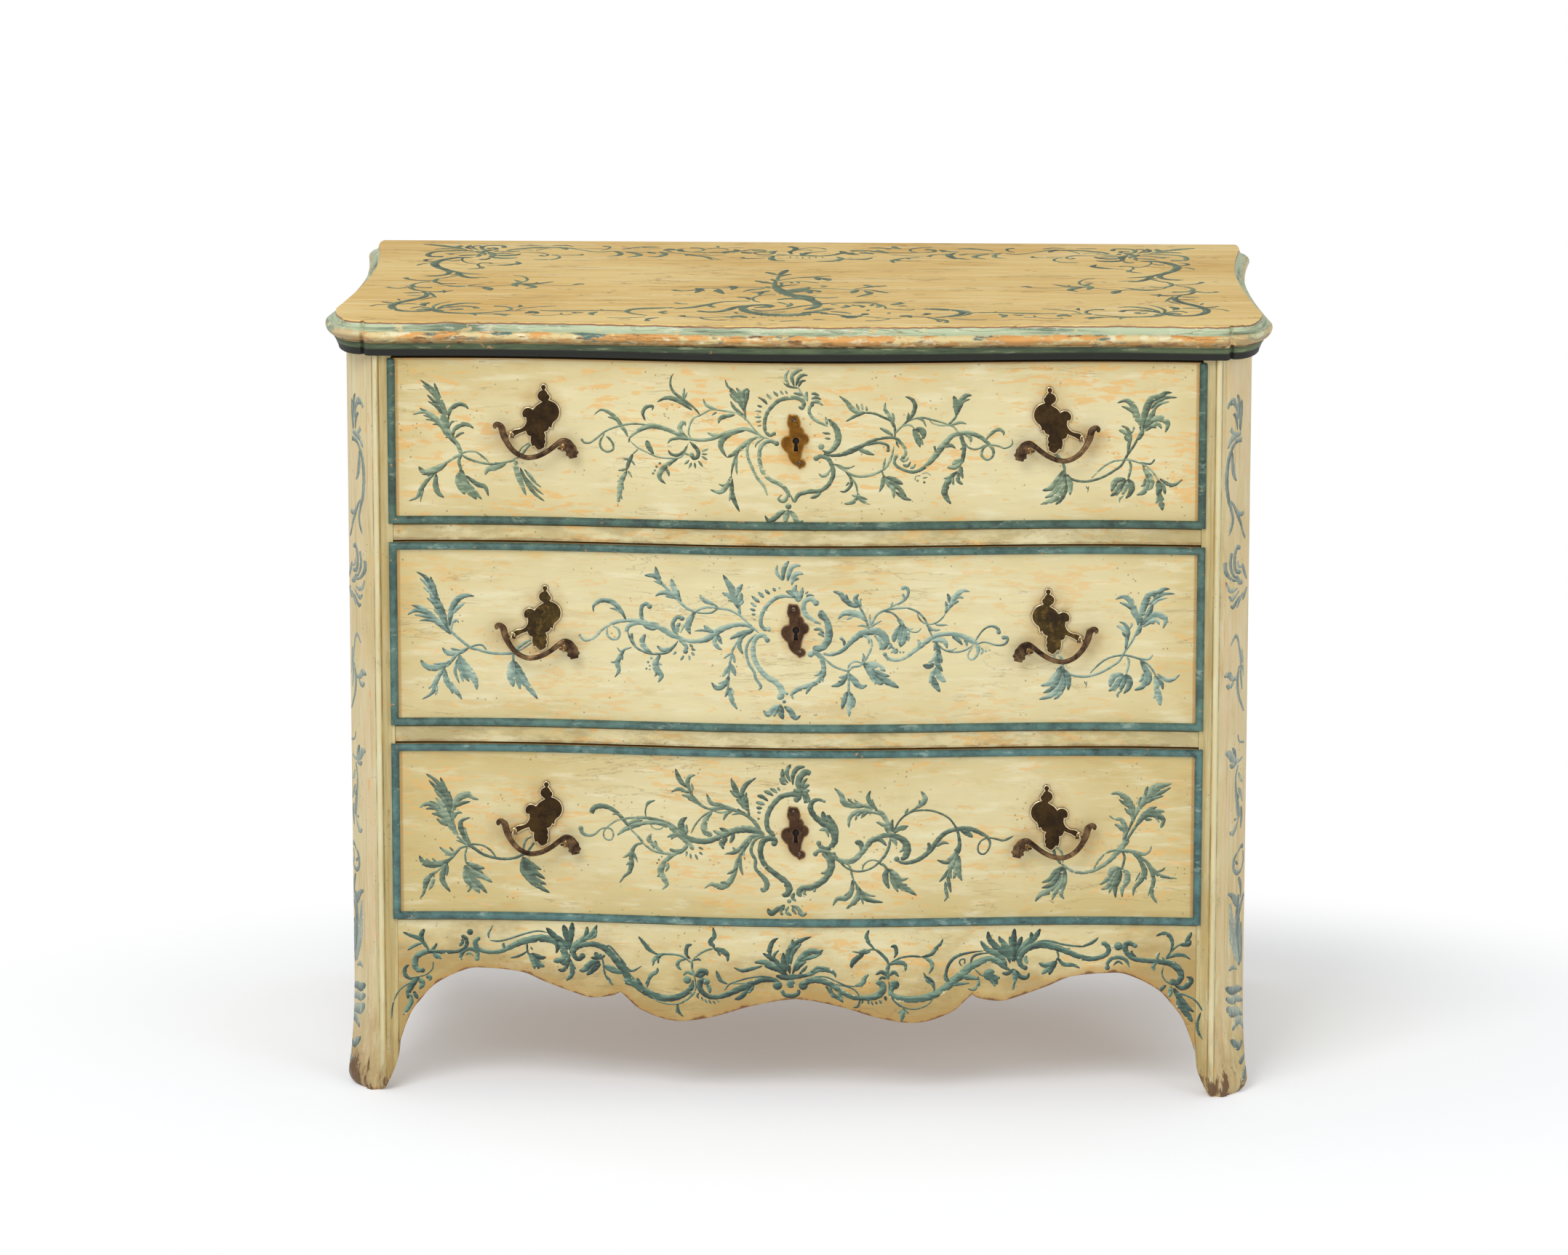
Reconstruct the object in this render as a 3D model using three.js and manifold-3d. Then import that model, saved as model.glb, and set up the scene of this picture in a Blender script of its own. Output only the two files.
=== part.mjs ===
// Painted chest of three drawers: a commode with a front that bows in the middle and hollows towards its
// splayed corner posts, a moulded top with rounded ears, a scalloped apron and short sabre feet.
// Millimetres. X runs to the right, Y to the back and Z up; the front faces -Y and the feet stand on Z = 0.
import * as THREE from "three";
import { mergeVertices } from "three/addons/utils/BufferGeometryUtils.js";
import Module from "manifold-3d";

// Clearances
const seat = 0.3; // pieces that bear on each other
const frontRelief = 1; // under a drawer front, so that it never drags on its rail
const topRelief = 2.5; // over a drawer front
const sideRelief = 1; // beside a drawer front
const boltRelief = 0.6;
const overrun = 2; // how far a cutter runs past the face that it cuts
const weld = 0.001;

// Heights, from the floor up
const apronTop = 214;
const frontHeights = [201, 225, 218]; // drawer fronts, top to bottom
const railReveal = 22.5; // from one drawer front to the next
const topGap = 4.5;
const mouldingHeight = 16.2;
const topThickness = 25;

// Plan
const openingHalf = 481.5;
const bow = 23;
const topBow = 18;
const flick = 3; // how far the front comes forward again at the posts
const bowShare = 0.8;
const shoulderSplay = 59.5; // of the carcass outside the opening, behind its splayed corners
const shoulderY = 72;
const waistSplay = 35;
const waistY = 345;
const rearSplay = 48.5;
const carcassBack = 530;
const shoulderHalf = openingHalf + shoulderSplay;
const waistHalf = openingHalf + waistSplay;
const rearHalf = openingHalf + rearSplay;
const shoulderSwell = 1.6;
const rearSwell = 1.8;

// Boards
const panelThickness = 16;
const apronThickness = 24;
const bottomThickness = 12;
const backThickness = 12;
const backInset = 4;
const backFloor = 150;
const railDepth = 60;
const runnerWidth = 33;

// Top and the moulding under it
const topFront = -25;
const topBack = 535;
const sideOverhang = 24;
const edgeInset = 13; // from the widest line of the edge in to the flat of the top
const notchSplay = 31.5; // of the notch outside the opening
const notchDepth = 11;
const notchStepShares = [
  [-0.5, 0],
  [-0.15, 0.3],
  [0, 1],
  [0.4, 0.75],
]; // across the notch: along the front and back into it, both as shares of notchDepth
const rearCorner = 18;
const rearCornerLength = 30;
// The edge from the flat down: a cove, an ovolo and a fillet, as shares of edgeInset and topThickness
const edgeShares = [
  [1, 1],
  [0.97, 0.9],
  [0.82, 0.75],
  [0.54, 0.64],
  [0.24, 0.6],
  [0.07, 0.52],
  [0, 0.38],
  [0.09, 0.22],
  [0.31, 0.11],
  [0.58, 0.1],
  [0.58, 0],
];
const mouldingInset = 10;
const mouldingFall = 5.5;
const mouldingShares = [
  [0, 1],
  [0, 0.78],
  [0.6, 0.34],
  [1, 0],
]; // inwards and up, as shares of mouldingFall and mouldingHeight
const frameWidth = 24;
const frameFront = 60;
const frameBack = 492;

// Corner posts and feet
const stripWidth = 14.5;
const ridgeWidth = 8;
const ridgeHeight = 3.2;
const ridgeShares = [
  [0.18, 0.8],
  [0.5, 1],
  [0.85, 0.7],
]; // across and out from the strip, as shares of ridgeWidth and ridgeHeight
const cantBulge = 4;
const cantStepShares = [0.2, 0.4, 0.6, 0.8];
const postDepth = 84;
const postHeelShare = 0.72;
const rearPostFront = 492;
const rearCornerRound = 9;
const kneeHeight = 154;
const toeFlare = 5;
// Down the foot: height, taper from the inside, taper from the back and flare outwards
const footShares = [
  [0, 0.36, 0.62, -0.8],
  [0.035, 0.23, 0.54, 0.4],
  [0.09, 0.11, 0.49, 1],
  [0.16, 0.045, 0.46, 0.8],
  [0.26, 0, 0.42, 0.4],
  [0.49, 0, 0.22, 0.05],
  [0.72, 0, 0.05, 0],
  [1, 0, 0, 0],
];
const rearTaperShare = 0.45; // of the front foot's taper from the back

// Lower edges, as shares of the half opening or the panel's length, and of kneeHeight
const apronLobeShares = [
  [0, 0.81],
  [0.05, 0.79],
  [0.125, 0.735],
  [0.197, 0.662],
  [0.27, 0.615],
  [0.325, 0.62],
  [0.39, 0.695],
  [0.425, 0.79],
  [0.44, 0.832],
];
const apronArchShares = [
  [0.44, 0.832],
  [0.462, 0.8],
  [0.507, 0.779],
  [0.54, 0.796],
  [0.628, 0.893],
  [0.688, 0.97],
  [0.777, 1],
  [0.83, 0.987],
  [0.903, 0.877],
  [0.945, 0.74],
  [0.972, 0.617],
  [1, 0.38],
];
const sideEdgeShares = [
  [0, 0.79],
  [0.09, 0.94],
  [0.2, 1],
  [0.34, 0.94],
  [0.5, 0.76],
  [0.66, 0.94],
  [0.8, 1],
  [0.91, 0.94],
  [1, 0.79],
];

// Drawers
const frontThickness = 24;
const beadWidth = 9.5;
const beadHeight = 6;
const beadLip = 5; // of the side beads over the posts
const beadShares = [
  [0, 0.35],
  [0.16, 0.8],
  [0.45, 1],
  [0.78, 0.75],
  [1, 0],
]; // from the outer edge inwards, and out from the front
const drawerBack = 500;
const boxThickness = 12;
const boxRelief = 0.5;
const sideDrop = 8; // from the front's top edge down to the side's
const floorThickness = 8;
const floorHeight = 10;
const grooveDepth = 5;
const tailCount = 4;
const tailLength = 15;
const tailShare = 0.6; // of the pitch, at the tail's root
const tailFlare = 4;

// Brass handles: an asymmetrical plate and a cast bail that hooks into two posts
const handleShare = 0.6272; // of the half opening
const handleRises = [30, 21, 23.5]; // above the middle of each drawer front
const plateHeight = 82.4;
const plateThickness = 2.2;
const bailStandoff = 13;
const postTip = 3; // of a handle post past the bail's axis
const postRadius = 2.6;
const footRadius = 5;
const footThickness = 1.6;
const pinRadius = 1.3;
const pinRelief = 0.35;
const pinReach = 5.5; // of a bail's pin past the middle of its post
const bailDepth = 2.3; // half the bar's thickness away from the drawer
// Outline of the plate, clockwise from its ball: each row is a corner and the arc's bulge to the next
const plateShares = [
  [-0.013, 0.412, 2.3],
  [0.062, 0.412, 0.15],
  [0.099, 0.358, 0.5],
  [0.113, 0.266, 0.71],
  [0.177, -0.075, -0.25],
  [0.161, -0.167, 0.3],
  [0.113, -0.156, 0.35],
  [0.048, -0.22, 0.3],
  [0.054, -0.312, 0.35],
  [0.048, -0.398, -0.1],
  [0.054, -0.433, 0.15],
  [-0.054, -0.5, 0.1],
  [-0.124, -0.435, 0],
  [-0.151, -0.446, 0.2],
  [-0.181, -0.29, 0.35],
  [-0.245, -0.22, -0.05],
  [-0.403, -0.301, 0.1],
  [-0.457, -0.305, 1],
  [-0.457, -0.211, 0.2],
  [-0.376, -0.167, -0.35],
  [-0.242, -0.059, 0],
  [-0.245, -0.018, 0],
  [-0.28, -0.014, 0.9],
  [-0.134, 0.134, 0.2],
  [-0.013, 0.229, 0.75],
];
const outerPostShare = [-0.457, -0.258];
const innerPostShare = [0.306, -0.435];
// The bail from its outer curl to its inner leaf: place, half width and how far it stands out past the axis
const bailShares = [
  [-0.665, -0.147, 0.012, 0],
  [-0.669, -0.111, 0.024, 0],
  [-0.629, -0.083, 0.03, 0],
  [-0.575, -0.129, 0.038, 0],
  [-0.551, -0.22, 0.042, 0],
  [-0.514, -0.312, 0.033, 0.01],
  [-0.441, -0.419, 0.031, 0.03],
  [-0.344, -0.505, 0.03, 0.04],
  [-0.215, -0.556, 0.03, 0.045],
  [-0.086, -0.545, 0.03, 0.045],
  [0.032, -0.498, 0.03, 0.045],
  [0.14, -0.43, 0.03, 0.035],
  [0.237, -0.355, 0.031, 0.02],
  [0.317, -0.308, 0.033, 0.005],
  [0.387, -0.345, 0.042, 0],
  [0.43, -0.43, 0.055, 0],
  [0.452, -0.505, 0.047, 0],
  [0.465, -0.559, 0.017, 0],
];

// Escutcheons and locks
const keyholeRises = [7.5, 13, 8]; // above the middle of each drawer front
const escutcheonHeight = 66.4;
const escutcheonThickness = 1.5;
const keyholeRadius = 4.1;
const keyholeDrop = 12.6;
const keyholeSlot = 2.7; // half the slot's width at its foot
const keyholeNeckShare = 0.67; // of that, at its head
const escutcheonShares = [
  [-0.123, 0.485, 0],
  [0.032, 0.465, 0.15],
  [0.084, 0.3, 0],
  [0.077, 0.26, 0.35],
  [0.147, 0.14, 0.8],
  [0.152, -0.08, -0.1],
  [0.092, -0.335, 0.95],
  [0.112, -0.49, 0],
  [0.062, -0.515, 0],
  [0.022, -0.465, 0.3],
  [-0.148, -0.23, 0.1],
  [-0.228, -0.15, 0.65],
  [-0.123, 0.1, 0],
  [-0.123, 0.22, 0.25],
  [-0.153, 0.37, 0.1],
];
const keyRecess = 1.8;
const lockHalf = 45;
const lockDepth = 14;
const lockDrop = 42; // from the keyhole down to the case's foot
const lockTop = 4; // from the drawer front's top edge down to the case
const boltHalf = 9;
const boltThickness = 6;
const boltThrow = 11;
const boltBelow = 1; // the drawn-back bolt under the front's top edge
const mortiseDepth = 10;

// Faces along curves
const bowSteps = 20;
const earSteps = 8;
const sideSteps = 12;
const cornerSteps = 4;
const lobeSteps = 10;
const archSteps = 13;
const tubeSteps = 21;
const roundSides = 8;
const arcSteps = 5; // per unit of bulge

const wasm = await Module();
wasm.setup();

const finish = (color, roughness, metalness = 0) => ({ color, roughness, metalness });
const finishes = {
  cream: finish(0xdccf9f, 0.6),
  ochre: finish(0xdcbd78, 0.55),
  moulding: finish(0x8fa792, 0.55),
  dark: finish(0x43564c, 0.6),
  pine: finish(0xb98a55, 0.8),
  brass: finish(0x5b4222, 0.4, 0.85),
  iron: finish(0x3a3836, 0.6, 0.8),
};

// Solids: a geometry becomes a solid to be joined or cut, and a solid becomes a geometry again
function solid(geometry) {
  geometry.deleteAttribute("normal");
  geometry.deleteAttribute("uv");
  const { attributes, index } = mergeVertices(geometry, weld);
  const shape = { numProp: 3, vertProperties: attributes.position.array };
  return new wasm.Manifold(new wasm.Mesh({ ...shape, triVerts: new Uint32Array(index.array) }));
}

function geometryOf(made) {
  const { vertProperties, triVerts } = made.getMesh();
  const geometry = new THREE.BufferGeometry();
  geometry.setAttribute("position", new THREE.BufferAttribute(vertProperties, 3));
  geometry.setIndex(new THREE.BufferAttribute(triVerts, 1));
  return geometry;
}

// Triangles across an end ring, turned the way that the ring runs
function capOf(ring, flatten) {
  const contour = ring.map(flatten);
  const way = Math.sign(THREE.ShapeUtils.area(contour));
  return THREE.ShapeUtils.triangulateShape(contour, []).map((face) => {
    const turn = Math.sign(THREE.ShapeUtils.area(face.map((at) => contour[at])));
    return turn === way ? face : face.toReversed();
  });
}

// Closes a row of rings, each with as many points, into one body. flatten gives an end ring's points in its plane.
function loft(rings, flatten) {
  const count = rings[0].length;
  const index = [];
  const quad = (a, b, c, d) => index.push(a, b, c, a, c, d);
  for (let ring = 0; ring + 1 < rings.length; ring++) {
    for (let side = 0; side < count; side++) {
      const next = (side + 1) % count;
      const base = ring * count;
      quad(base + side, base + next, base + count + next, base + count + side);
    }
  }
  const last = (rings.length - 1) * count;
  capOf(rings[0], flatten).forEach(([a, b, c]) => index.push(a, c, b));
  capOf(rings.at(-1), flatten).forEach((face) => index.push(...face.map((at) => last + at)));
  const geometry = new THREE.BufferGeometry().setFromPoints(rings.flat());
  geometry.setIndex(index);
  if (solid(geometry.clone()).volume() < 0) {
    for (let at = 0; at < index.length; at += 3) [index[at], index[at + 1]] = [index[at + 1], index[at]];
    geometry.setIndex(index);
  }
  return geometry;
}

const alongX = (p) => new THREE.Vector2(p.y, p.z);
const alongY = (p) => new THREE.Vector2(p.x, p.z);
const alongZ = (p) => new THREE.Vector2(p.x, p.y);

// A flat outline of [x, y] drawn straight up from one height to another
function upright(outline, low, high) {
  return loft([low, high].map((z) => outline.map(([x, y]) => new THREE.Vector3(x, y, z))), alongZ);
}

// A flat outline of [y, z] drawn straight across
function across(outline, left, right) {
  return loft([left, right].map((x) => outline.map(([y, z]) => new THREE.Vector3(x, y, z))), alongX);
}

function block(x, y, z) {
  const geometry = new THREE.BoxGeometry(x[1] - x[0], y[1] - y[0], z[1] - z[0]);
  return geometry.translate((x[0] + x[1]) / 2, (y[0] + y[1]) / 2, (z[0] + z[1]) / 2);
}

// Corners joined by arcs: bulge is the arc's rise over half its chord, outwards on a clockwise outline
function arcs(rows, size) {
  return rows.flatMap(([x, z, bulge], at) => {
    const start = new THREE.Vector2(x, z).multiplyScalar(size);
    const [nextX, nextZ] = rows[(at + 1) % rows.length];
    const chord = new THREE.Vector2(nextX, nextZ).multiplyScalar(size).sub(start);
    const middle = start.clone().addScaledVector(chord, 1 / 2);
    const outward = new THREE.Vector2(-chord.y, chord.x).normalize();
    const half = 2 * Math.atan(bulge);
    const steps = Math.max(1, Math.ceil(Math.abs(bulge) * arcSteps));
    if (bulge === 0) return [start];
    const radius = chord.length() / (2 * Math.sin(half));
    return Array.from({ length: steps }, (_, step) => {
      const angle = half * (2 * (step / steps) - 1);
      const point = middle.clone().addScaledVector(chord.clone().normalize(), radius * Math.sin(angle));
      return point.addScaledVector(outward, radius * (Math.cos(angle) - Math.cos(half)));
    });
  });
}

// A flat plate with an outline of [x, z], its back on y = back and its face towards the front
function facing(points, back, thickness, holes = []) {
  const shape = new THREE.Shape(points);
  shape.holes = holes.map((hole) => new THREE.Path(hole));
  const geometry = new THREE.ExtrudeGeometry(shape, { depth: thickness, bevelEnabled: false });
  return geometry.rotateX(Math.PI / 2).translate(0, back, 0);
}

function rod(radius, from, to) {
  const length = from.distanceTo(to);
  const geometry = new THREE.CylinderGeometry(radius, radius, length, roundSides);
  const turn = new THREE.Quaternion().setFromUnitVectors(
    new THREE.Vector3(0, 1, 0),
    to.clone().sub(from).normalize(),
  );
  const middle = from.clone().lerp(to, 1 / 2);
  return geometry.applyQuaternion(turn).translate(middle.x, middle.y, middle.z);
}

const range = (from, to, steps) =>
  Array.from({ length: steps + 1 }, (_, step) => from + ((to - from) * step) / steps);
const scaled = (shares, width, height) => shares.map(([u, v]) => new THREE.Vector2(u * width, v * height));

// The front in plan: bowed in the middle, hollow towards the posts
function frontY(x, depth = bow) {
  const share = Math.min(Math.abs(x) / openingHalf, 1);
  if (share < bowShare) return (-depth * (1 + Math.cos((Math.PI * share) / bowShare))) / 2;
  return -flick * ((share - bowShare) / (1 - bowShare)) ** 2;
}

// The side in plan: half the carcass's width at y
function sideX(y) {
  if (y < waistY) {
    const share = Math.max(waistY - y, 0) / (waistY - shoulderY);
    return waistHalf + (shoulderHalf - waistHalf) * Math.min(share, 1) ** shoulderSwell;
  }
  const share = Math.min((y - waistY) / (carcassBack - waistY), 1);
  return waistHalf + (rearHalf - waistHalf) * share ** rearSwell;
}

const frontSteps = range(-openingHalf, openingHalf, bowSteps);
const insideX = (y) => sideX(y) - panelThickness - seat;

// Heights that follow
const drawerBottoms = frontHeights.map((_, row) => {
  const below = frontHeights.slice(row + 1);
  return apronTop + frontRelief + below.reduce((sum, height) => sum + height + railReveal, 0);
});
const drawerTops = drawerBottoms.map((bottom, row) => bottom + frontHeights[row]);
const mouldingBottom = drawerTops[0] + topGap;
const topBottom = mouldingBottom + mouldingHeight + seat;
const carcassTop = mouldingBottom - seat;
const rowNames = ["top", "middle", "bottom"];

// The outline of the top in plan, drawn in by inset; it is whole, clockwise from the middle of the front
function topOutline(inset, depth = topBow) {
  const half = [];
  const start = (openingHalf + notchSplay) + notchStepShares[0][0] * notchDepth;
  range(0, start, bowSteps / 2).forEach((x) => half.push([x, topFront + frontY(x, depth) + inset]));
  const edge = topFront + frontY(start, depth);
  notchStepShares.slice(1).forEach(([along, into]) => {
    half.push([(openingHalf + notchSplay) + along * notchDepth, edge + into * notchDepth + inset]);
  });
  const [along, into] = notchStepShares.at(-1);
  const earX = (openingHalf + notchSplay) + along * notchDepth;
  const earY = edge + into * notchDepth;
  const earWidth = shoulderHalf + sideOverhang - earX;
  range(-Math.PI / 2, 0, earSteps).slice(1).forEach((angle) => {
    const out = (earWidth - inset) * Math.cos(angle);
    half.push([earX + out, shoulderY + (shoulderY - earY - inset) * Math.sin(angle)]);
  });
  const cornerY = topBack - rearCornerLength;
  const sides = range(shoulderY, cornerY, sideSteps).slice(1);
  sides.forEach((y) => half.push([sideX(y) + sideOverhang - inset, y]));
  const cornerX = sideX(cornerY) + sideOverhang - rearCorner;
  range(0, Math.PI / 2, cornerSteps).slice(1).forEach((angle) => {
    const out = (rearCorner - inset) * Math.cos(angle);
    half.push([cornerX + out, cornerY + rearCornerLength * Math.sin(angle)]);
  });
  const other = half.slice(1).reverse().map(([x, y]) => [-x, y]);
  return [...half, ...other];
}

function topSolid() {
  const rings = edgeShares.map(([inset, height]) => {
    const z = topBottom + height * topThickness;
    return topOutline(inset * edgeInset).map(([x, y]) => new THREE.Vector3(x, y, z));
  });
  return loft(rings, alongZ);
}

// The strip under the top: a frame that the top rests on, with a slot for the upper lock's bolt
function mouldingSolid() {
  const rings = mouldingShares.map(([inset, height]) => {
    const z = mouldingBottom + height * mouldingHeight;
    const outline = topOutline(mouldingInset + inset * mouldingFall, bow);
    return outline.map(([x, y]) => new THREE.Vector3(x, Math.min(y, carcassBack), z));
  });
  const hole = openingHalf - frameWidth;
  const heights = [mouldingBottom - overrun, topBottom + overrun];
  const cut = solid(block([-hole, hole], [frameFront, frameBack], heights));
  return geometryOf(solid(loft(rings, alongZ)).subtract(cut).subtract(mortise(mouldingBottom)));
}

// Plan of a front post at its knee, from the drawer opening round to its heel
const postPlan = (() => {
  const face = frontY(openingHalf);
  const strip = openingHalf + stripWidth;
  const ridge = ridgeShares.map(([u, v]) => [strip + u * ridgeWidth, face - v * ridgeHeight]);
  const from = new THREE.Vector2(strip + ridgeWidth, face);
  const chord = new THREE.Vector2(shoulderHalf, shoulderY).sub(from);
  const outward = new THREE.Vector2(chord.y, -chord.x).normalize();
  const cant = cantStepShares.map((share) => {
    const point = from.clone().addScaledVector(chord, share);
    return point.addScaledVector(outward, 4 * cantBulge * share * (1 - share)).toArray();
  });
  const heel = sideX(postDepth) - panelThickness;
  return [
    [openingHalf, face],
    [strip, face],
    ...ridge,
    from.toArray(),
    ...cant,
    [shoulderHalf, shoulderY],
    [sideX(postDepth), postDepth],
    [heel, postDepth],
    [openingHalf, postDepth * postHeelShare],
  ];
})();

// Plan of a rear post, with its outer back corner rounded
const rearPlan = [
  [openingHalf, rearPostFront],
  [openingHalf, carcassBack],
  [rearHalf - rearCornerRound, carcassBack],
  [rearHalf - rearCornerRound / 4, carcassBack - rearCornerRound / 4],
  [rearHalf, carcassBack - rearCornerRound],
  [sideX(rearPostFront), rearPostFront],
];

// A post stands from the floor to the carcass's top. still is the y that stays where it is as the foot tapers.
function postSolid(plan, still, moving, taper, outer) {
  const levels = [...footShares, [carcassTop / kneeHeight, 0, 0, 0]];
  const rings = levels.map(([height, inner, back, flare]) =>
    plan.map(([x, y]) => {
      const drawnIn = outer - (outer - x) * (1 - inner);
      const drawnUp = still + (y - still) * (1 - back * taper);
      const outwards = Math.sign(still - moving) * flare * toeFlare;
      const push = flare > 0 || x > (openingHalf + outer) / 2 ? flare * toeFlare : 0;
      return new THREE.Vector3(drawnIn + push, drawnUp + outwards / 2, height * kneeHeight);
    }),
  );
  return loft(rings, alongZ);
}

const curvePoints = (points, steps) => new THREE.SplineCurve(points).getPoints(steps);

// The lower edge of the apron from its middle to the post, with a cusp where lobe and arch meet
const apronEdge = [
  ...curvePoints(scaled(apronLobeShares, openingHalf, kneeHeight), lobeSteps),
  ...curvePoints(scaled(apronArchShares, openingHalf - seat, kneeHeight), archSteps).slice(1),
];

function apronSolid() {
  const right = apronEdge.map(({ x, y }) => [x, y]);
  const left = right.slice(1).reverse().map(([x, z]) => [-x, z]);
  const rings = [...left, ...right].map(([x, z]) => {
    const face = frontY(x);
    const back = face + apronThickness;
    const outline = [
      [face, apronTop],
      [back, apronTop],
      [back, z],
      [face, z],
    ];
    return outline.map(([y, height]) => new THREE.Vector3(x, y, height));
  });
  return loft(rings, alongX);
}

function sidePanelSolid() {
  const from = postDepth + seat;
  const length = rearPostFront - seat - from;
  const edge = curvePoints(scaled(sideEdgeShares, length, kneeHeight), sideSteps * 2);
  const rings = edge.map(({ x, y: z }) => {
    const y = from + x;
    const outer = sideX(y);
    const outline = [
      [outer, carcassTop],
      [outer, z],
      [outer - panelThickness, z],
      [outer - panelThickness, carcassTop],
    ];
    return outline.map(([width, height]) => new THREE.Vector3(width, y, height));
  });
  return loft(rings, alongY);
}

// The slot that a shot bolt enters, in the underside of what is over the drawer
function mortise(underside) {
  const half = boltHalf + boltRelief;
  const back = boltY + boltThickness + boltRelief;
  return solid(block([-half, half], [boltY - boltRelief, back], [underside - overrun, underside + mortiseDepth]));
}

const lockY = frontY(lockHalf) + frontThickness + seat;
const boltY = lockY + (lockDepth - boltThickness) / 2;
const railTops = drawerBottoms.slice(0, -1).map((bottom) => bottom - frontRelief);
const railBottoms = drawerTops.slice(1).map((top) => top + topRelief);

function railSolid(row) {
  const half = openingHalf - seat;
  const front = range(-half, half, bowSteps).map((x) => [x, frontY(x)]);
  const outline = [...front, [half, railDepth], [-half, railDepth]];
  const made = solid(upright(outline, railBottoms[row], railTops[row]));
  return geometryOf(made.subtract(mortise(railBottoms[row])));
}

// Places down the inside of a side panel, clear of the posts at both ends
const innerSteps = range(postDepth + seat, rearPostFront - seat, sideSteps);

function runnerSolid(row) {
  const inner = openingHalf - runnerWidth;
  const outline = [
    [inner, railDepth + seat],
    [openingHalf - seat, railDepth + seat],
    [openingHalf - seat, innerSteps[0]],
    ...innerSteps.map((y) => [insideX(y), y]),
    [inner, innerSteps.at(-1)],
  ];
  return upright(outline, railBottoms[row], railTops[row]);
}

function bottomSolid() {
  const half = openingHalf - seat;
  const back = carcassBack - backInset - backThickness - seat;
  const front = range(-half, half, bowSteps).map((x) => [x, frontY(x) + apronThickness + seat]);
  const right = innerSteps.map((y) => [insideX(y), y]);
  const side = [[half, innerSteps[0]], ...right, [half, innerSteps.at(-1)], [half, back]];
  const left = side.map(([x, y]) => [-x, y]).reverse();
  return upright([...front, ...side, ...left], apronTop - bottomThickness, apronTop);
}

// The lower edge of each drawer side, on its runner
const boxBottoms = drawerBottoms.map((bottom) => bottom - frontRelief + seat);
const boxHalf = openingHalf - sideRelief - boxRelief;

// The drawer's floor, or the groove for it where grown by the seat
function floorSolid(row, grow) {
  const inner = boxHalf - boxThickness + grooveDepth;
  const back = drawerBack - boxThickness + grooveDepth;
  const front = range(-inner, inner, bowSteps).map((x) => [x, frontY(x) + frontThickness - grooveDepth - grow]);
  const outline = [[-inner - grow, front[0][1]], ...front, [inner + grow, front[0][1]]];
  const low = boxBottoms[row] + floorHeight;
  const rear = [
    [inner + grow, back + grow],
    [-inner - grow, back + grow],
  ];
  return upright([...outline, ...rear], low - grow, low + floorThickness + grow);
}

// The dovetail tails of one drawer side, at its front or its back, or their sockets where grown
function tails(row, root, end, grow) {
  const low = boxBottoms[row];
  const high = drawerTops[row] - sideDrop;
  const pitch = (high - low) / tailCount;
  const direction = Math.sign(end - root);
  const made = range(0, tailCount - 1, tailCount - 1).map((at) => {
    const middle = low + pitch * (at + 1 / 2);
    const narrow = (pitch * tailShare) / 2 + grow;
    const outline = [
      [root - direction * overrun, middle - narrow],
      [root - direction * overrun, middle + narrow],
      [root, middle + narrow],
      [end + direction * grow, middle + narrow + tailFlare],
      [end + direction * grow, middle - narrow - tailFlare],
      [root, middle - narrow],
    ];
    return solid(across(outline, boxHalf - boxThickness - grow, boxHalf + grow * overrun));
  });
  return made.reduce((sum, tail) => sum.add(tail));
}

const tailRoot = frontY(boxHalf - boxThickness) + frontThickness;
const tailEnd = tailRoot - tailLength;
const backRoot = drawerBack - boxThickness;

function mirrored(made) {
  return made.mirror([1, 0, 0]);
}

function drawerSideSolid(row) {
  const width = [boxHalf - boxThickness, boxHalf];
  const height = [boxBottoms[row], drawerTops[row] - sideDrop];
  const board = solid(block(width, [tailRoot + seat, backRoot - seat], height));
  const joined = board.add(tails(row, tailRoot + seat, tailEnd, 0)).add(tails(row, backRoot - seat, drawerBack, 0));
  return geometryOf(joined.subtract(solid(floorSolid(row, seat))));
}

function drawerBackSolid(row) {
  const bottom = boxBottoms[row] + floorHeight + floorThickness + seat;
  const height = [bottom, drawerTops[row] - sideDrop];
  const board = solid(block([-boxHalf, boxHalf], [backRoot, drawerBack], height));
  const sockets = tails(row, backRoot, drawerBack, seat);
  return geometryOf(board.subtract(sockets).subtract(mirrored(sockets)));
}

// The half-round bead round a drawer front. The side beads lap over the posts, and the top drawer has none on top.
function beadBar(row, edge, direction) {
  const rings = range(-openingHalf - beadLip / 2, openingHalf + beadLip / 2, bowSteps).map((x) => {
    const face = frontY(x);
    const round = beadShares.map(([u, v]) => [face - v * beadHeight, edge + direction * u * beadWidth]);
    const root = [
      [face + overrun, edge + direction * beadWidth],
      [face + overrun, edge],
    ];
    return [...round, ...root].map(([y, z]) => new THREE.Vector3(x, y, z));
  });
  return solid(loft(rings, alongX));
}

function sideBead(row, low, high) {
  const outer = openingHalf + beadLip;
  const body = openingHalf - sideRelief;
  const face = frontY(openingHalf);
  const round = beadShares.map(([u, v]) => [outer - u * beadWidth, face - v * beadHeight]);
  const root = [
    [outer - beadWidth, face + overrun],
    [body, face + overrun],
    [body, face - seat],
    [outer, face - seat],
  ];
  return solid(upright([...round, ...root], low, high));
}

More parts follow.
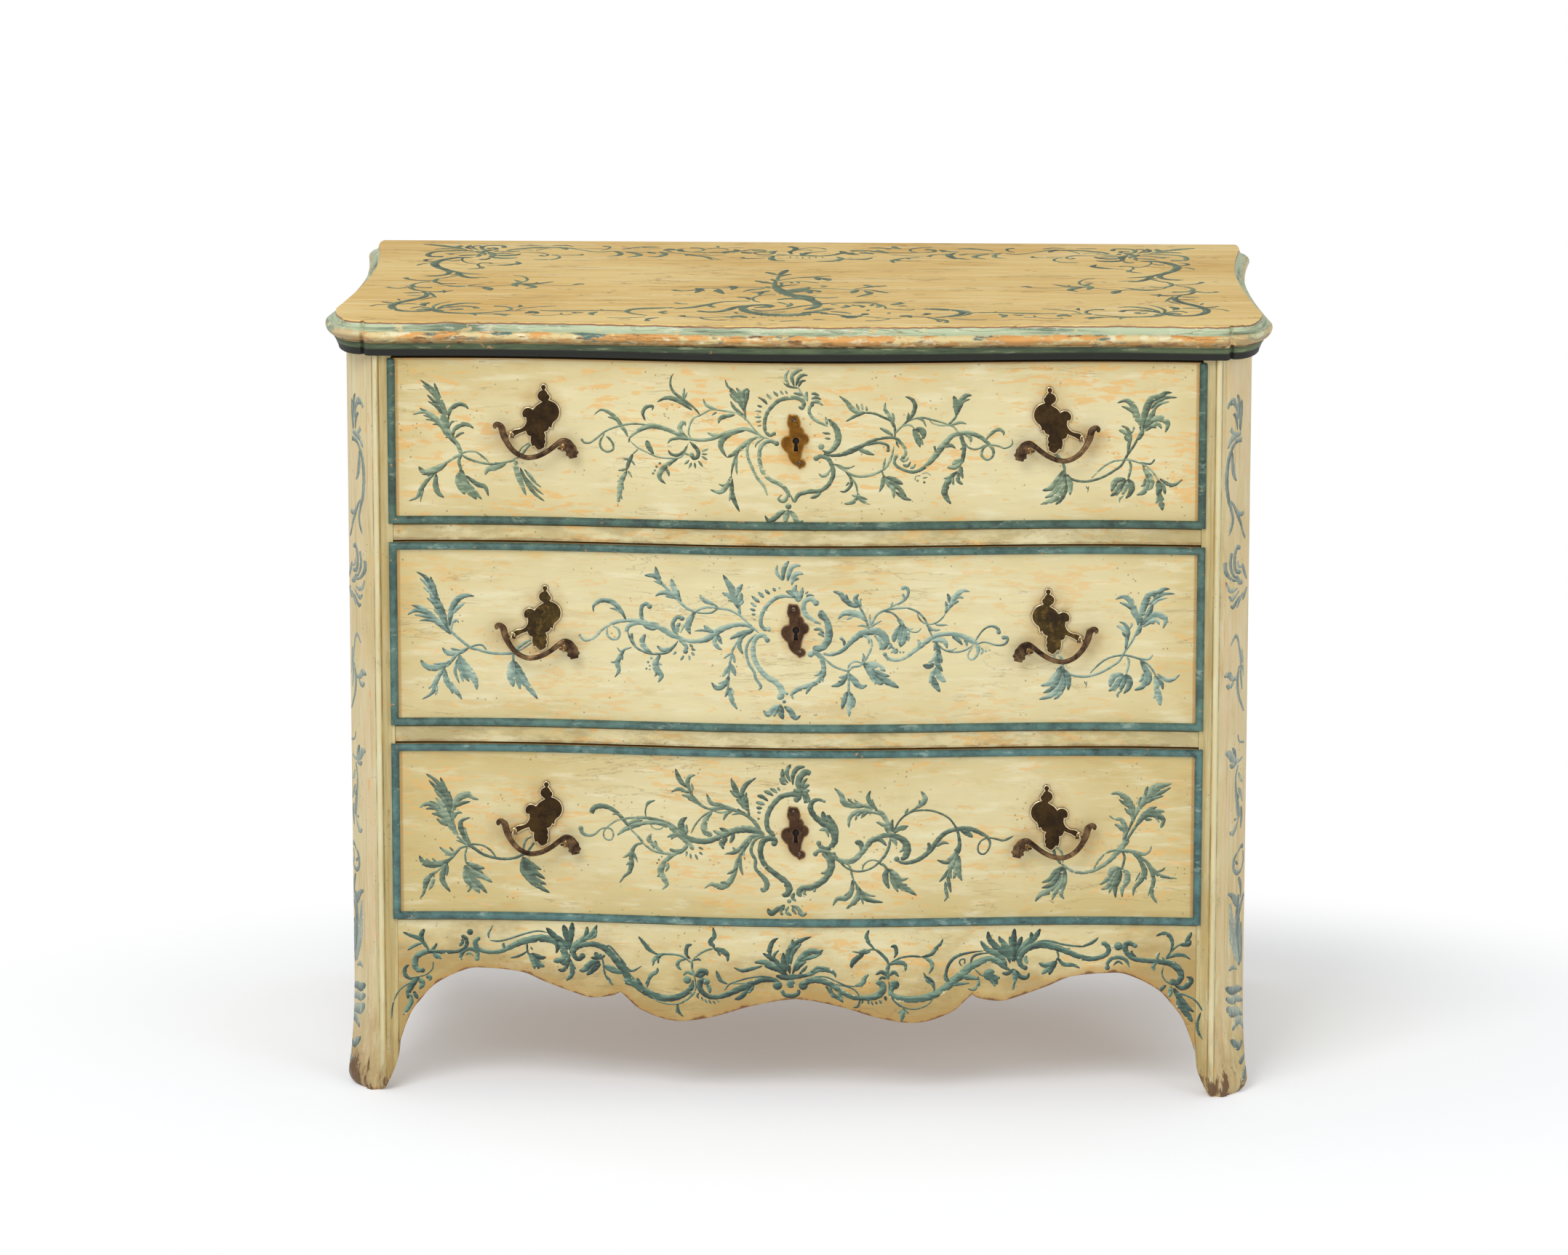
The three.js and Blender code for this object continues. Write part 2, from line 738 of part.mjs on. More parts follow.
function drawerFrontSolid(row) {
  const low = drawerBottoms[row];
  const high = drawerTops[row];
  const half = openingHalf - sideRelief;
  const steps = range(-half, half, bowSteps);
  const face = steps.map((x) => [x, frontY(x)]);
  const back = steps.map((x) => [x, frontY(x) + frontThickness]).reverse();
  const side = sideBead(row, low, high);
  let made = solid(upright([...face, ...back], low, high)).add(side).add(mirrored(side));
  made = made.add(trimmedBar(row, low, 1));
  if (row > 0) made = made.add(trimmedBar(row, high, -1));
  const sockets = tails(row, tailRoot, tailEnd, seat);
  const cut = made.subtract(sockets).subtract(mirrored(sockets)).subtract(solid(floorSolid(row, seat)));
  const recess = solid(facing(keyholePoints(), frontY(0) + keyRecess, keyRecess + overrun));
  return geometryOf(cut.subtract(recess.translate(0, 0, keyholeZ(row))));
}

// A bead bar ends inside the side beads and stays off the posts
function trimmedBar(row, edge, direction) {
  const half = openingHalf - sideRelief;
  const inner = solid(block([-half, half], [-bow - beadHeight * 2, bow], [0, topBottom]));
  const bar = beadBar(row, edge, direction);
  const lapped = openingHalf + beadLip / 2;
  const outside = [-bow - beadHeight * 2, frontY(openingHalf) - seat];
  const lap = solid(block([-lapped, lapped], outside, [0, topBottom]));
  return bar.intersect(inner.add(lap));
}

const keyholeZ = (row) => (drawerBottoms[row] + drawerTops[row]) / 2 + keyholeRises[row];

// A keyhole's outline round the middle of its head, counterclockwise
function keyholePoints() {
  const foot = [
    [-keyholeSlot, -keyholeDrop],
    [keyholeSlot, -keyholeDrop],
  ];
  const neck = Math.asin((keyholeSlot * keyholeNeckShare) / keyholeRadius);
  const head = range(neck - Math.PI / 2, (3 * Math.PI) / 2 - neck, roundSides);
  const points = head.map((angle) => [keyholeRadius * Math.cos(angle), keyholeRadius * Math.sin(angle)]);
  return [...points, ...foot].map(([x, z]) => new THREE.Vector2(x, z));
}

function escutcheonSolid() {
  return facing(arcs(escutcheonShares, escutcheonHeight), -seat, escutcheonThickness, [keyholePoints()]);
}

function lockCaseSolid(row) {
  const height = [keyholeZ(row) - lockDrop, drawerTops[row] - lockTop];
  const case_ = solid(block([-lockHalf, lockHalf], [lockY, lockY + lockDepth], height));
  const half = boltHalf + boltRelief;
  const channel = [boltY - boltRelief, boltY + boltThickness + boltRelief];
  const slot = block([-half, half], channel, [keyholeZ(row) - boltRelief, drawerTops[row]]);
  return geometryOf(case_.subtract(solid(slot)));
}

function boltSolid(row) {
  const height = [keyholeZ(row), drawerTops[row] - boltBelow];
  return block([-boltHalf, boltHalf], [boltY, boltY + boltThickness], height);
}

// Handles are drawn for the left side, flat on the tangent of the front, and mirrored for the right
const handleX = openingHalf * handleShare;
const slope = Math.atan2(frontY(-handleX + weld) - frontY(-handleX - weld), 2 * weld);
const swell = (x) => frontY(-handleX) + x * Math.tan(slope) - frontY(-handleX + x);
const place = ([u, v]) => new THREE.Vector2(u * plateHeight, v * plateHeight);
const outerPost = place(outerPostShare);
const innerPost = place(innerPostShare);
const axisY = -bailStandoff;
const pivots = [outerPost, innerPost].map(({ x, y }) => new THREE.Vector3(x, axisY, y));
const bailAxis = pivots[1].clone().sub(pivots[0]).normalize();

function postRod(at, base) {
  const post = solid(rod(postRadius, new THREE.Vector3(at.x, base, at.y), new THREE.Vector3(at.x, axisY - postTip, at.y)));
  const reach = bailAxis.clone().multiplyScalar(footRadius);
  const middle = new THREE.Vector3(at.x, axisY, at.y);
  return post.subtract(solid(rod(pinRadius + pinRelief, middle.clone().sub(reach), middle.clone().add(reach))));
}

function plateSolid() {
  const back = -swell(outerPost.x) - seat;
  const plate = solid(facing(arcs(plateShares, plateHeight), back, plateThickness));
  return geometryOf(plate.add(postRod(outerPost, back - plateThickness / 2)));
}

function handlePostSolid() {
  const back = -swell(innerPost.x) - seat;
  const from = new THREE.Vector3(innerPost.x, back, innerPost.y);
  const to = new THREE.Vector3(innerPost.x, back - footThickness, innerPost.y);
  return geometryOf(solid(rod(footRadius, from, to)).add(postRod(innerPost, back - footThickness / 2)));
}

function bailSolid() {
  const points = bailShares.map(([u, v, , out]) => {
    return new THREE.Vector3(u * plateHeight, axisY - out * plateHeight, v * plateHeight);
  });
  const curve = new THREE.CatmullRomCurve3(points);
  const widths = new THREE.SplineCurve(bailShares.map(([, , width], at) => new THREE.Vector2(at, width * plateHeight)));
  const rings = range(0, 1, tubeSteps).map((share) => {
    const middle = curve.getPoint(share);
    const tangent = curve.getTangent(share);
    const width = widths.getPoint(share).y;
    const depth = Math.min(width, bailDepth);
    const out = new THREE.Vector3(-tangent.z, 0, tangent.x).normalize();
    return range(0, roundSides - 1, roundSides - 1).map((side) => {
      const angle = (2 * Math.PI * side) / roundSides;
      const point = middle.clone().addScaledVector(out, width * Math.cos(angle));
      return point.add(new THREE.Vector3(0, depth * Math.sin(angle), 0));
    });
  });
  let made = solid(loft(rings, alongZ));
  const outerEnd = pivots[0].clone().addScaledVector(bailAxis, -2 * pinReach);
  const innerEnd = pivots[1].clone().addScaledVector(bailAxis, 2 * pinReach);
  made = made.add(solid(rod(pinRadius, outerEnd, pivots[0].clone().addScaledVector(bailAxis, pinReach))));
  made = made.add(solid(rod(pinRadius, innerEnd, pivots[1].clone().addScaledVector(bailAxis, -pinReach))));
  return geometryOf(made);
}

// The assembly
const chest = new THREE.Group();
chest.position.y = -(topBack + topFront - topBow) / 2;

function put(parent, name, geometry, look) {
  const mesh = new THREE.Mesh(geometry, new THREE.MeshStandardMaterial({ ...look, name }));
  mesh.name = name;
  parent.add(mesh);
  return mesh;
}

put(chest, "top", topSolid(), finishes.ochre);
put(chest, "top_moulding", mouldingSolid(), finishes.dark);
put(chest, "apron", apronSolid(), finishes.cream);
put(chest, "bottom_board", bottomSolid(), finishes.pine);
["upper", "lower"].forEach((name, row) => put(chest, `rail_${name}`, railSolid(row), finishes.cream));

const backMiddle = (backFloor + carcassTop) / 2;
const backY = [carcassBack - backInset - backThickness, carcassBack - backInset];
const backX = [-openingHalf + seat, openingHalf - seat];
put(chest, "back_board_lower", block(backX, backY, [backFloor, backMiddle]), finishes.pine);
put(chest, "back_board_upper", block(backX, backY, [backMiddle + seat, carcassTop]), finishes.pine);

const halves = ["left", "right"].map((side) => {
  const half = new THREE.Group();
  half.scale.x = side === "left" ? 1 : -1;
  chest.add(half);
  return { side, half };
});

// Posts, panels, runners and drawer sides are drawn on +X, so the left half turns them over
halves.forEach(({ side, half }) => {
  const outer = new THREE.Group();
  outer.scale.x = -1;
  half.add(outer);
  const face = frontY(openingHalf);
  put(outer, `front_post_${side}`, postSolid(postPlan, face, postDepth, 1, shoulderHalf), finishes.cream);
  const rear = postSolid(rearPlan, carcassBack, rearPostFront, rearTaperShare, rearHalf);
  put(outer, `rear_post_${side}`, rear, finishes.cream);
  put(outer, `side_panel_${side}`, sidePanelSolid(), finishes.cream);
  ["upper", "lower"].forEach((name, row) => put(outer, `runner_${name}_${side}`, runnerSolid(row), finishes.pine));
  rowNames.forEach((name, row) => {
    put(outer, `drawer_${name}_side_${side}`, drawerSideSolid(row), finishes.pine);
    const handle = new THREE.Group();
    const height = (drawerBottoms[row] + drawerTops[row]) / 2 + handleRises[row];
    handle.position.set(-handleX, frontY(handleX), height);
    handle.rotation.z = slope;
    half.add(handle);
    put(handle, `handle_plate_${name}_${side}`, plateSolid(), finishes.brass);
    put(handle, `handle_post_${name}_${side}`, handlePostSolid(), finishes.brass);
    put(handle, `bail_${name}_${side}`, bailSolid(), finishes.brass);
  });
});

rowNames.forEach((name, row) => {
  put(chest, `drawer_${name}_front`, drawerFrontSolid(row), finishes.cream);
  put(chest, `drawer_${name}_back`, drawerBackSolid(row), finishes.pine);
  put(chest, `drawer_${name}_floor`, floorSolid(row, 0), finishes.pine);
  const escutcheon = put(chest, `escutcheon_${name}`, escutcheonSolid(), finishes.brass);
  escutcheon.position.set(0, frontY(0), keyholeZ(row));
  put(chest, `lock_case_${name}`, lockCaseSolid(row), finishes.iron);
  put(chest, `lock_bolt_${name}`, boltSolid(row), finishes.iron);
});

export default chest;
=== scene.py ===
import math
import random

import bmesh
import bpy
import numpy as np
from bpy.props import FloatProperty, FloatVectorProperty, IntProperty, PointerProperty
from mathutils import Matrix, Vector
from mathutils.geometry import tessellate_polygon


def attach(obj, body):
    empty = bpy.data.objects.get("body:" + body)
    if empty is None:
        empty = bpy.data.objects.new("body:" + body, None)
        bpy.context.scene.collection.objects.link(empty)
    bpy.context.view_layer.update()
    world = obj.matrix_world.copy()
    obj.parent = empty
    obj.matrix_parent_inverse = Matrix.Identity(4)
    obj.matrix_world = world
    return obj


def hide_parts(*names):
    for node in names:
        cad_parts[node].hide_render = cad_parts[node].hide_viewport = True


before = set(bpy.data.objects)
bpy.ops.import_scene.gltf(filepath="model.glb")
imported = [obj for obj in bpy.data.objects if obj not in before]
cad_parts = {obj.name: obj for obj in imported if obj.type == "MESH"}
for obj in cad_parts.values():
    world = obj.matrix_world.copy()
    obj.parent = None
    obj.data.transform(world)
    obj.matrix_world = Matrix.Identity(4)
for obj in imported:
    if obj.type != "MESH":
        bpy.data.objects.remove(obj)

bl_info = {
    "name": "Painted Commode",
    "version": (1, 0, 0),
    "blender": (4, 5, 0),
    "location": "View3D > Sidebar > Commode",
    "description": "Builds the painted looks of a three-drawer commode around its packed frame",
    "category": "Object",
}

MM = 0.001
FRONT_PLANE = -246.0  # of the carcass, in the frame's Y
SEAT = 0.3  # between pieces that bear on each other
SIDES = (("left", -1), ("right", 1))

# Heights and plan, as in the part
ROWS = ("top", "middle", "bottom")
LOWS = (703.0, 455.5, 215.0)
HIGHS = (904.0, 680.5, 433.0)
RAILS = {"upper": (683.0, 702.0), "lower": (435.5, 454.5)}
MOULDING_LOW, MOULDING_HIGH = 908.5, 924.7
CARCASS_TOP = 908.2
TOP_LOW, TOP_THICKNESS = 925.0, 25.0
APRON_TOP = 214.0
EDGE_RISES = (0, 2.0, 5.0, 10.0, 18.0)  # rows of the apron's face over its lower edge
OPENING_HALF = 481.5
BOW, TOP_BOW, FLICK, BOW_SHARE = 23.0, 18.0, 3.0, 0.8
SHOULDER_HALF, SHOULDER_Y, SHOULDER_SWELL = 541.0, 72.0, 1.6
WAIST_HALF, WAIST_Y = 516.5, 345.0
REAR_HALF, REAR_SWELL = 530.0, 1.8
CARCASS_BACK = 530.0
PANEL, APRON_THICKNESS, RAIL_DEPTH = 16.0, 24.0, 60.0
TOP_FRONT, TOP_BACK, SIDE_OVERHANG, EDGE_INSET = -25.0, 535.0, 24.0, 13.0
NOTCH_X, NOTCH_DEPTH = 513.0, 11.0
REAR_CORNER, REAR_CORNER_LENGTH = 18.0, 30.0
NOTCH_STEPS = ((-0.5, 0), (-0.32, 0.1), (-0.15, 0.3), (-0.06, 0.65), (0, 1), (0.1, 1.02), (0.4, 0.75))
EDGE = (
    (1, 1), (0.985, 0.955), (0.95, 0.87), (0.82, 0.75), (0.68, 0.685), (0.54, 0.645), (0.38, 0.62),
    (0.24, 0.6), (0.24, 0.575), (0.14, 0.55), (0.07, 0.51), (0.02, 0.45), (0, 0.38), (0.02, 0.31),
    (0.09, 0.22), (0.18, 0.155), (0.31, 0.115), (0.31, 0.1), (0.58, 0.1), (0.58, 0),
)
MOULDING_INSET, MOULDING_FALL = 10.0, 5.5
MOULDING = ((0, 1), (0, 0.78), (0.25, 0.66), (0.5, 0.47), (0.68, 0.33), (0.86, 0.2), (0.97, 0.08), (1, 0))
FRAME_HALF, FRAME_FRONT, FRAME_BACK = 457.5, 60.0, 492.0
STRIP, RIDGE, RIDGE_HEIGHT, CANT_BULGE = 14.5, 8.0, 3.2, 4.0
POST_DEPTH, HEEL_Y, REAR_POST_FRONT, REAR_ROUND = 84.0, 60.48, 492.0, 9.0
KNEE, TOE_FLARE, REAR_TAPER = 154.0, 5.0, 0.45
FOOT = (
    (0, 0.36, 0.62, -0.8), (0.035, 0.23, 0.54, 0.4), (0.09, 0.11, 0.49, 1), (0.16, 0.045, 0.46, 0.8),
    (0.26, 0, 0.42, 0.4), (0.49, 0, 0.22, 0.05), (0.72, 0, 0.05, 0), (1, 0, 0, 0),
)
APRON_LOBE = (
    (0, 0.81), (0.05, 0.79), (0.125, 0.735), (0.197, 0.662), (0.27, 0.615), (0.325, 0.62), (0.39, 0.695),
    (0.425, 0.79), (0.44, 0.832),
)
APRON_ARCH = (
    (0.44, 0.832), (0.462, 0.8), (0.507, 0.779), (0.54, 0.796), (0.628, 0.893), (0.688, 0.97), (0.777, 1),
    (0.83, 0.987), (0.903, 0.877), (0.945, 0.74), (0.972, 0.617), (1, 0.38),
)
SIDE_EDGE = (
    (0, 0.79), (0.09, 0.94), (0.2, 1), (0.34, 0.94), (0.5, 0.76), (0.66, 0.94), (0.8, 1), (0.91, 0.94),
    (1, 0.79),
)
SLOT_HALF, SLOT_CLEAR, SLOT_DEPTH, SLOT_Y = 9.6, 24.0, 10.0, (5.47, 12.67)

# Drawers
FRONT_THICKNESS, FRONT_HALF = 24.0, 480.5
BEAD_WIDTH, BEAD_HEIGHT, BEAD_LIP, BEAD_RELIEF, BEAD_ROOT = 9.5, 6.0, 5.0, 6.2, -0.5
BEAD_ENDS = ((0.0, 0.55), (0.9, 0.85))  # under the top drawer's upper edge, and the share of the section
BEAD = (
    (0, 0.1), (0.03, 0.35), (0.1, 0.62), (0.22, 0.85), (0.36, 0.97), (0.5, 1), (0.64, 0.93), (0.78, 0.77),
    (0.9, 0.5), (0.97, 0.25), (1, 0),
)
PAINTED_DEPTH = 4.0  # how far the cream reaches round a drawer front
COMB_FRONT, COMB_BACK, COMB_INNER = 6.5, 22.1, 467.7
TAIL_HALF, TAIL_FLARE, TAILS, TAIL_LOW, TAIL_HIGH = 0.3, 4.0, 4, -0.7, -8.0

# Brass
HANDLE_X = 302.0
HANDLE_RISES = (30.0, 21.0, 23.5)
PLATE_HEIGHT, PLATE_THICKNESS, STANDOFF = 82.4, 2.2, 13.0
PLATE = (
    (-0.013, 0.412, 2.3), (0.062, 0.412, 0.15), (0.099, 0.358, 0.5), (0.113, 0.266, 0.71),
    (0.177, -0.075, -0.25), (0.161, -0.167, 0.3), (0.113, -0.156, 0.35), (0.048, -0.22, 0.3),
    (0.054, -0.312, 0.35), (0.048, -0.398, -0.1), (0.054, -0.433, 0.15), (-0.054, -0.5, 0.1),
    (-0.124, -0.435, 0), (-0.151, -0.446, 0.2), (-0.181, -0.29, 0.35), (-0.245, -0.22, -0.05),
    (-0.403, -0.301, 0.1), (-0.457, -0.305, 1), (-0.457, -0.211, 0.2), (-0.376, -0.167, -0.35),
    (-0.242, -0.059, 0), (-0.245, -0.018, 0), (-0.28, -0.014, 0.9), (-0.134, 0.134, 0.2),
    (-0.013, 0.229, 0.75),
)
OUTER_POST, INNER_POST = (-0.457, -0.258), (0.306, -0.435)
BAIL = (
    (-0.665, -0.147, 0.02, 0), (-0.669, -0.111, 0.034, 0), (-0.629, -0.083, 0.04, 0),
    (-0.575, -0.129, 0.048, 0), (-0.551, -0.22, 0.05, 0), (-0.514, -0.312, 0.043, 0.01),
    (-0.441, -0.419, 0.039, 0.03), (-0.344, -0.505, 0.037, 0.04), (-0.215, -0.556, 0.037, 0.045),
    (-0.086, -0.545, 0.037, 0.045), (0.032, -0.498, 0.037, 0.045), (0.14, -0.43, 0.037, 0.035),
    (0.237, -0.355, 0.039, 0.02), (0.317, -0.308, 0.043, 0.005), (0.387, -0.345, 0.062, 0),
    (0.43, -0.43, 0.084, 0), (0.452, -0.505, 0.086, 0), (0.465, -0.559, 0.05, 0),
)
BAIL_DEPTH, PIN_RADIUS, PIN_REACH = 2.3, 1.3, 5.5
KEY_RISES = (7.5, 13.0, 8.0)
ESCUTCHEON_HEIGHT, ESCUTCHEON_THICKNESS = 66.4, 1.5
ESCUTCHEON = (
    (-0.123, 0.485, 0), (0.032, 0.465, 0.15), (0.084, 0.3, 0), (0.077, 0.26, 0.35), (0.147, 0.14, 0.8),
    (0.152, -0.08, -0.1), (0.092, -0.335, 0.95), (0.112, -0.49, 0), (0.062, -0.515, 0), (0.022, -0.465, 0.3),
    (-0.148, -0.23, 0.1), (-0.228, -0.15, 0.65), (-0.123, 0.1, 0), (-0.123, 0.22, 0.25), (-0.153, 0.37, 0.1),
)
KEY_RADIUS, KEY_DROP, KEY_SLOT, KEY_NECK = 4.1, 12.6, 2.7, 1.81
DARK_GROW, DARK_HEIGHTS = 0.6, (-0.2, 0.08)  # the dark of a keyhole is painted shade: a film on the wood behind the hole
PLATE_RIM, PLATE_SUNK, ESCUTCHEON_RIM, ESCUTCHEON_SUNK = 2.2, 0.7, 1.3, 0.3
EYE_REACH, EYE_THICKNESS, EYE_BACK = 2.35, 0.62, 2.2
COLLAR = ((0, 5.0), (0.9, 4.9), (1.5, 4.2), (1.6, 2.2))  # rises and radii at the foot of the inner post
COLLAR_SUNK = 1.2
SCREWS = ((-2.8, 25.5, 0.5), (4.2, -26.5, -0.9))  # across and up from the keyhole, and the slot's turn
SCREW_DOME = ((0.2, 2.7), (0.7, 2.65), (1.1, 2.3), (1.45, 1.6), (1.6, 0.8), (1.62, 0.2))
SLIT_HALF, SLIT_GAP, SLIT_FOOT, SLIT_HEAD = 2.3, 0.28, 1.2, 1.66
HOLE_TONE, PLATE_TONE, POST_TONE, BAIL_TONE = 0.6, 0.75, 0.7, 0.5  # how bright the brass is drawn: partly rubbed brass, partly painted highlight

# Steps along the curves
FRONT_STEPS, EAR_STEPS, SIDE_STEPS, CORNER_STEPS = 44, 25, 30, 12
RIDGE_STEPS, CANT_STEPS, FOOT_STEPS, LOBE_STEPS, ARCH_STEPS, PANEL_STEPS = 9, 15, 56, 60, 78, 96
BOARD_STEPS, COMB_STEPS, BEAD_STEPS, BEAD_RISE_STEPS, BAIL_STEPS = 101, 4, 97, 12, 110

# Stage, in metres and radians
CAMERA_X, CAMERA_Z, CAMERA_TILT, CAMERA_TURN, CAMERA_SHIFT = 0.2487, 2.5597, 0.2203, 0.0310, -0.04
SENSOR_WIDTH = 36.0
LAMPS = (  # name, place, aim, size and share of the key's power
    ("key", (-1.6, -3.6, 4.4), (0.0, 0.0, 0.55), 2.6, 1.0),
    ("fill", (3.4, -4.0, 2.2), (0.0, 0.0, 0.5), 2.2, 0.3),
)
FLOOR_REACH, SHADOW_CENTRE, SHADOW_REACH = 30.0, (0.08, -0.02), (1.0, 0.62)
WHITE = (1.0, 1.0, 1.0, 1.0)


class CommodePaint(bpy.types.PropertyGroup):
    """Colours and wear of the painted surfaces"""

    cream: FloatVectorProperty(name="Cream", description="Ground colour in the middle of the panels",
                               subtype="COLOR", default=(0.70, 0.612, 0.345))
    # The age colour also serves the painted shade that darkens the lower drawers.
    age: FloatVectorProperty(name="Age", description="Ground colour where it has yellowed",
                             subtype="COLOR", default=(0.57, 0.45, 0.19))
    wear: FloatProperty(name="Wear", description="How much paint is rubbed off the scrolls",
                        default=0.5, min=0.0, max=1.0, subtype="FACTOR")
    seed: IntProperty(name="Seed", description="Start of the random choices", default=7)


class CommodeStage(bpy.types.PropertyGroup):
    """Lamps, floor and camera"""

    sky: FloatProperty(name="Sky", description="Strength of the even white light", default=0.58, min=0.0)
    key: FloatProperty(name="Key", description="Power of the large lamp over the front", default=125.0,
                       unit="POWER", min=0.0)
    lens: FloatProperty(name="Lens", description="Focal length in millimetres", default=167.85, min=1.0)
    distance: FloatProperty(name="Distance", description="From the camera to the middle of the chest",
                            default=8.746, unit="LENGTH", min=0.5)


# Shader maths
class Wire:
    """A float output whose sums and products are Math nodes."""

    def __init__(self, look, socket):
        self.look, self.socket = look, socket

    def math(self, operation, *others):
        inputs = dict(enumerate((self, *others)))
        return self.look.node("ShaderNodeMath", {"operation": operation}, inputs)

    def reflected(self, operation, first):
        return self.look.node("ShaderNodeMath", {"operation": operation}, {0: first, 1: self})

    def __add__(self, other): return self.math("ADD", other)
    def __radd__(self, other): return self.math("ADD", other)
    def __sub__(self, other): return self.math("SUBTRACT", other)
    def __rsub__(self, other): return self.reflected("SUBTRACT", other)
    def __mul__(self, other): return self.math("MULTIPLY", other)
    def __rmul__(self, other): return self.math("MULTIPLY", other)
    def __truediv__(self, other): return self.math("DIVIDE", other)
    def __rtruediv__(self, other): return self.reflected("DIVIDE", other)
    def __pow__(self, other): return self.math("POWER", other)
    def __rpow__(self, other): return self.reflected("POWER", other)
    def __abs__(self): return self.math("ABSOLUTE")
    def sine(self): return self.math("SINE")
    def max(self, other): return self.math("MAXIMUM", other)
    def min(self, other): return self.math("MINIMUM", other)

    def ramp(self, low, high):
        """0 below low, 1 above high and smooth between; low may be the larger."""
        start, end = (0.0, 1.0) if low <= high else (1.0, 0.0)
        inputs = {0: self, 1: min(low, high), 2: max(low, high), 3: start, 4: end}
        return self.look.node("ShaderNodeMapRange", {"interpolation_type": "SMOOTHSTEP"}, inputs)


class Nodes:
    """The nodes of a material or of the world."""

    def __init__(self, owner):
        owner.use_nodes = True
        self.tree = owner.node_tree
        self.tree.nodes.clear()

    def node(self, kind, settings=None, inputs=None, out=0):
        node = self.tree.nodes.new(kind)
        for key, value in (settings or {}).items():
            setattr(node, key, value)
        for key, value in (inputs or {}).items():
            if isinstance(value, Wire):
                self.tree.links.new(value.socket, node.inputs[key])
            else:
                node.inputs[key].default_value = value
        return Wire(self, node.outputs[out]) if node.outputs else None


class Look(Nodes):
    """One material and what its finishes are made of."""

    def __init__(self, name):
        self.material = bpy.data.materials.new(name)
        super().__init__(self.material)
        self.place = self.node("ShaderNodeTexCoord", out="Object")
        self.x, self.y, self.z = self.split("ShaderNodeSeparateXYZ", self.place)

    def split(self, kind, source):
        """The outputs of a node that takes a vector or a colour apart."""
        node = self.node(kind, inputs={0: source}).socket.node
        return [Wire(self, socket) for socket in node.outputs]

    def where(self, scale, shift):
        """The place times a scale for each axis, in repeats per metre, and moved by shift."""
        scaled = self.node("ShaderNodeVectorMath", {"operation": "MULTIPLY"}, {0: self.place, 1: scale})
        return self.node("ShaderNodeVectorMath", {"operation": "ADD"}, {0: scaled, 1: shift})

    def noise(self, scale, detail=3.0, roughness=0.55, distortion=0.0, shift=0.0):
        inputs = {"Vector": self.where(scale, (shift, shift * 1.7, shift * 2.3)), "Scale": 1.0,
                  "Detail": detail, "Roughness": roughness, "Distortion": distortion}
        return self.node("ShaderNodeTexNoise", inputs=inputs)

    def cells(self, scale, shift=0.0):
        inputs = {"Vector": self.where(scale, (shift,) * 3), "Scale": 1.0}
        return self.node("ShaderNodeTexVoronoi", inputs=inputs)

    def mix(self, share, first, second, blend="MIX"):
        """Two colours mixed by share; a text is a screen colour."""
        first, second = (rgb(color) if isinstance(color, str) else color for color in (first, second))
        settings = {"data_type": "RGBA", "blend_type": blend}
        return self.node("ShaderNodeMix", settings, {0: share, 6: first, 7: second}, out=2)

    def bright(self, color, value):
        """A colour times a float."""
        grey = self.node("ShaderNodeCombineColor", inputs={0: value, 1: value, 2: value})
        return self.mix(1.0, color, grey, "MULTIPLY")

    def brush(self):
        """The painted tone of a stroke: light side, tip, chance and distance from its middle."""
        color = self.node("ShaderNodeAttribute", {"attribute_name": "brush"}, out="Color")
        across = Wire(self, color.socket.node.outputs["Alpha"])
        return [*self.split("ShaderNodeSeparateColor", color), across]

    def finish(self, color, roughness, height, relief, metallic=0.0):
        """The material with its shader; relief is the height's reach in metres."""
        bump = self.node("ShaderNodeBump", inputs={"Height": height, "Distance": relief, "Strength": 1.0})
        inputs = {"Base Color": color, "Roughness": roughness, "Metallic": metallic, "Normal": bump}
        return self.show(self.node("ShaderNodeBsdfPrincipled", inputs=inputs))

    def show(self, shader):
        self.node("ShaderNodeOutputMaterial", inputs={"Surface": shader})
        return self.material


def rgb(text):
    """A screen colour such as 'E8D9A8' as linear red, green, blue and alpha."""
    values = [int(text[at:at + 2], 16) / 255 for at in (0, 2, 4)]
    return tuple(((v + 0.055) / 1.055) ** 2.4 if v > 0.04045 else v / 12.92 for v in values) + (1.0,)


# Curves and meshes
def spline(points, steps):
    """steps + 1 points along a smooth curve through the given ones."""
    points = np.asarray(points, float)
    last = len(points) - 1
    at = np.linspace(0, last, steps + 1)
    base = np.minimum(at.astype(int), last - 1)
    share = (at - base)[:, None]
    a, b = points[np.maximum(base - 1, 0)], points[base]
    c, d = points[base + 1], points[np.minimum(base + 2, last)]
    start, end = (c - a) / 2, (d - b) / 2
    cubic, square = 2 * b - 2 * c + start + end, -3 * b + 3 * c - 2 * start - end
    return ((cubic * share + square) * share + start) * share + b


def arcs(rows, size, fine=3):
    """Corners joined by arcs: a bulge is an arc's rise over half its chord, outwards on a clockwise outline."""
    made = []
    for at, (x, z, bulge) in enumerate(rows):
        start = Vector((x, z)) * size
        chord = Vector(rows[(at + 1) % len(rows)][:2]) * size - start
        if not bulge:
            made.append(start)
            continue
        along, outward = chord.normalized(), Vector((-chord.y, chord.x)).normalized()
        half = 2 * math.atan(bulge)
        steps = max(2, math.ceil(abs(bulge) * fine * 5))
        radius = chord.length / (2 * math.sin(half))
        for step in range(steps):
            angle = half * (2 * step / steps - 1)
            rise = radius * (math.cos(angle) - math.cos(half))
            made.append(start + chord / 2 + along * radius * math.sin(angle) + outward * rise)
    return np.array([tuple(p) for p in made])


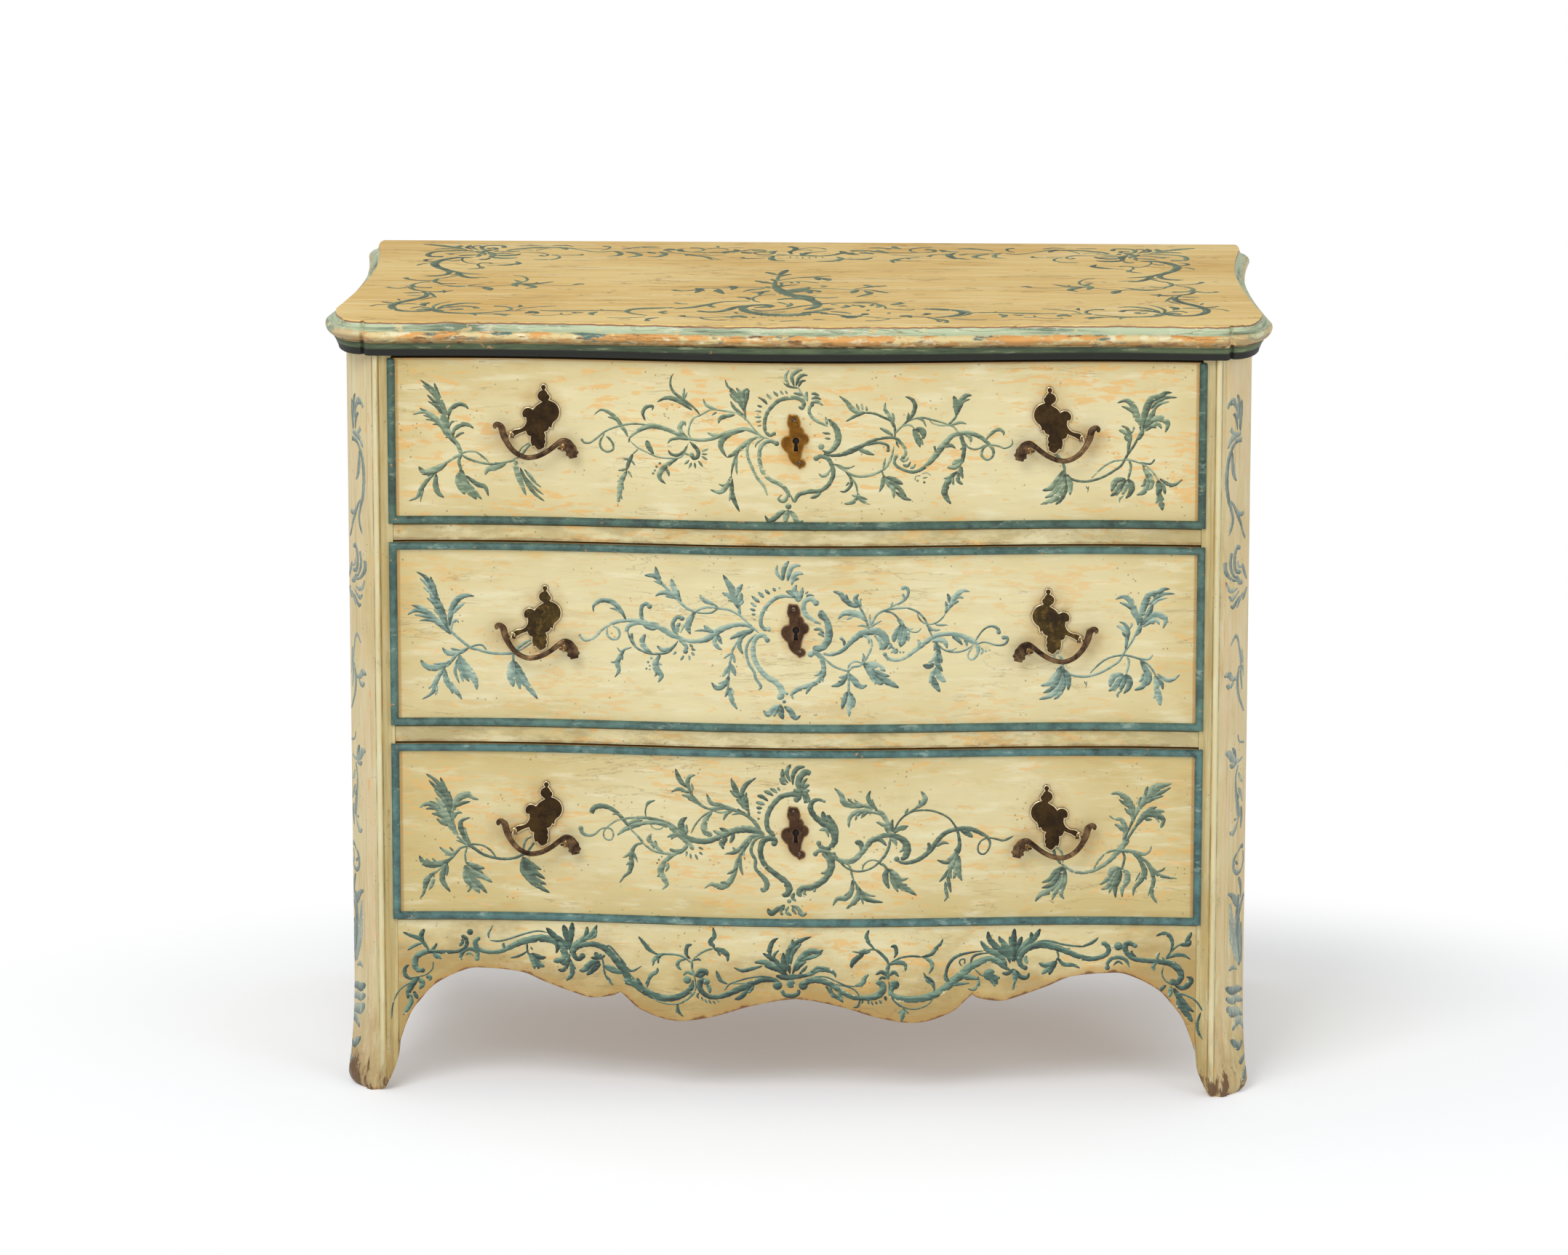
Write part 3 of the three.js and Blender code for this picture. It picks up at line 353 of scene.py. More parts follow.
def drawn_in(outline, by):
    """A clockwise outline moved inwards."""
    before, after = np.roll(outline, 1, 0), np.roll(outline, -1, 0)
    normals = []
    for a, b in ((before, outline), (outline, after)):
        edge = b - a
        edge /= np.maximum(np.linalg.norm(edge, axis=1), 1e-6)[:, None]
        normals.append(np.stack([edge[:, 1], -edge[:, 0]], 1))
    normal = normals[0] + normals[1]
    length = np.maximum(np.linalg.norm(normal, axis=1), 0.9)[:, None]
    return outline + normal / length * by * np.minimum(2 / length, 1.3)


def circle(sides):
    return np.linspace(0, 2 * math.pi, sides, endpoint=False)


def band(a, b, count):
    """Faces between two closed rings of count points that start at a and b."""
    return [(a + i, a + (i + 1) % count, b + (i + 1) % count, b + i) for i in range(count)]


def loft(rings, loop=False):
    """Points and faces of rings joined into one skin, capped unless it is a loop."""
    rings = np.asarray(rings, float)
    count, around = rings.shape[:2]
    faces = []
    for ring in range(count if loop else count - 1):
        faces += band(ring * around, (ring + 1) % count * around, around)
    if not loop:
        faces += [tuple(range(around)), tuple(range((count - 1) * around, count * around))]
    return rings.reshape(-1, 3), faces


def joined(*parts):
    """Several skins as one."""
    points, faces, base = [], [], 0
    for some, their in parts:
        points.append(np.asarray(some, float))
        faces += [tuple(at + base for at in face) for face in their]
        base += len(some)
    return np.concatenate(points), faces


def turned(profile, sides=20):
    """A skin turned round Y from rows of distance towards the front and radius."""
    return loft([[(r * math.cos(a), -d, r * math.sin(a)) for a in circle(sides)] for d, r in profile])


class Pen:
    """Builds meshes that ride on one body."""

    def __init__(self, body):
        self.body = body

    def build(self, name, skin, material, replaced=(), slot=None, sharp=0.0, bevel=0.0, tones=None,
              weld=True):
        """tones holds a float, or red, green, blue and alpha, for each point; materials read it as brush."""
        points, faces = skin
        mesh = bpy.data.meshes.new(name)
        mesh.from_pydata(((np.asarray(points) + (0, FRONT_PLANE, 0)) * MM).tolist(), [], faces)
        if tones is not None:
            tones = [(tone, tone, tone, 1.0) if np.isscalar(tone) else tone for tone in tones]
            layer = mesh.color_attributes.new("brush", "FLOAT_COLOR", "POINT")
            layer.data.foreach_set("color", np.array(tones, np.float32).ravel())
        work = bmesh.new()
        work.from_mesh(mesh)
        if weld:
            bmesh.ops.remove_doubles(work, verts=work.verts, dist=1e-6)
            bmesh.ops.dissolve_degenerate(work, edges=work.edges, dist=1e-7)
            bmesh.ops.recalc_face_normals(work, faces=work.faces)
        work.to_mesh(mesh)
        work.free()
        mesh.materials.append(material)
        mesh.shade_smooth()
        if sharp:
            mesh.set_sharp_from_angle(angle=math.radians(sharp))
        made = bpy.data.objects.new(name, mesh)
        bpy.context.scene.collection.objects.link(made)
        if bevel:
            soften(made, bevel)
        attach(made, self.body)
        if replaced:
            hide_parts(*replaced)
        return made


def soften(piece, width):
    bevel = piece.modifiers.new("Edges", "BEVEL")
    bevel.width, bevel.segments, bevel.limit_method = width * MM, 2, "ANGLE"
    bevel.angle_limit = math.radians(40)


# Forms shared by several pieces
def front_y(x, depth=BOW):
    """The front in plan: bowed in the middle, hollow towards the posts."""
    share = np.minimum(np.abs(x) / OPENING_HALF, 1)
    bowed = -depth * (1 + np.cos(np.pi * share / BOW_SHARE)) / 2
    return np.where(share < BOW_SHARE, bowed, -FLICK * ((share - BOW_SHARE) / (1 - BOW_SHARE)) ** 2)


def side_x(y):
    """The side in plan: half the carcass's width."""
    front = np.clip((WAIST_Y - np.asarray(y, float)) / (WAIST_Y - SHOULDER_Y), 0, 1) ** SHOULDER_SWELL
    rear = np.clip((np.asarray(y, float) - WAIST_Y) / (CARCASS_BACK - WAIST_Y), 0, 1) ** REAR_SWELL
    return WAIST_HALF + (SHOULDER_HALF - WAIST_HALF) * front + (REAR_HALF - WAIST_HALF) * rear


def top_outline(inset, depth=TOP_BOW):
    """The outline of the top, from the middle of the front round to the middle again."""
    start = NOTCH_X + NOTCH_STEPS[0][0] * NOTCH_DEPTH
    by_slot = [0, SLOT_HALF / 2, SLOT_HALF, SLOT_HALF]
    xs = np.concatenate([by_slot, np.linspace(SLOT_CLEAR, start, FRONT_STEPS)])
    half = [(x, TOP_FRONT + float(front_y(x, depth)) + inset) for x in xs]
    edge = TOP_FRONT + float(front_y(start, depth))
    half += [(NOTCH_X + u * NOTCH_DEPTH, edge + v * NOTCH_DEPTH + inset) for u, v in NOTCH_STEPS[1:]]
    ear_x, ear_y = NOTCH_X + NOTCH_STEPS[-1][0] * NOTCH_DEPTH, edge + NOTCH_STEPS[-1][1] * NOTCH_DEPTH
    width = SHOULDER_HALF + SIDE_OVERHANG - ear_x
    for angle in np.linspace(-math.pi / 2, 0, EAR_STEPS)[1:]:
        half.append((ear_x + (width - inset) * math.cos(angle),
                     SHOULDER_Y + (SHOULDER_Y - ear_y - inset) * math.sin(angle)))
    corner_y = TOP_BACK - REAR_CORNER_LENGTH
    half += [(float(side_x(y)) + SIDE_OVERHANG - inset, y)
             for y in np.linspace(SHOULDER_Y, corner_y, SIDE_STEPS)[1:]]
    corner_x = float(side_x(corner_y)) + SIDE_OVERHANG - REAR_CORNER
    for angle in np.linspace(0, math.pi / 2, CORNER_STEPS)[1:]:
        half.append((corner_x + (REAR_CORNER - inset) * math.cos(angle),
                     corner_y + REAR_CORNER_LENGTH * math.sin(angle)))
    return np.array(half + [(-x, y) for x, y in half[:0:-1]])


def level(outline, z):
    return np.column_stack([outline, np.full(len(outline), z)])


def top_skin():
    return loft([level(top_outline(u * EDGE_INSET), TOP_LOW + v * TOP_THICKNESS) for u, v in EDGE])


def moulding_skin():
    """The strip under the top: a frame with a slot for the uppermost lock's bolt."""
    shells = []
    for inset, height in MOULDING:
        outline = top_outline(MOULDING_INSET + inset * MOULDING_FALL, BOW)
        outline[:, 1] = np.minimum(outline[:, 1], CARCASS_BACK)
        shells.append(level(outline, MOULDING_LOW + height * (MOULDING_HIGH - MOULDING_LOW)))
    outer = shells[-1]
    inner = np.column_stack([np.clip(outer[:, 0], -FRAME_HALF, FRAME_HALF),
                             np.clip(outer[:, 1], FRAME_FRONT, FRAME_BACK), outer[:, 2]])
    over = inner.copy()
    over[:, 2] = MOULDING_HIGH
    slot, count = [], len(outer)
    # The outline starts in the middle of the slot: the three first and the two last places lie over it
    inside = [at in (0, 1, 2, count - 1, count - 2) for at in range(count)]
    by_slot = (np.abs(outer[:, 0]) <= SLOT_HALF + 0.01) & (outer[:, 1] < FRAME_FRONT)
    near, far = SLOT_Y
    for y, deep, share in ((near, 0, 0.6), (near, 1, 0.6), (far, 1, 0.3), (far, 0, 0.3)):
        ring = inner + (outer - inner) * share
        ring[by_slot, 1] = y
        ring[:, 2] = [MOULDING_LOW + (SLOT_DEPTH if deep and here else 0) for here in inside]
        slot.append(ring)
    return loft(np.stack([*shells, *slot, inner, over], 1), loop=True)


def slotted(half):
    """Places across the front, two of them at each side of the bolt's slot, and which lie in the slot."""
    outer = np.linspace(SLOT_HALF, half, FRONT_STEPS)
    right = np.concatenate([[0, SLOT_HALF], outer])
    inside = [True, True] + [False] * len(outer)
    return np.concatenate([-right[:0:-1], right]), inside[:0:-1] + inside


def rail_skin(low, high):
    rings = []
    for x, inside in zip(*slotted(OPENING_HALF - SEAT)):
        face, top = float(front_y(x)), low + (SLOT_DEPTH if inside else 0)
        section = ((face, low), (face, high), (RAIL_DEPTH, high), (RAIL_DEPTH, low),
                   (SLOT_Y[1], low), (SLOT_Y[1], top), (SLOT_Y[0], top), (SLOT_Y[0], low))
        rings.append([(x, y, z) for y, z in section])
    return loft(rings)


def post_plan():
    """A front post seen from above: the strip by the drawers, the ridge, the cant and the inner sides."""
    face = float(front_y(OPENING_HALF))
    strip = OPENING_HALF + STRIP
    ridge = [(strip + RIDGE * (1 - math.cos(a)) / 2, face - RIDGE_HEIGHT * math.sin(a))
             for a in np.linspace(0, math.pi, RIDGE_STEPS)[1:-1]]
    start = np.array((strip + RIDGE, face))
    chord = np.array((SHOULDER_HALF, SHOULDER_Y)) - start
    outward = np.array((chord[1], -chord[0])) / np.linalg.norm(chord)
    cant = [tuple(start + chord * s + outward * 4 * CANT_BULGE * s * (1 - s))
            for s in np.linspace(0, 1, CANT_STEPS)]
    heel = float(side_x(POST_DEPTH)) - PANEL
    return [(OPENING_HALF, face), (OPENING_HALF + STRIP / 2, face), (strip, face), *ridge, *cant,
            (float(side_x(POST_DEPTH)), POST_DEPTH), (heel, POST_DEPTH), (OPENING_HALF, HEEL_Y)]


def rear_plan():
    """A rear post seen from above, with its outer corner rounded."""
    corner = [(REAR_HALF - REAR_ROUND * (1 - math.cos(a)), CARCASS_BACK - REAR_ROUND * (1 - math.sin(a)))
              for a in np.linspace(math.pi / 2, 0, 6)]
    sides = [(float(side_x(y)), y) for y in (512.0, 502.0, REAR_POST_FRONT)]
    return [(OPENING_HALF, REAR_POST_FRONT), (OPENING_HALF, CARCASS_BACK), *corner, *sides]


def post_skin(plan, still, moving, taper, outer, side):
    """A post over its tapered foot, which keeps to the face at still and draws in from the face at moving."""
    levels = np.vstack([spline(FOOT, FOOT_STEPS), [(CARCASS_TOP / KNEE, 0, 0, 0)]])
    rings = []
    for height, inner, back, flare in levels:
        ring = []
        for x, y in plan:
            out = flare * TOE_FLARE
            push = out if flare > 0 or x > (OPENING_HALF + outer) / 2 else 0
            across = outer - (outer - x) * (1 - inner) + push
            swing = math.copysign(out, out * (still - moving)) / 2
            ring.append((side * across, still + (y - still) * (1 - back * taper) + swing, height * KNEE))
        rings.append(ring)
    return loft(rings)


def edge_heights(shares, width, steps):
    return spline([(u * width, v * KNEE) for u, v in shares], steps)


def apron_edge():
    lobe = edge_heights(APRON_LOBE, OPENING_HALF, LOBE_STEPS)
    half = np.vstack([lobe, edge_heights(APRON_ARCH, OPENING_HALF - SEAT, ARCH_STEPS)[1:]])
    return np.vstack([half[:0:-1] * (-1, 1), half])


def panel_skin(side):
    start = POST_DEPTH + SEAT
    rings = []
    for u, z in edge_heights(SIDE_EDGE, REAR_POST_FRONT - SEAT - start, PANEL_STEPS):
        y, outer = start + u, float(side_x(start + u))
        rings.append([(side * outer, y, CARCASS_TOP), (side * outer, y, z),
                      (side * (outer - PANEL), y, z), (side * (outer - PANEL), y, CARCASS_TOP)])
    return loft(rings)


# Drawers
def keyhole(grow=0.0):
    """Outline of a keyhole round the middle of its head, clockwise."""
    radius, slot = KEY_RADIUS + grow, KEY_SLOT + grow
    neck = math.asin((KEY_NECK + grow) / radius)
    angles = np.linspace(1.5 * math.pi - neck, neck - math.pi / 2, 21)
    points = [(radius * math.cos(a), radius * math.sin(a)) for a in angles]
    return np.array(points + [(slot, -KEY_DROP - grow), (-slot, -KEY_DROP - grow)])


def board_skin(row):
    """A drawer front with a comb of pins between the dovetails at each end."""
    low, high = LOWS[row], HIGHS[row]

    def slab(start, end, steps, flat=None):
        """A stretch of the board; flat is its back where that doesn't follow the bow."""
        rings = []
        for x in np.linspace(start, end, steps):
            face = float(front_y(x))
            back = face + FRONT_THICKNESS if flat is None else flat
            rings.append([(x, face, low), (x, face, high), (x, back, high), (x, back, low)])
        return loft(rings)

    parts = [slab(-COMB_INNER, COMB_INNER, BOARD_STEPS)]
    foot, head = low + TAIL_LOW, high + TAIL_HIGH
    pitch = (head - foot) / TAILS
    reach = pitch * TAIL_HALF + SEAT
    for side in (-1, 1):
        parts.append(slab(side * COMB_INNER, side * FRONT_HALF, COMB_STEPS, COMB_FRONT))
        for at in range(TAILS + 1):
            under, over = foot + pitch * (at - 0.5), foot + pitch * (at + 0.5)
            root = [max(under + reach, low), min(over - reach, high)]
            end = [max(under + reach + TAIL_FLARE, low), min(over - reach - TAIL_FLARE, high)]
            if at == TAILS:
                root[1] = end[1] = high
            section = ((COMB_FRONT, end[0]), (COMB_FRONT, end[1]), (COMB_BACK, root[1]), (COMB_BACK, root[0]))
            parts.append(loft([[(side * x, y, z) for y, z in section] for x in (COMB_INNER, FRONT_HALF)]))
    return joined(*parts)


def bead_skin(row):
    """The half-round bead, mitred at its corners; the top drawer's is open above."""
    low, high, outer = LOWS[row], HIGHS[row], OPENING_HALF + BEAD_LIP
    section = [(u * BEAD_WIDTH, v * BEAD_HEIGHT) for u, v in BEAD]
    section += [(BEAD_WIDTH, BEAD_ROOT), (BEAD_RELIEF, BEAD_ROOT), (BEAD_RELIEF, SEAT), (0, SEAT)]
    inside, mid, clear = OPENING_HALF - BEAD_LIP, BEAD_WIDTH / 2, BEAD_WIDTH + 2
    across = np.linspace(-inside, inside, BEAD_STEPS)
    rise = np.linspace(low + clear, high - (clear if row else 2), BEAD_RISE_STEPS)

    def ring(place, shrink=1.0):
        """The section with place(u) for each of its points; shrink rounds off an open end."""
        made = [(*place(u), h * (shrink if h > SEAT else 1)) for u, h in section]
        return [(x, float(front_y(x)) - h, z) for x, z, h in made]

    def upright(side, z, shrink=1.0):
        return ring(lambda u: (side * (outer - mid - (u - mid) * shrink), z), shrink)

    def level_run(z, up):
        """The run across, from its left corner to its right one."""
        left, right = (ring(lambda u: (side * (outer - u), z + up * u)) for side in (-1, 1))
        return [left, *(ring(lambda u: (x, z + up * u)) for x in across), right]

    rings = [upright(-1, z) for z in rise[::-1]] + level_run(low, 1) + [upright(1, z) for z in rise]
    if row:
        return loft(rings + level_run(high, -1)[::-1], loop=True)
    start = [upright(-1, high - drop, share) for drop, share in BEAD_ENDS]
    finish = [upright(1, high - drop, share) for drop, share in BEAD_ENDS[::-1]]
    return loft(start + rings + finish)


# Brass
def plated(outline, back, thickness, rim, sunk, hole=None):
    """A cast plate: a rounded raised rim round a sunk face. Returns its skin and how bright each point is
    drawn, brightest on the rim's crest: partly rubbed brass, partly painted highlight.
    """
    steps = ((0, 0, 0), (0, thickness * 0.62, 0.35), (rim * 0.14, thickness * 0.86, 0.8),
             (rim * 0.4, thickness, 1), (rim * 0.62, thickness * 0.98, 0.7),
             (rim * 0.85, thickness - sunk * 0.7, 0.15), (rim, thickness - sunk, 0))
    rings = [[(x, back - h, z) for x, z in drawn_in(outline, by)] for by, h, _ in steps]
    count, points, faces = len(outline), np.concatenate(rings), []
    for ring in range(len(rings) - 1):
        faces += band(ring * count, (ring + 1) * count, count)
    tones = [tone for _, _, tone in steps for _ in outline]
    base = (len(rings) - 1) * count
    if hole is None:
        faces += [tuple(range(base, base + count)), tuple(range(count))]
        return (points, faces), tones
    size, near = len(hole), len(points)
    far = near + size
    points = np.vstack([points, *([(x, y, z) for x, z in hole] for y in (back - thickness + sunk, back))])
    tones += [HOLE_TONE] * size + [0.0] * size
    loops = [[Vector((x, z, 0)) for x, _, z in rings[-1]], [Vector((x, z, 0)) for x, z in hole]]
    for shift, inner in ((base, near), (0, far)):
        for face in tessellate_polygon(loops):
            faces.append(tuple(at + shift if at < count else at - count + inner for at in face))
    return (points, faces + band(near, far, size)), tones


def tube(middles, widths, depths, sides=16):
    """A bar round a curve, with its half width and its half depth at each step."""
    tangents = np.gradient(middles, axis=0)
    rings = []
    for middle, tangent, width, depth in zip(middles, tangents, widths, depths):
        out = np.array((-tangent[2], 0, tangent[0]))
        out /= max(np.linalg.norm(out), 1e-6)
        rings.append([middle + out * width * math.cos(a) + np.array((0, depth * math.sin(a), 0))
                      for a in circle(sides)])
    return loft(rings)


def spokes(along, sides):
    """Directions at right angles to a rod, all round it."""
    one = np.cross(along, (0, 1, 0))
    one /= np.linalg.norm(one)
    two = np.cross(along, one)
    return [one * math.cos(a) + two * math.sin(a) for a in circle(sides)]


def rod(start, end, radius, sides=14):
    """A round pin with its ends broken."""
    along = (end - start) / np.linalg.norm(end - start)
    inset = along * radius * 0.25
    rings = ((start, 0.75), (start + inset, 1), (end - inset, 1), (end, 0.75))
    return loft([[middle + out * radius * share for out in spokes(along, sides)] for middle, share in rings])


def eye(centre, axis):
    """The ring at the end of a handle post, round the bail's pin."""
    section = [(EYE_REACH + EYE_THICKNESS * math.cos(b), EYE_THICKNESS * 1.5 * math.sin(b))
               for b in circle(8)]
    return loft([[centre + out * r + axis * t for r, t in section] for out in spokes(axis, 24)], loop=True)


def placed(skin, at):
    """A skin set at a place across and up."""
    return skin[0] + (at[0], 0, at[2]), skin[1]


def moved(skin, centre, angle=0.0, mirror=False):
    """A skin turned about Z, set at a place and turned over for the right side."""
    points = np.asarray(skin[0], float).copy()
    c, s = math.cos(angle), math.sin(angle)
    points[:, :2] = points[:, :2] @ np.array(((c, s), (-s, c)))
    points += centre
    if mirror:
        points[:, 0] *= -1
    return points, skin[1]


def slope():
    """How far the front turns in plan at the left handles."""
    step = 0.001
    return math.atan2(float(front_y(-HANDLE_X + step) - front_y(-HANDLE_X - step)), 2 * step)


def swell(x):
    """How far the front stands out past the handle's own plane at x from its middle."""
    return float(front_y(-HANDLE_X)) + x * math.tan(slope()) - float(front_y(-HANDLE_X + x))


def pivots():
    """The ends of the line that a bail swings about, and the direction from one to the other."""
    one, two = (np.array((u * PLATE_HEIGHT, -STANDOFF, v * PLATE_HEIGHT))
                for u, v in (OUTER_POST, INNER_POST))
    return one, two, (two - one) / np.linalg.norm(two - one)


def post_shape(at, base):
    """A turned post from base to the eye round the bail's axis."""
    length = STANDOFF - EYE_BACK - base
    profile = ((base, 3.6), (base + 0.9, 3.5), (base + 1.3, 2.6), (base + 2.2, 2.2), (base + 2.8, 2.5),
               (base + 3.4, 2.2), (base + length * 0.7, 1.8), (base + length, 1.6),
               (base + length + 0.3, 0.9))
    return placed(turned(profile), at)


def bail_shape():
    """A bar that thins from a curl at its outer end to a leaf at its inner one, with a pin at each post."""
    curve = spline([(u * PLATE_HEIGHT, -STANDOFF - out * PLATE_HEIGHT, v * PLATE_HEIGHT, w * PLATE_HEIGHT)
                    for u, v, w, out in BAIL], BAIL_STEPS)
    share = np.linspace(0, 1, len(curve))
    widths = curve[:, 3].copy()
    leaf = np.clip((share - 0.8) / 0.2, 0, 1)
    curl = np.clip((0.3 - share) / 0.3, 0, 1)
    widths *= 1 + 0.16 * leaf * np.sin(leaf * 21) + 0.1 * curl * np.sin(curl * 19)
    depths = np.minimum(widths, BAIL_DEPTH) * (1 - 0.25 * leaf)
    one, two, along = pivots()
    reach = along * PIN_REACH
    return joined(tube(curve[:, :3], widths, depths), rod(one - reach * 2, one + reach, PIN_RADIUS),
                  rod(two - reach, two + reach * 2, PIN_RADIUS))


# Paint. Places in it are in metres
PINE_BOARDS = (1.6, 1.6, 11), (14, 14, 420)  # scales of the rings and of the fibres
PINE_FLOORS = (1.6, 9, 9), (14, 380, 380)
EDGE_BANDS = (0.9495, 0.9478, 0.9405, 0.9285)  # heights where the painted bands of the top's edge begin
RAIL_FEET = (0.6848, 0.4372)  # heights of the dirt on the rails
GROOVES = ((0.4967, 0.0011), (0.5046, 0.0012))  # at the posts' ridge, where painted shade darkens the creases: from the middle, and half the width


def cream(look, yellowing_and_shade, along="x", patches=1.0):
    """Cream ground: its colour, roughness and height. Its second argument runs from 0 to 1 where the paint has
    yellowed; on the drawer fronts it also carries painted shade that darkens and yellows the lower drawers.
    """
    paint = bpy.context.scene.commode_paint

    def pulled(fine, wide):
        return (wide, fine, fine) if along == "x" else (fine, fine, wide)

    cloud = look.noise((5, 5, 7), detail=4.0, shift=3.0)
    drag = look.noise(pulled(150, 6), detail=5.0, roughness=0.7)
    yellow = (yellowing_and_shade + (cloud - 0.5) * 1.5 + (drag - 0.5) * 0.6).ramp(0.0, 1.0)
    color = look.mix(yellow, (*paint.cream, 1), (*paint.age, 1))
    color = look.bright(color, 0.86 + drag * 0.28)
    pale = look.noise(pulled(95, 16), detail=5.0, shift=23.0)
    color = look.mix(pale.ramp(0.5, 0.72) * 0.4, color, "E8E4C4")
    peach = look.noise(pulled(150, 34), detail=5.0, roughness=0.6, distortion=0.4, shift=11.0)
    cluster = look.noise((7, 7, 13), detail=3.0, shift=13.0) - 0.5
    color = look.mix((peach + cluster * 0.45).ramp(0.57, 0.63) * 0.62 * patches, color, "E0AC5E")
    ochre = look.noise(pulled(48, 12), detail=6.0, roughness=0.72, shift=31.0)
    color = look.mix((ochre + yellowing_and_shade * 0.1).ramp(0.56, 0.74) * 0.34, color, "BC9A58")
    line = abs(look.noise(pulled(34, 4), detail=6.0, roughness=0.6, distortion=0.6, shift=41.0) - 0.5)
    crack = line.ramp(0.006, 0.0) * look.noise((9, 9, 9), shift=47.0).ramp(0.5, 0.6)
    color = look.mix(crack * 0.4, color, "8A6838")
    dust_and_shade = look.cells((130, 130, 130), shift=5.0).ramp(0.2, 0.1)
    dust_and_shade = dust_and_shade * look.noise((24, 24, 24), shift=53.0).ramp(0.52, 0.6)
    color = look.mix(dust_and_shade * 0.6, color, "7A5A30")
    height = drag * 0.5 + pale * 0.3 - crack * 0.25 - dust_and_shade * 0.25
    return color, 0.46 + drag * 0.22, height


def near_edge(look, low, high, half, reach):
    """1 at the edges of a panel seen from the front, 0 inside it; reach in metres."""
    side = (half * MM - abs(look.x)).ramp(reach, 0.0)
    foot = (look.z - low * MM).ramp(reach, 0.0)
    head = (high * MM - look.z).ramp(reach, 0.0)
    return side.max(foot).max(head)


def spot(look, x, z, wide, tall):
    """1 at a place on the front and 0 outside an oval round it; all in millimetres."""
    u, v = (look.x - x * MM) / (wide * MM), (look.z - z * MM) / (tall * MM)
    return (u * u + v * v).ramp(1.0, 0.15)


def pine(look, ring_scale, fibre_scale):
    """Old pine: year rings and fibres drawn out along the grain, a few knots and a dusty grey film."""
    ring = look.noise(ring_scale, detail=3.0, distortion=0.8)
    year = abs((ring * 46).sine())
    cloud = look.noise((3, 3, 9), detail=3.0, shift=5.0)
    fibre = look.noise(fibre_scale, detail=4.0, roughness=0.7, shift=8.0)
    color = look.mix(cloud.ramp(0.35, 0.65), "B8925F", "A07A48")
    color = look.mix((year * 0.55 + fibre * 0.55).ramp(0.42, 1.0) * 0.75, color, "7C5830")
    knot = look.cells((4, 4, 6), shift=2.0).ramp(0.1, 0.05)
    color = look.mix(knot * 0.85, color, "4F3016")
    film = look.noise((7, 7, 7), detail=5.0, shift=13.0)
    return look.mix(film.ramp(0.45, 0.7) * 0.4, color, "7F6F58"), fibre, year


def pine_look(name, ring_scale, fibre_scale):
    look = Look(name)
    color, fibre, year = pine(look, ring_scale, fibre_scale)
    return look.finish(color, 0.6 + fibre * 0.25, fibre + year * 0.3, 0.0005)


def front_paint(row):
    look = Look(f"cream_drawer_{ROWS[row]}")
    low, high = LOWS[row], HIGHS[row]
    middle = (low + high) / 2
    broad = near_edge(look, low, high, FRONT_HALF, 0.07)
    fine = near_edge(look, low + 7, high - (7 if row else 0), FRONT_HALF - 5, 0.005)
    far = abs(look.x).ramp(0.2, 0.47)
    left = look.x.ramp(-0.2, -0.46) * (0.12, 0.05, 0.0)[row]
    # The last term, larger on lower rows, is painted shade: the lower drawers are drawn darker and yellower as
    # if lit less from above.
    yellowing_and_shade = broad * 0.36 + left + far * (0.25, 0.15, 0.3)[row] + (0.03, 0.1, 0.34)[row]
    color, rough, height = cream(look, yellowing_and_shade, patches=(1.0, 0.6, 0.8)[row])
    rim = (look.noise((60, 60, 60), detail=4.0, shift=61.0) - 0.5) * 0.5
    color = look.mix((fine + rim * fine).ramp(0.3, 0.95) * 0.6, color, "A9742C")
    halo = spot(look, 0, middle + KEY_RISES[row] - 4, 24, 42)
    for side in (-1, 1):
        halo = halo.max(spot(look, side * (HANDLE_X + 20), middle + HANDLE_RISES[row] - 26, 66, 30))
        halo = halo.max(spot(look, side * HANDLE_X, middle + HANDLE_RISES[row] + 4, 34, 52))
    smudge = look.noise((45, 45, 60), detail=4.0, shift=71.0)
    color = look.mix(halo * (smudge * 0.9).ramp(0.15, 0.6) * 0.45, color, "B48B48")
    # Inside the box the board is bare
    inner = (look.brush()[0] + (smudge - 0.5) * 0.2).ramp(0.5, 0.56)
    color = look.mix(inner, color, pine(look, *PINE_BOARDS)[0])
    return look.finish(color, rough, height, 0.0006)


def worn_foot(look, color):
    """Grime that thickens towards the toes, and bare wood on them."""
    low = look.z.ramp(0.2, 0.0)
    grime = look.noise((16, 16, 9), detail=5.0, roughness=0.65, shift=81.0)
    color = look.mix((grime + low * 0.42).ramp(0.66, 1.02) * 0.7, color, "8C6A34")
    bare = look.noise((70, 70, 20), detail=6.0, roughness=0.65, shift=83.0)
    return look.mix((bare + look.z.ramp(0.075, 0.0) * 0.24).ramp(0.68, 0.76) * 0.9, color, "5E3D1E")


def side_paint():
    look = Look("cream_sides")
    color, rough, height = cream(look, look.z.ramp(0.2, 0.0) * 0.4 + 0.25, "z")
    return look.finish(worn_foot(look, color), rough, height, 0.0007)


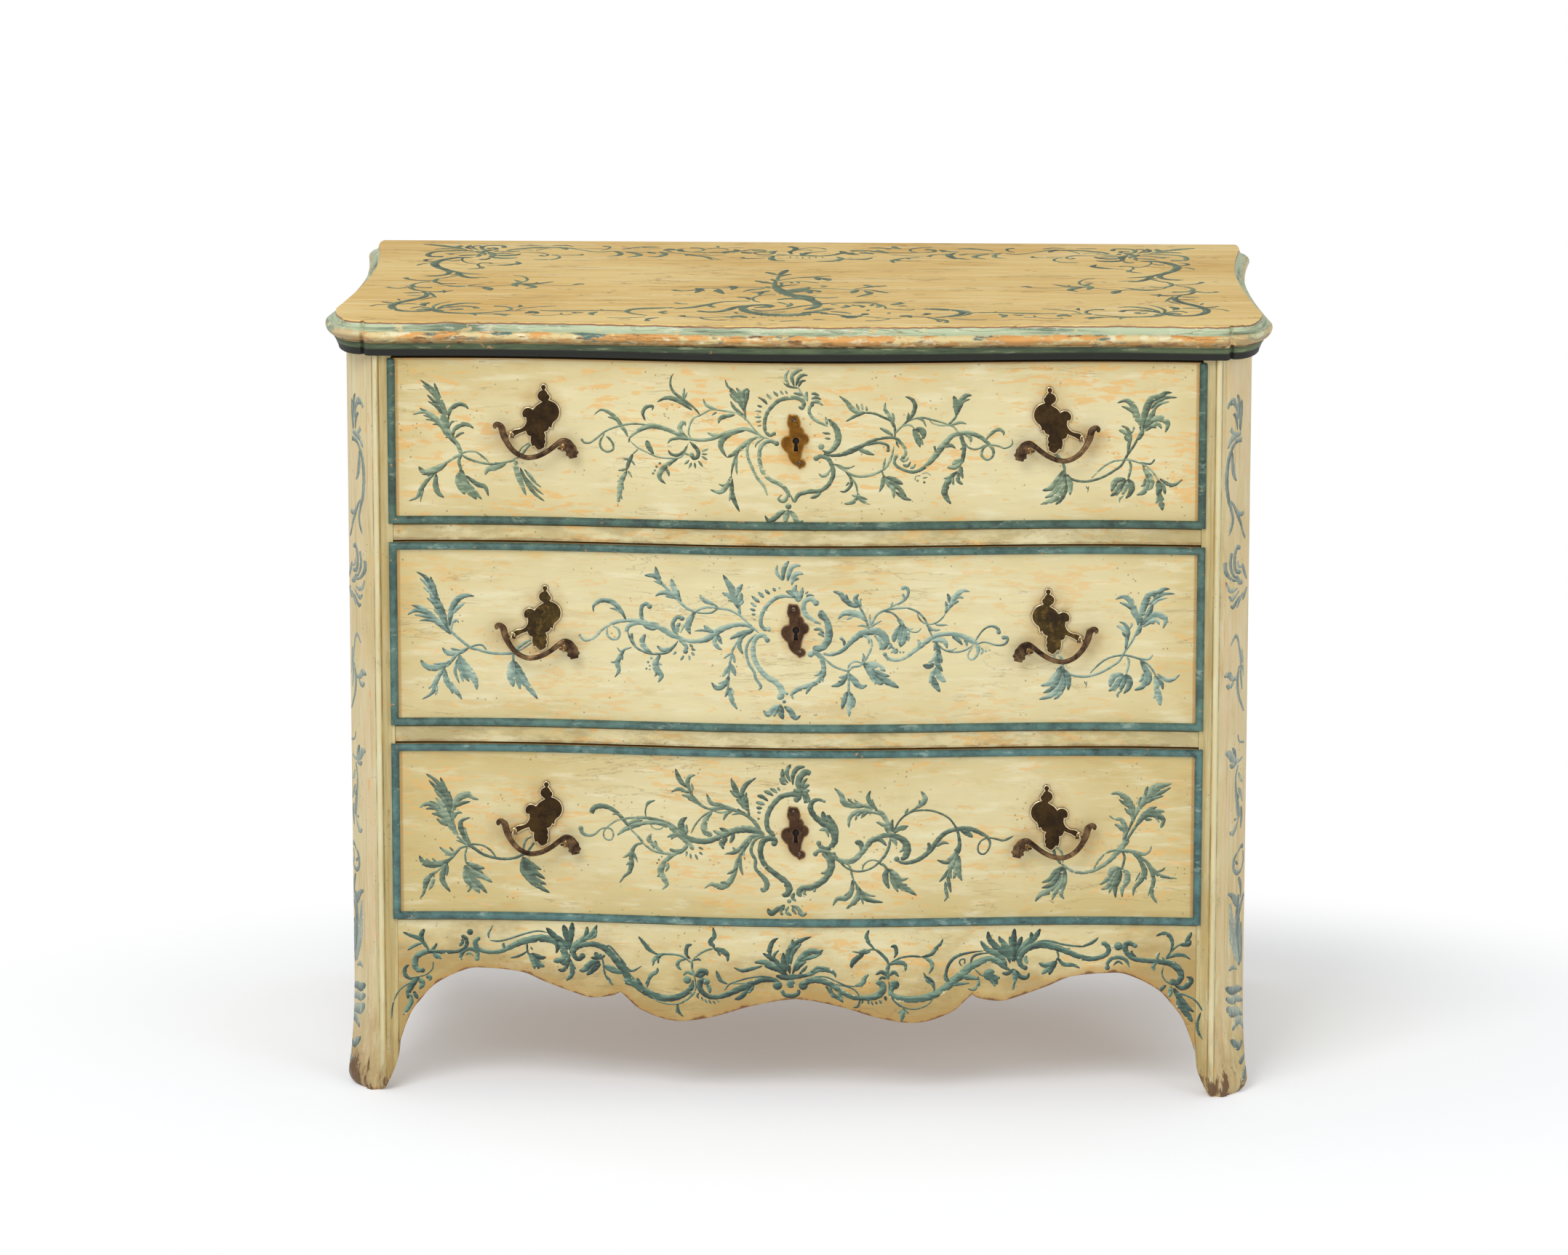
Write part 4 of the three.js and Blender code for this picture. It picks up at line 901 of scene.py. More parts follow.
def post_paint():
    """Streaked upright: an olive inner strip, partly darkened by painted shade, a pale ridge between two
    grooves darkened by painted shade, and a pinkish cant.
    """
    look = Look("cream_posts")
    out = abs(look.x)
    color, rough, height = cream(look, look.z.ramp(0.2, 0.0) * 0.4 + 0.5, "z", 0.4)
    streak = look.noise((150, 150, 5), detail=6.0, roughness=0.7, shift=86.0)
    pink = look.noise((70, 70, 7), detail=5.0, shift=87.0)
    strip = out.ramp(0.499, 0.4965)
    color = look.mix(out.ramp(0.504, 0.51) * pink.ramp(0.35, 0.65) * 0.6, color, "DCC29A")
    color = look.mix(streak.ramp(0.52, 0.68) * 0.5, color, "A78C55")
    # The olive inner strip is partly its paint and partly painted shade, drawn darker where it lies beside the
    # ridge.
    color = look.mix(strip * (streak + 0.12).ramp(0.4, 0.7) * 0.6, color, "A08A4E")
    color = look.mix(out.ramp(0.4985, 0.5005) * out.ramp(0.5055, 0.503) * 0.55, color, "D9D3AC")
    # The two grooves at the ridge's edges are darkened by painted shade, broken up by noise.
    inner, outer = (abs(out - middle).ramp(reach, 0.0) for middle, reach in GROOVES)
    groove = inner.max(outer)
    wear_and_shade_noise = look.noise((40, 40, 14), detail=5.0, roughness=0.7, shift=88.0)
    color = look.mix(groove * wear_and_shade_noise.ramp(0.35, 0.6) * 0.75, color, "7E6232")
    fleck = look.noise((150, 150, 34), detail=4.0, shift=89.0).ramp(0.62, 0.68)
    color = look.mix(fleck * out.ramp(0.503, 0.506) * out.ramp(0.524, 0.512) * 0.8, color, "E0A45E")
    return look.finish(worn_foot(look, color), rough, height + streak * 0.3 - groove * 0.5, 0.0007)


def rail_paint():
    look = Look("cream_rails")
    color, rough, height = cream(look, 0.45)
    dirt = look.noise((26, 26, 70), detail=6.0, roughness=0.7, shift=84.0)
    color = look.mix((dirt + abs(look.x).ramp(0.3, 0.48) * 0.14).ramp(0.38, 0.7) * 0.6, color, "9C8A58")
    upper, lower = (abs(look.z - height) for height in RAIL_FEET)
    foot = upper.min(lower).ramp(0.0035, 0.0)
    color = look.mix((dirt + foot * 0.3).ramp(0.62, 0.88) * 0.55, color, "8A6230")
    return look.finish(color, rough, height + dirt * 0.3, 0.0007)


def apron_paint():
    look = Look("cream_apron")
    share = abs(look.x) / (OPENING_HALF * MM)
    color, rough, height = cream(look, look.z.ramp(0.21, 0.1) * 0.75 + share.ramp(0.6, 1.0) * 0.4 + 0.16)
    edge = look.brush()[0]
    wander = (look.noise((70, 70, 70), detail=4.0, shift=91.0) - 0.5) * 0.7
    brown = look.noise((14, 14, 26), detail=6.0, roughness=0.65, shift=93.0)
    low = look.z.ramp(0.2, 0.1)
    stain = (brown + low * 0.3 + share.ramp(0.5, 1.0) * 0.12).ramp(0.45, 0.85)
    color = look.mix(stain * 0.75, color, "A08248")
    color = look.mix((edge + wander * edge).ramp(0.3, 0.95) * 0.5, color, "B08440")
    color = look.mix((edge + wander).ramp(0.84, 1.02) * 0.9, color, "6A3A10")
    return look.finish(color, rough, height, 0.0007)


def scroll_paint(name, tint, along="x", wear=1.0):
    """Blue-green strokes: shaded on their lower side and at their tips, rubbed through to the ground."""
    paint = bpy.context.scene.commode_paint
    look = Look(name)
    under, rough, height = cream(look, 0.25, along)
    light, tip, chance, across = look.brush()
    streak = look.noise((60, 60, 260) if along == "x" else (260, 260, 60), detail=4.0, shift=7.0)
    tone = light + (streak - 0.5) * 1.4 + (chance - 0.5) * 0.45 - tip * 0.55
    deep, middle, pale = tint
    color = look.mix(tone.ramp(0.1, 0.5), deep, middle)
    color = look.mix(tone.ramp(0.52, 0.9) * 0.85, color, pale)
    chip = look.noise((95, 95, 170), detail=5.0, roughness=0.65, shift=17.0)
    gone = (chip + across * 0.12 + (chance - 0.5) * 0.06).ramp(0.70, 0.73) * (paint.wear * 2 * wear)
    color = look.mix(gone, color, under)
    return look.finish(color, rough, height + streak * 0.4, 0.0004)


def bead_paint(row):
    look = Look(f"bead_{ROWS[row]}")
    deep, middle, pale = (("2A4039", "4C6A5D", "7F9480"), ("33504B", "587A70", "90A698"),
                          ("34514F", "557C78", "8FA79D"))[row]
    grain = look.noise((45, 45, 45), detail=5.0, roughness=0.7)
    color = look.mix(grain.ramp(0.3, 0.7), deep, middle)
    rubbed = look.noise((30, 30, 90), detail=5.0, roughness=0.7, shift=9.0)
    color = look.mix(rubbed.ramp(0.56, 0.68) * 0.7, color, pale)
    chip = look.noise((85, 85, 120), detail=4.0, roughness=0.7, shift=19.0)
    color = look.mix(chip.ramp(0.66, 0.69) * 0.85, color, "C98B4A")
    black = look.noise((60, 60, 60), detail=4.0, shift=29.0)
    color = look.mix(black.ramp(0.62, 0.7) * 0.6, color, "1F2B26")
    return look.finish(color, 0.42 + grain * 0.25, grain + rubbed * 0.6 - chip * 0.4, 0.0008)


def top_paint():
    look = Look("ochre_top")
    cloud = look.noise((4, 6, 4), detail=4.0)
    drag = look.noise((5, 95, 60), detail=5.0, roughness=0.7, shift=2.0)
    color = look.mix((cloud + (drag - 0.5) * 0.7).ramp(0.3, 0.75), "EFD084", "DDB25C")
    streak = look.noise((7, 130, 80), detail=4.0, distortion=0.5, shift=12.0)
    color = look.mix(streak.ramp(0.56, 0.7) * 0.55, color, "F6EBBE")
    scratch = look.noise((10, 60, 60), detail=6.0, roughness=0.75, shift=22.0)
    color = look.mix(scratch.ramp(0.6, 0.7) * 0.45, color, "B58C48")
    line = abs(look.noise((3, 26, 20), detail=6.0, distortion=0.7, shift=32.0) - 0.5).ramp(0.006, 0.0)
    color = look.mix(line * 0.5, color, "8A5A2A")
    # The moulded edge, by height: a fillet, an ovolo and a cove under a thin brown line
    wander = (look.noise((40, 40, 40), detail=3.0, shift=42.0) - 0.5) * 0.004
    z = look.z + wander
    mottle = look.noise((28, 28, 90), detail=5.0, roughness=0.7, shift=52.0)
    long = look.noise((6, 6, 160), detail=5.0, roughness=0.7, shift=54.0)
    green = look.mix(long.ramp(0.34, 0.52), "66775F", "BAC6A2")
    green = look.mix(mottle.ramp(0.52, 0.7) * 0.8, green, "E2E2C8")
    wear_and_shade_noise = look.noise((24, 24, 110), detail=6.0, roughness=0.7, shift=62.0)
    patch = look.mix(wear_and_shade_noise.ramp(0.42, 0.5), "4F6E68", "D8C48C")
    patch = look.mix(mottle.ramp(0.47, 0.54) * 0.9, patch, "DA9A4C")
    pale = look.noise((34, 34, 70), detail=5.0, shift=64.0)
    patch = look.mix(pale.ramp(0.56, 0.62) * 0.85, patch, "E6DDB6")
    bare = look.noise((26, 26, 90), detail=5.0, shift=66.0)
    patch = look.mix(bare.ramp(0.63, 0.68) * 0.85, patch, "74421C")
    ear = abs(look.x).ramp(0.5, 0.52)
    patch = look.mix(ear * 0.5, patch, green)
    patch = look.mix(z.ramp(0.9355, 0.9315) * (mottle + 0.1).ramp(0.4, 0.6) * 0.65, patch, "8F6A38")
    fillet = look.mix(mottle.ramp(0.45, 0.6), "9C8452", "5F4722")
    for height, tint in zip(EDGE_BANDS, ("8C6048", green, patch, fillet)):
        color = look.mix(z.ramp(height, height - MM), color, tint)
    rubbed = look.noise((50, 50, 50), detail=5.0, shift=72.0)
    color = look.mix(rubbed.ramp(0.62, 0.68) * look.z.ramp(0.9496, 0.947) * 0.7, color, "E3C88E")
    return look.finish(color, 0.4 + drag * 0.25, drag * 0.6 + scratch * 0.4 - line, 0.0006)


def moulding_paint():
    look = Look("moulding")
    grain = look.noise((14, 14, 120), detail=5.0, roughness=0.7)
    color = look.mix(grain.ramp(0.3, 0.75), "2F3F2C", "64724F")
    pale = look.noise((24, 24, 160), detail=4.0, shift=6.0)
    color = look.mix(pale.ramp(0.6, 0.7) * 0.6, color, "97A07C")
    chip = look.noise((60, 60, 80), detail=4.0, roughness=0.7, shift=16.0)
    color = look.mix(chip.ramp(0.66, 0.69) * 0.85, color, "B5895A")
    # The strip's lower edge is painted near black: painted shadow of the gap above the top drawer.
    color = look.mix(look.z.ramp(0.919, 0.916) * 0.96, color, "0A0904")
    return look.finish(color, 0.6 + grain * 0.2, grain - chip * 0.5, 0.0006)


def brass_look(name, dull, bright, spread=0.35, blotch=0.0):
    look = Look(name)
    polish_and_highlight = look.brush()[0]
    cloud = look.noise((70, 70, 70), detail=5.0, roughness=0.7)
    stain = look.noise((190, 190, 190), detail=4.0, shift=4.0)
    color = look.mix(cloud.ramp(0.3, 0.7), *dull)
    color = look.mix(stain.ramp(0.58, 0.7) * 0.5, color, "20160C")
    ochre = look.noise((110, 110, 110), detail=5.0, roughness=0.7, shift=14.0)
    color = look.mix(ochre.ramp(0.5, 0.62) * blotch, color, "80642F")
    # Shine draws the brass towards the bright colour: partly rubbed brass, partly painted highlight.
    shine = (polish_and_highlight + (cloud - 0.5) * spread).ramp(0.4, 0.85)
    color = look.mix(shine * 0.95, color, bright)
    rough = 0.42 + cloud * 0.16 - shine * 0.24
    return look.finish(color, rough, cloud + stain * 0.5, 0.0003, metallic=0.82)


def steel_look():
    look = Look("steel_screw")
    grain = look.noise((400, 400, 400), detail=3.0)
    color = look.mix(grain.ramp(0.35, 0.7), "4A3A2C", "8F7F6A")
    return look.finish(color, 0.3 + grain * 0.2, grain, 0.0001, metallic=0.9)


def iron_look():
    look = Look("iron_lock")
    scale = look.noise((120, 120, 120), detail=5.0, roughness=0.7)
    color = look.mix(scale.ramp(0.4, 0.7), "2B2826", "5A4636")
    return look.finish(color, 0.5 + scale * 0.25, scale, 0.0004, metallic=0.75)


# Painted shade: the near-black film behind keyholes and in screw slots, its tone varied by noise.
def void_look():
    look = Look("painted_shade_dark")
    dust_and_shade = look.noise((300, 300, 300), detail=2.0)
    return look.finish(look.mix(dust_and_shade, "050403", "120C07"), 0.85, dust_and_shade, 0.0002)


# Painted ornament. A row is a kind, a width and the points of its path in millimetres: a leaf is pointed at
# both ends, a stem keeps its width, a curl starts with a ball, a dot is a single spot.
LEAF, STEM, CURL, DOT = "leaf", "stem", "curl", "dot"
BOARD_BOLD = 1.25
FLANK_AXIS, FLANK_BACK, FLANK_SHIFT = 82.0, 200.0, (11, -7)
WIDE_LEAF, WIDE_SHARE = 8.5, 0.84
SPREAD = {LEAF: 1.14, STEM: 1.12, CURL: 1.08, DOT: 1.15}
STROKE_STEP, DOT_SIDES, FLANK_STEPS = 1.8, 12, 24
APRON_MIDDLE, BOARD_PROUD = 114.5, 0.06
ROW_SHIFTS, BOW_LIFT = (0.0, -2.8, -3.9), 3.5


class Brush:
    """Collects strokes that lie on one surface: surface(u, v, h) gives places from arrays."""

    def __init__(self, surface, proud=0.16, sunk=0.12, lamp=(-0.45, 0.9), turned_over=False):
        self.surface, self.proud, self.sunk, self.lamp = surface, proud, sunk, np.array(lamp)
        self.turned_over = turned_over
        self.points, self.faces, self.tones = [], [], []
        self.dice = random.Random(bpy.context.scene.commode_paint.seed)

    def add(self, rows, warp=None, bold=1.0):
        """Draws rows of a stroke table; warp moves their points."""
        for kind, width, *flat in rows:
            path = np.array(flat, float).reshape(-1, 2)
            if warp is not None:
                path = warp(path)
            spread = SPREAD[kind] * bold
            if kind == LEAF and width > WIDE_LEAF:
                spread *= WIDE_SHARE
            width = tuple(np.array(width) * spread) if isinstance(width, tuple) else width * spread
            if kind == DOT:
                self.dot(path[0], width)
                continue
            self.stroke(kind, width, path)
            if kind == CURL:
                self.dot(path[0], (width[0] if isinstance(width, tuple) else width) * 0.62)

    def stroke(self, kind, width, path):
        """A low ridge along a smooth path."""
        length = np.linalg.norm(np.diff(path, axis=0), axis=1).sum()
        steps = int(np.clip(length / STROKE_STEP, 7, 90))
        line = spline(path, steps) if len(path) > 2 else np.linspace(path[0], path[-1], steps + 1)
        share = np.linspace(0, 1, steps + 1)
        if isinstance(width, tuple):
            wide = np.interp(share, np.linspace(0, 1, len(width)), width)
            wide *= np.minimum(1, (1 - share) / 0.05 + 0.1)
        elif kind == LEAF:
            wide = width * np.maximum(np.sin(np.pi * share ** 0.85), 0.0) ** 0.7
        else:
            ends = 0.12 if kind == STEM else 0.2
            wide = width * np.clip((1 - share) / ends, 0.12, 1) ** 0.6
            if kind == STEM:
                wide *= np.clip(share / ends, 0.3, 1) ** 0.5
        wide = np.maximum(wide * (1 + 0.07 * np.sin(share * length * 0.9 + self.dice.random() * 6)), 0.35)
        tangent = np.gradient(line, axis=0)
        tangent /= np.maximum(np.linalg.norm(tangent, axis=1), 1e-6)[:, None]
        normal = np.stack([-tangent[:, 1], tangent[:, 0]], 1)
        lift = self.proud * (1 + 0.35 * self.dice.random())
        offsets = ((0.5, -self.sunk), (0.42, lift * 0.6), (0.0, lift),
                   (-0.42, lift * 0.6), (-0.5, -self.sunk))
        chance, base, around = self.dice.random(), len(self.points), len(offsets)
        tip = np.clip((np.abs(share - 0.5) - 0.3) / 0.2, 0, 1) if kind == LEAF else np.zeros(steps + 1)
        rows = []
        for across, height in offsets:
            at = line + normal * (across * wide)[:, None]
            rows.append(self.surface(at[:, 0], at[:, 1], np.full(len(at), height)))
        light = normal @ self.lamp
        for step in range(steps + 1):
            for (across, _), row in zip(offsets, rows):
                self.points.append(row[step])
                tone = 0.5 + across * light[step]
                self.tones.append((tone, tip[step], chance, abs(across) * 2))
        for step in range(steps):
            self.faces += band(base + step * around, base + (step + 1) * around, around)
        last = base + steps * around
        self.faces += [tuple(range(base, base + around)), tuple(range(last, last + around))]

    def dot(self, centre, radius):
        """A low dome."""
        angles = circle(DOT_SIDES)
        base, chance = len(self.points), self.dice.random()
        for share, height in ((1.0, -self.sunk), (0.9, self.proud * 0.7), (0.45, self.proud * 1.5)):
            u, v = centre[0] + radius * share * np.cos(angles), centre[1] + radius * share * np.sin(angles)
            self.points += list(self.surface(u, v, np.full(DOT_SIDES, height)))
            light = np.cos(angles) * self.lamp[0] + np.sin(angles) * self.lamp[1]
            self.tones += [(0.5 + value * share / 2, 0.0, chance, share * 0.8) for value in light]
        middle, last = base + DOT_SIDES, base + 2 * DOT_SIDES
        self.faces += band(base, middle, DOT_SIDES) + band(middle, last, DOT_SIDES)
        self.faces += [tuple(range(base, middle)), tuple(range(last, last + DOT_SIDES))]

    def finish(self, name, body, material, slot="cream_paint"):
        faces = [face[::-1] for face in self.faces] if self.turned_over else self.faces
        skin = (np.array(self.points), faces)
        return Pen(body).build(name, skin, material, slot=slot, tones=self.tones, weld=False)


def on_front(middle):
    """The serpentine front: u runs across and v up from its middle height."""
    def surface(u, v, h):
        return np.stack([u, front_y(u) - h, middle + v], 1)
    return surface


def on_top(u, v, h):
    """The face of the top: u runs across and v back."""
    return np.stack([u, v, TOP_LOW + TOP_THICKNESS + h], 1)


def on_flank(side):
    """The canted corner and the side behind it: s runs back from the ridge and z runs up."""
    face = float(front_y(OPENING_HALF))
    cant = [p for p in post_plan() if p[0] >= OPENING_HALF + STRIP + RIDGE and p[1] <= SHOULDER_Y]
    beyond = np.linspace(SHOULDER_Y, FLANK_BACK, FLANK_STEPS)[1:]
    path = np.array(cant + [(float(side_x(y)), y) for y in beyond])
    run = np.concatenate([[0], np.cumsum(np.linalg.norm(np.diff(path, axis=0), axis=1))])
    tangent = np.gradient(path, axis=0)
    tangent /= np.linalg.norm(tangent, axis=1)[:, None]
    levels = spline(FOOT, FOOT_STEPS)

    def surface(s, z, h):
        x, y = (np.interp(s, run, path[:, at]) for at in range(2))
        x, y = x + np.interp(s, run, tangent[:, 1]) * h, y - np.interp(s, run, tangent[:, 0]) * h
        inner, back, flare = (np.interp(z / KNEE, levels[:, 0], levels[:, at]) for at in (1, 2, 3))
        out = flare * TOE_FLARE
        push = np.where((flare > 0) | (x > (OPENING_HALF + SHOULDER_HALF) / 2), out, 0)
        x = SHOULDER_HALF - (SHOULDER_HALF - x) * (1 - inner) + push
        return np.stack([side * x, face + (y - face) * (1 - back) - out / 2, z], 1)

    return surface


# Across one drawer, from its middle; heights from the middle of its front
SPRAY_LEFT = (
    (LEAF, 12, -401, -8, -411, 5, -417, 14, -419, 29, -423, 45, -430, 60, -447, 74),
    (LEAF, 4, -421, 40, -431, 56, -444, 68), (LEAF, 4, -419, 32, -430, 47, -439, 56),
    (LEAF, 4, -418, 28, -428, 42, -438, 48), (LEAF, 3, -424, 56, -429, 66, -430, 70),
    (LEAF, 9, -412, 6, -421, 18, -433, 30, -448, 40), (LEAF, 4, -428, 26, -442, 35, -456, 32),
    (LEAF, 3.5, -424, 22, -435, 29, -444, 31), (LEAF, 3.5, -420, 17, -431, 25, -441, 26),
    (LEAF, 3.5, -415, 12, -424, 20, -433, 20), (LEAF, 3, -405, -2, -412, 4, -418, 4),
    (LEAF, 5.5, -414, 25, -412, 37, -402, 44.5, -394, 43, -390, 38.5), (LEAF, 3, -415, 14, -410, 23, -403,
     24),
    (LEAF, 5.5, -409, 4, -407, 14, -397, 20, -389, 19, -384, 15), (LEAF, 3.5, -406, 4, -400, 9, -395, 10),
    (STEM, 5, -399, -16, -403, -5, -411, 6, -416, 16), (STEM, 3.5, -399, -16, -407, -20, -418, -27, -426,
     -34),
    (LEAF, 11, -416, -27, -430, -35, -442, -39, -450, -31), (LEAF, 4, -428, -38, -440, -40, -446, -40),
    (LEAF, 5.5, -431, -40, -440, -48, -447, -58, -452, -68, -462, -73), (LEAF, 3, -444, -58, -447, -66, -448,
     -74),
    (LEAF, 7, -429, -40, -430, -53, -427, -63, -420, -69), (STEM, 4, -399, -16, -402, -25, -399, -35),
    (LEAF, 13, -400, -34, -397, -48, -390, -60, -381, -71), (LEAF, 8, -402, -38, -403, -48, -399, -58, -395,
     -65),
    (LEAF, 5, -392, -50, -383, -62, -375, -71), (LEAF, 6, -394, -42, -381, -52, -371, -56, -367, -67),
    (STEM, 2.5, -399, -16, -393, -13, -382, -13, -372, -20, -366, -26),
    (STEM, 3, -399, -16, -392, -21, -378, -25.5, -363, -28, -348, -26, -337, -23, -327, -16, -318, -5, -312,
     -1),
    (STEM, 2, -332, -18, -327, -8, -318, -2), (LEAF, 7, -345, -27, -358, -32, -367, -34, -371, -41),
    (LEAF, 2.5, -350, -29, -356, -27, -359, -26), (LEAF, 7, -333, -20, -334, -30, -331, -42, -326, -56, -322,
     -66),
    (LEAF, 5, -329, -32, -322, -48, -312, -63, -300, -73), (LEAF, 3.5, -324, -34, -313, -48, -304, -56),
    (LEAF, 3, -322, -44, -310, -58, -301, -65), (LEAF, 2.5, -322, -36, -317, -41, -313, -45),
)
SCROLL_LEFT = (
    (CURL, 2.6, -255, 2, -252, -1.5, -245, -1.5, -237, 4, -227, 12, -212, 18, -195, 21, -180, 20, -168, 18),
    (STEM, (2, 4, 5.5, 6.5, 6, 5, 4, 3.5, 4, 4.5, 5, 5, 4, 3, 2), -198, 4, -193, 9, -185, 14, -175, 18, -165,
     17.5,
     -153, 14, -140, 8, -128, 3, -113, 1, -98, 3, -87, 8, -73, 12, -60, 14.5, -48, 10, -40, 5, -32, 3),
    (STEM, 2.8, -228, 9, -233, 0, -232, -8, -225, -12.7, -218, -10, -218, -3, -223, 4, -226, 6),
    (LEAF, 5, -200, 5, -203, 12, -208, 19, -213, 27, -222, 34.5, -232, 38, -240, 32),
    (LEAF, 3.5, -208, 22, -215, 27, -224, 29.5), (LEAF, 2.5, -198, 4, -199, -2),
    (LEAF, 4.5, -179, 24.5, -182, 34, -178, 41, -170, 42, -171, 37),
    (STEM, 2.2, -197, 0, -188, -8, -178, -13, -165, -19, -150, -21, -138, -20, -132, -13, -128, -3),
    (LEAF, 6.5, -177.5, 1, -175, -7, -169, -16), (LEAF, 4, -152, -11, -148, -16, -140, -17, -133, -12, -130,
     -6),
    (LEAF, 6.5, -140, -21, -152, -28, -161, -37, -162, -45, -155, -52), (LEAF, 3.5, -156, -32, -152, -38,
     -151, -43),
    (DOT, 1.5, -162, -27), (DOT, 1.5, -166, -31), (DOT, 1.5, -168, -35.5), (DOT, 1.5, -170, -39),
    (STEM, 1.8, -188, -10, -194, -15.5), (LEAF, 5, -194, -15.5, -199, -26, -202, -36),
    (LEAF, 7, -201, -36, -208, -48, -210, -61, -212.5, -79), (LEAF, 3, -198, -22, -206, -21),
    (LEAF, 2.5, -197, -22, -191, -30), (LEAF, 3.5, -201, -34, -212, -35.5), (LEAF, 3, -200, -36, -195, -44),
    (LEAF, 3, -206, -46, -213, -49), (LEAF, 2.5, -207, -52, -205, -59), (LEAF, 2.5, -210, -62, -207, -71),
    (LEAF, 6, -128, 3, -136, 10, -138, 17, -133, 23, -131, 18),
    (STEM, 2.2, -123, 2, -127.5, 9, -126, 19, -122, 27, -114, 31, -107, 35, -100, 38, -90, 37, -77, 35, -67,
     32,
     -58, 25, -50, 15, -42, 7),
    (LEAF, 3.5, -114, 31, -118, 37, -127, 45, -135, 51, -145, 59, -149, 68, -148, 77, -145, 81.5),
    (LEAF, 6, -123, 37, -135, 46, -145, 51, -155, 52, -165, 47), (LEAF, 3, -135, 49, -133, 58, -132.5, 64),
    (LEAF, 2.5, -133, 50, -129, 59), (LEAF, 4, -92, 37, -100, 40, -107, 44, -110, 51),
    (STEM, 3, -60, 25, -60.5, 32, -61, 39), (LEAF, 9, -61, 36, -65, 46, -72, 56, -79, 65),
    (LEAF, 3, -76, 62, -81, 66, -84, 74), (LEAF, 6, -62, 38, -62, 48, -66, 58, -71, 64),
    (LEAF, 4.5, -61, 36, -60, 46, -57.5, 53, -57, 58), (LEAF, 5, -62, 40, -61, 52, -62, 60, -56, 63),
    (LEAF, 4.5, -63, 42, -71, 50, -79, 57), (LEAF, 4, -64, 47, -73, 56, -79, 61),
    (LEAF, 6, -63, 44, -72, 51, -78, 55.5), (LEAF, 7, -61, 42, -60, 52, -58, 58, -55.5, 62),
    (LEAF, 4, -63, 46, -62, 57, -61, 61), (LEAF, 4, -62, 31, -73, 40, -77.5, 48),
    (LEAF, 5.5, -72, 31.5, -83, 30, -90, 27, -92, 21), (LEAF, 2.5, -94, 35, -100, 31),
    (LEAF, 4, -88, 7, -98, 7, -105, 10), (LEAF, 4, -128, 1, -138, 3.5, -148, 2, -152.5, -3),
    (CURL, 5, -124, -17, -121, -21, -117, -19, -116, -13, -120, -7, -126, -1),
    (LEAF, 3, -112, -12.5, -104, -9.5), (LEAF, 3, -112, -15.5, -105, -16), (LEAF, 3, -112, -18.5, -105, -23),
    (LEAF, 3, -116, -24, -110.5, -31.5), (LEAF, 3, -120.5, -26, -119.5, -33.5), (LEAF, 3, -124, -26, -127.5,
     -33.5),
    (LEAF, 3, -127, -23, -132.5, -28.5), (LEAF, 3, -127, -17, -132, -15),
)
FAN_LEFT = (
    (LEAF, 9, -60, 13, -76, 10, -87, 2, -89, -8, -82, -20), (LEAF, 6, -82, -20, -73, -15, -63, -6, -52, 2,
     -44, 5),
    (LEAF, 3.5, -66, -8, -71, -18, -75, -30, -77, -43), (LEAF, 6, -76.5, -42, -82, -54, -90, -62, -102, -59),
    (LEAF, 3, -79, -50, -86, -54, -92, -52), (LEAF, 6, -76, -45, -76, -63, -73, -73, -67, -86),
    (LEAF, 3, -77, -58, -78, -66, -79, -73), (LEAF, 3, -70, -14, -71, -31, -69.5, -42),
    (STEM, 3.5, -42, 4, -50, 3, -57, -5, -57.5, -18, -52.5, -31, -47, -43, -38, -55, -34, -66),
    (LEAF, 2.5, -38, 3, -46, -2, -48.5, -8),
)
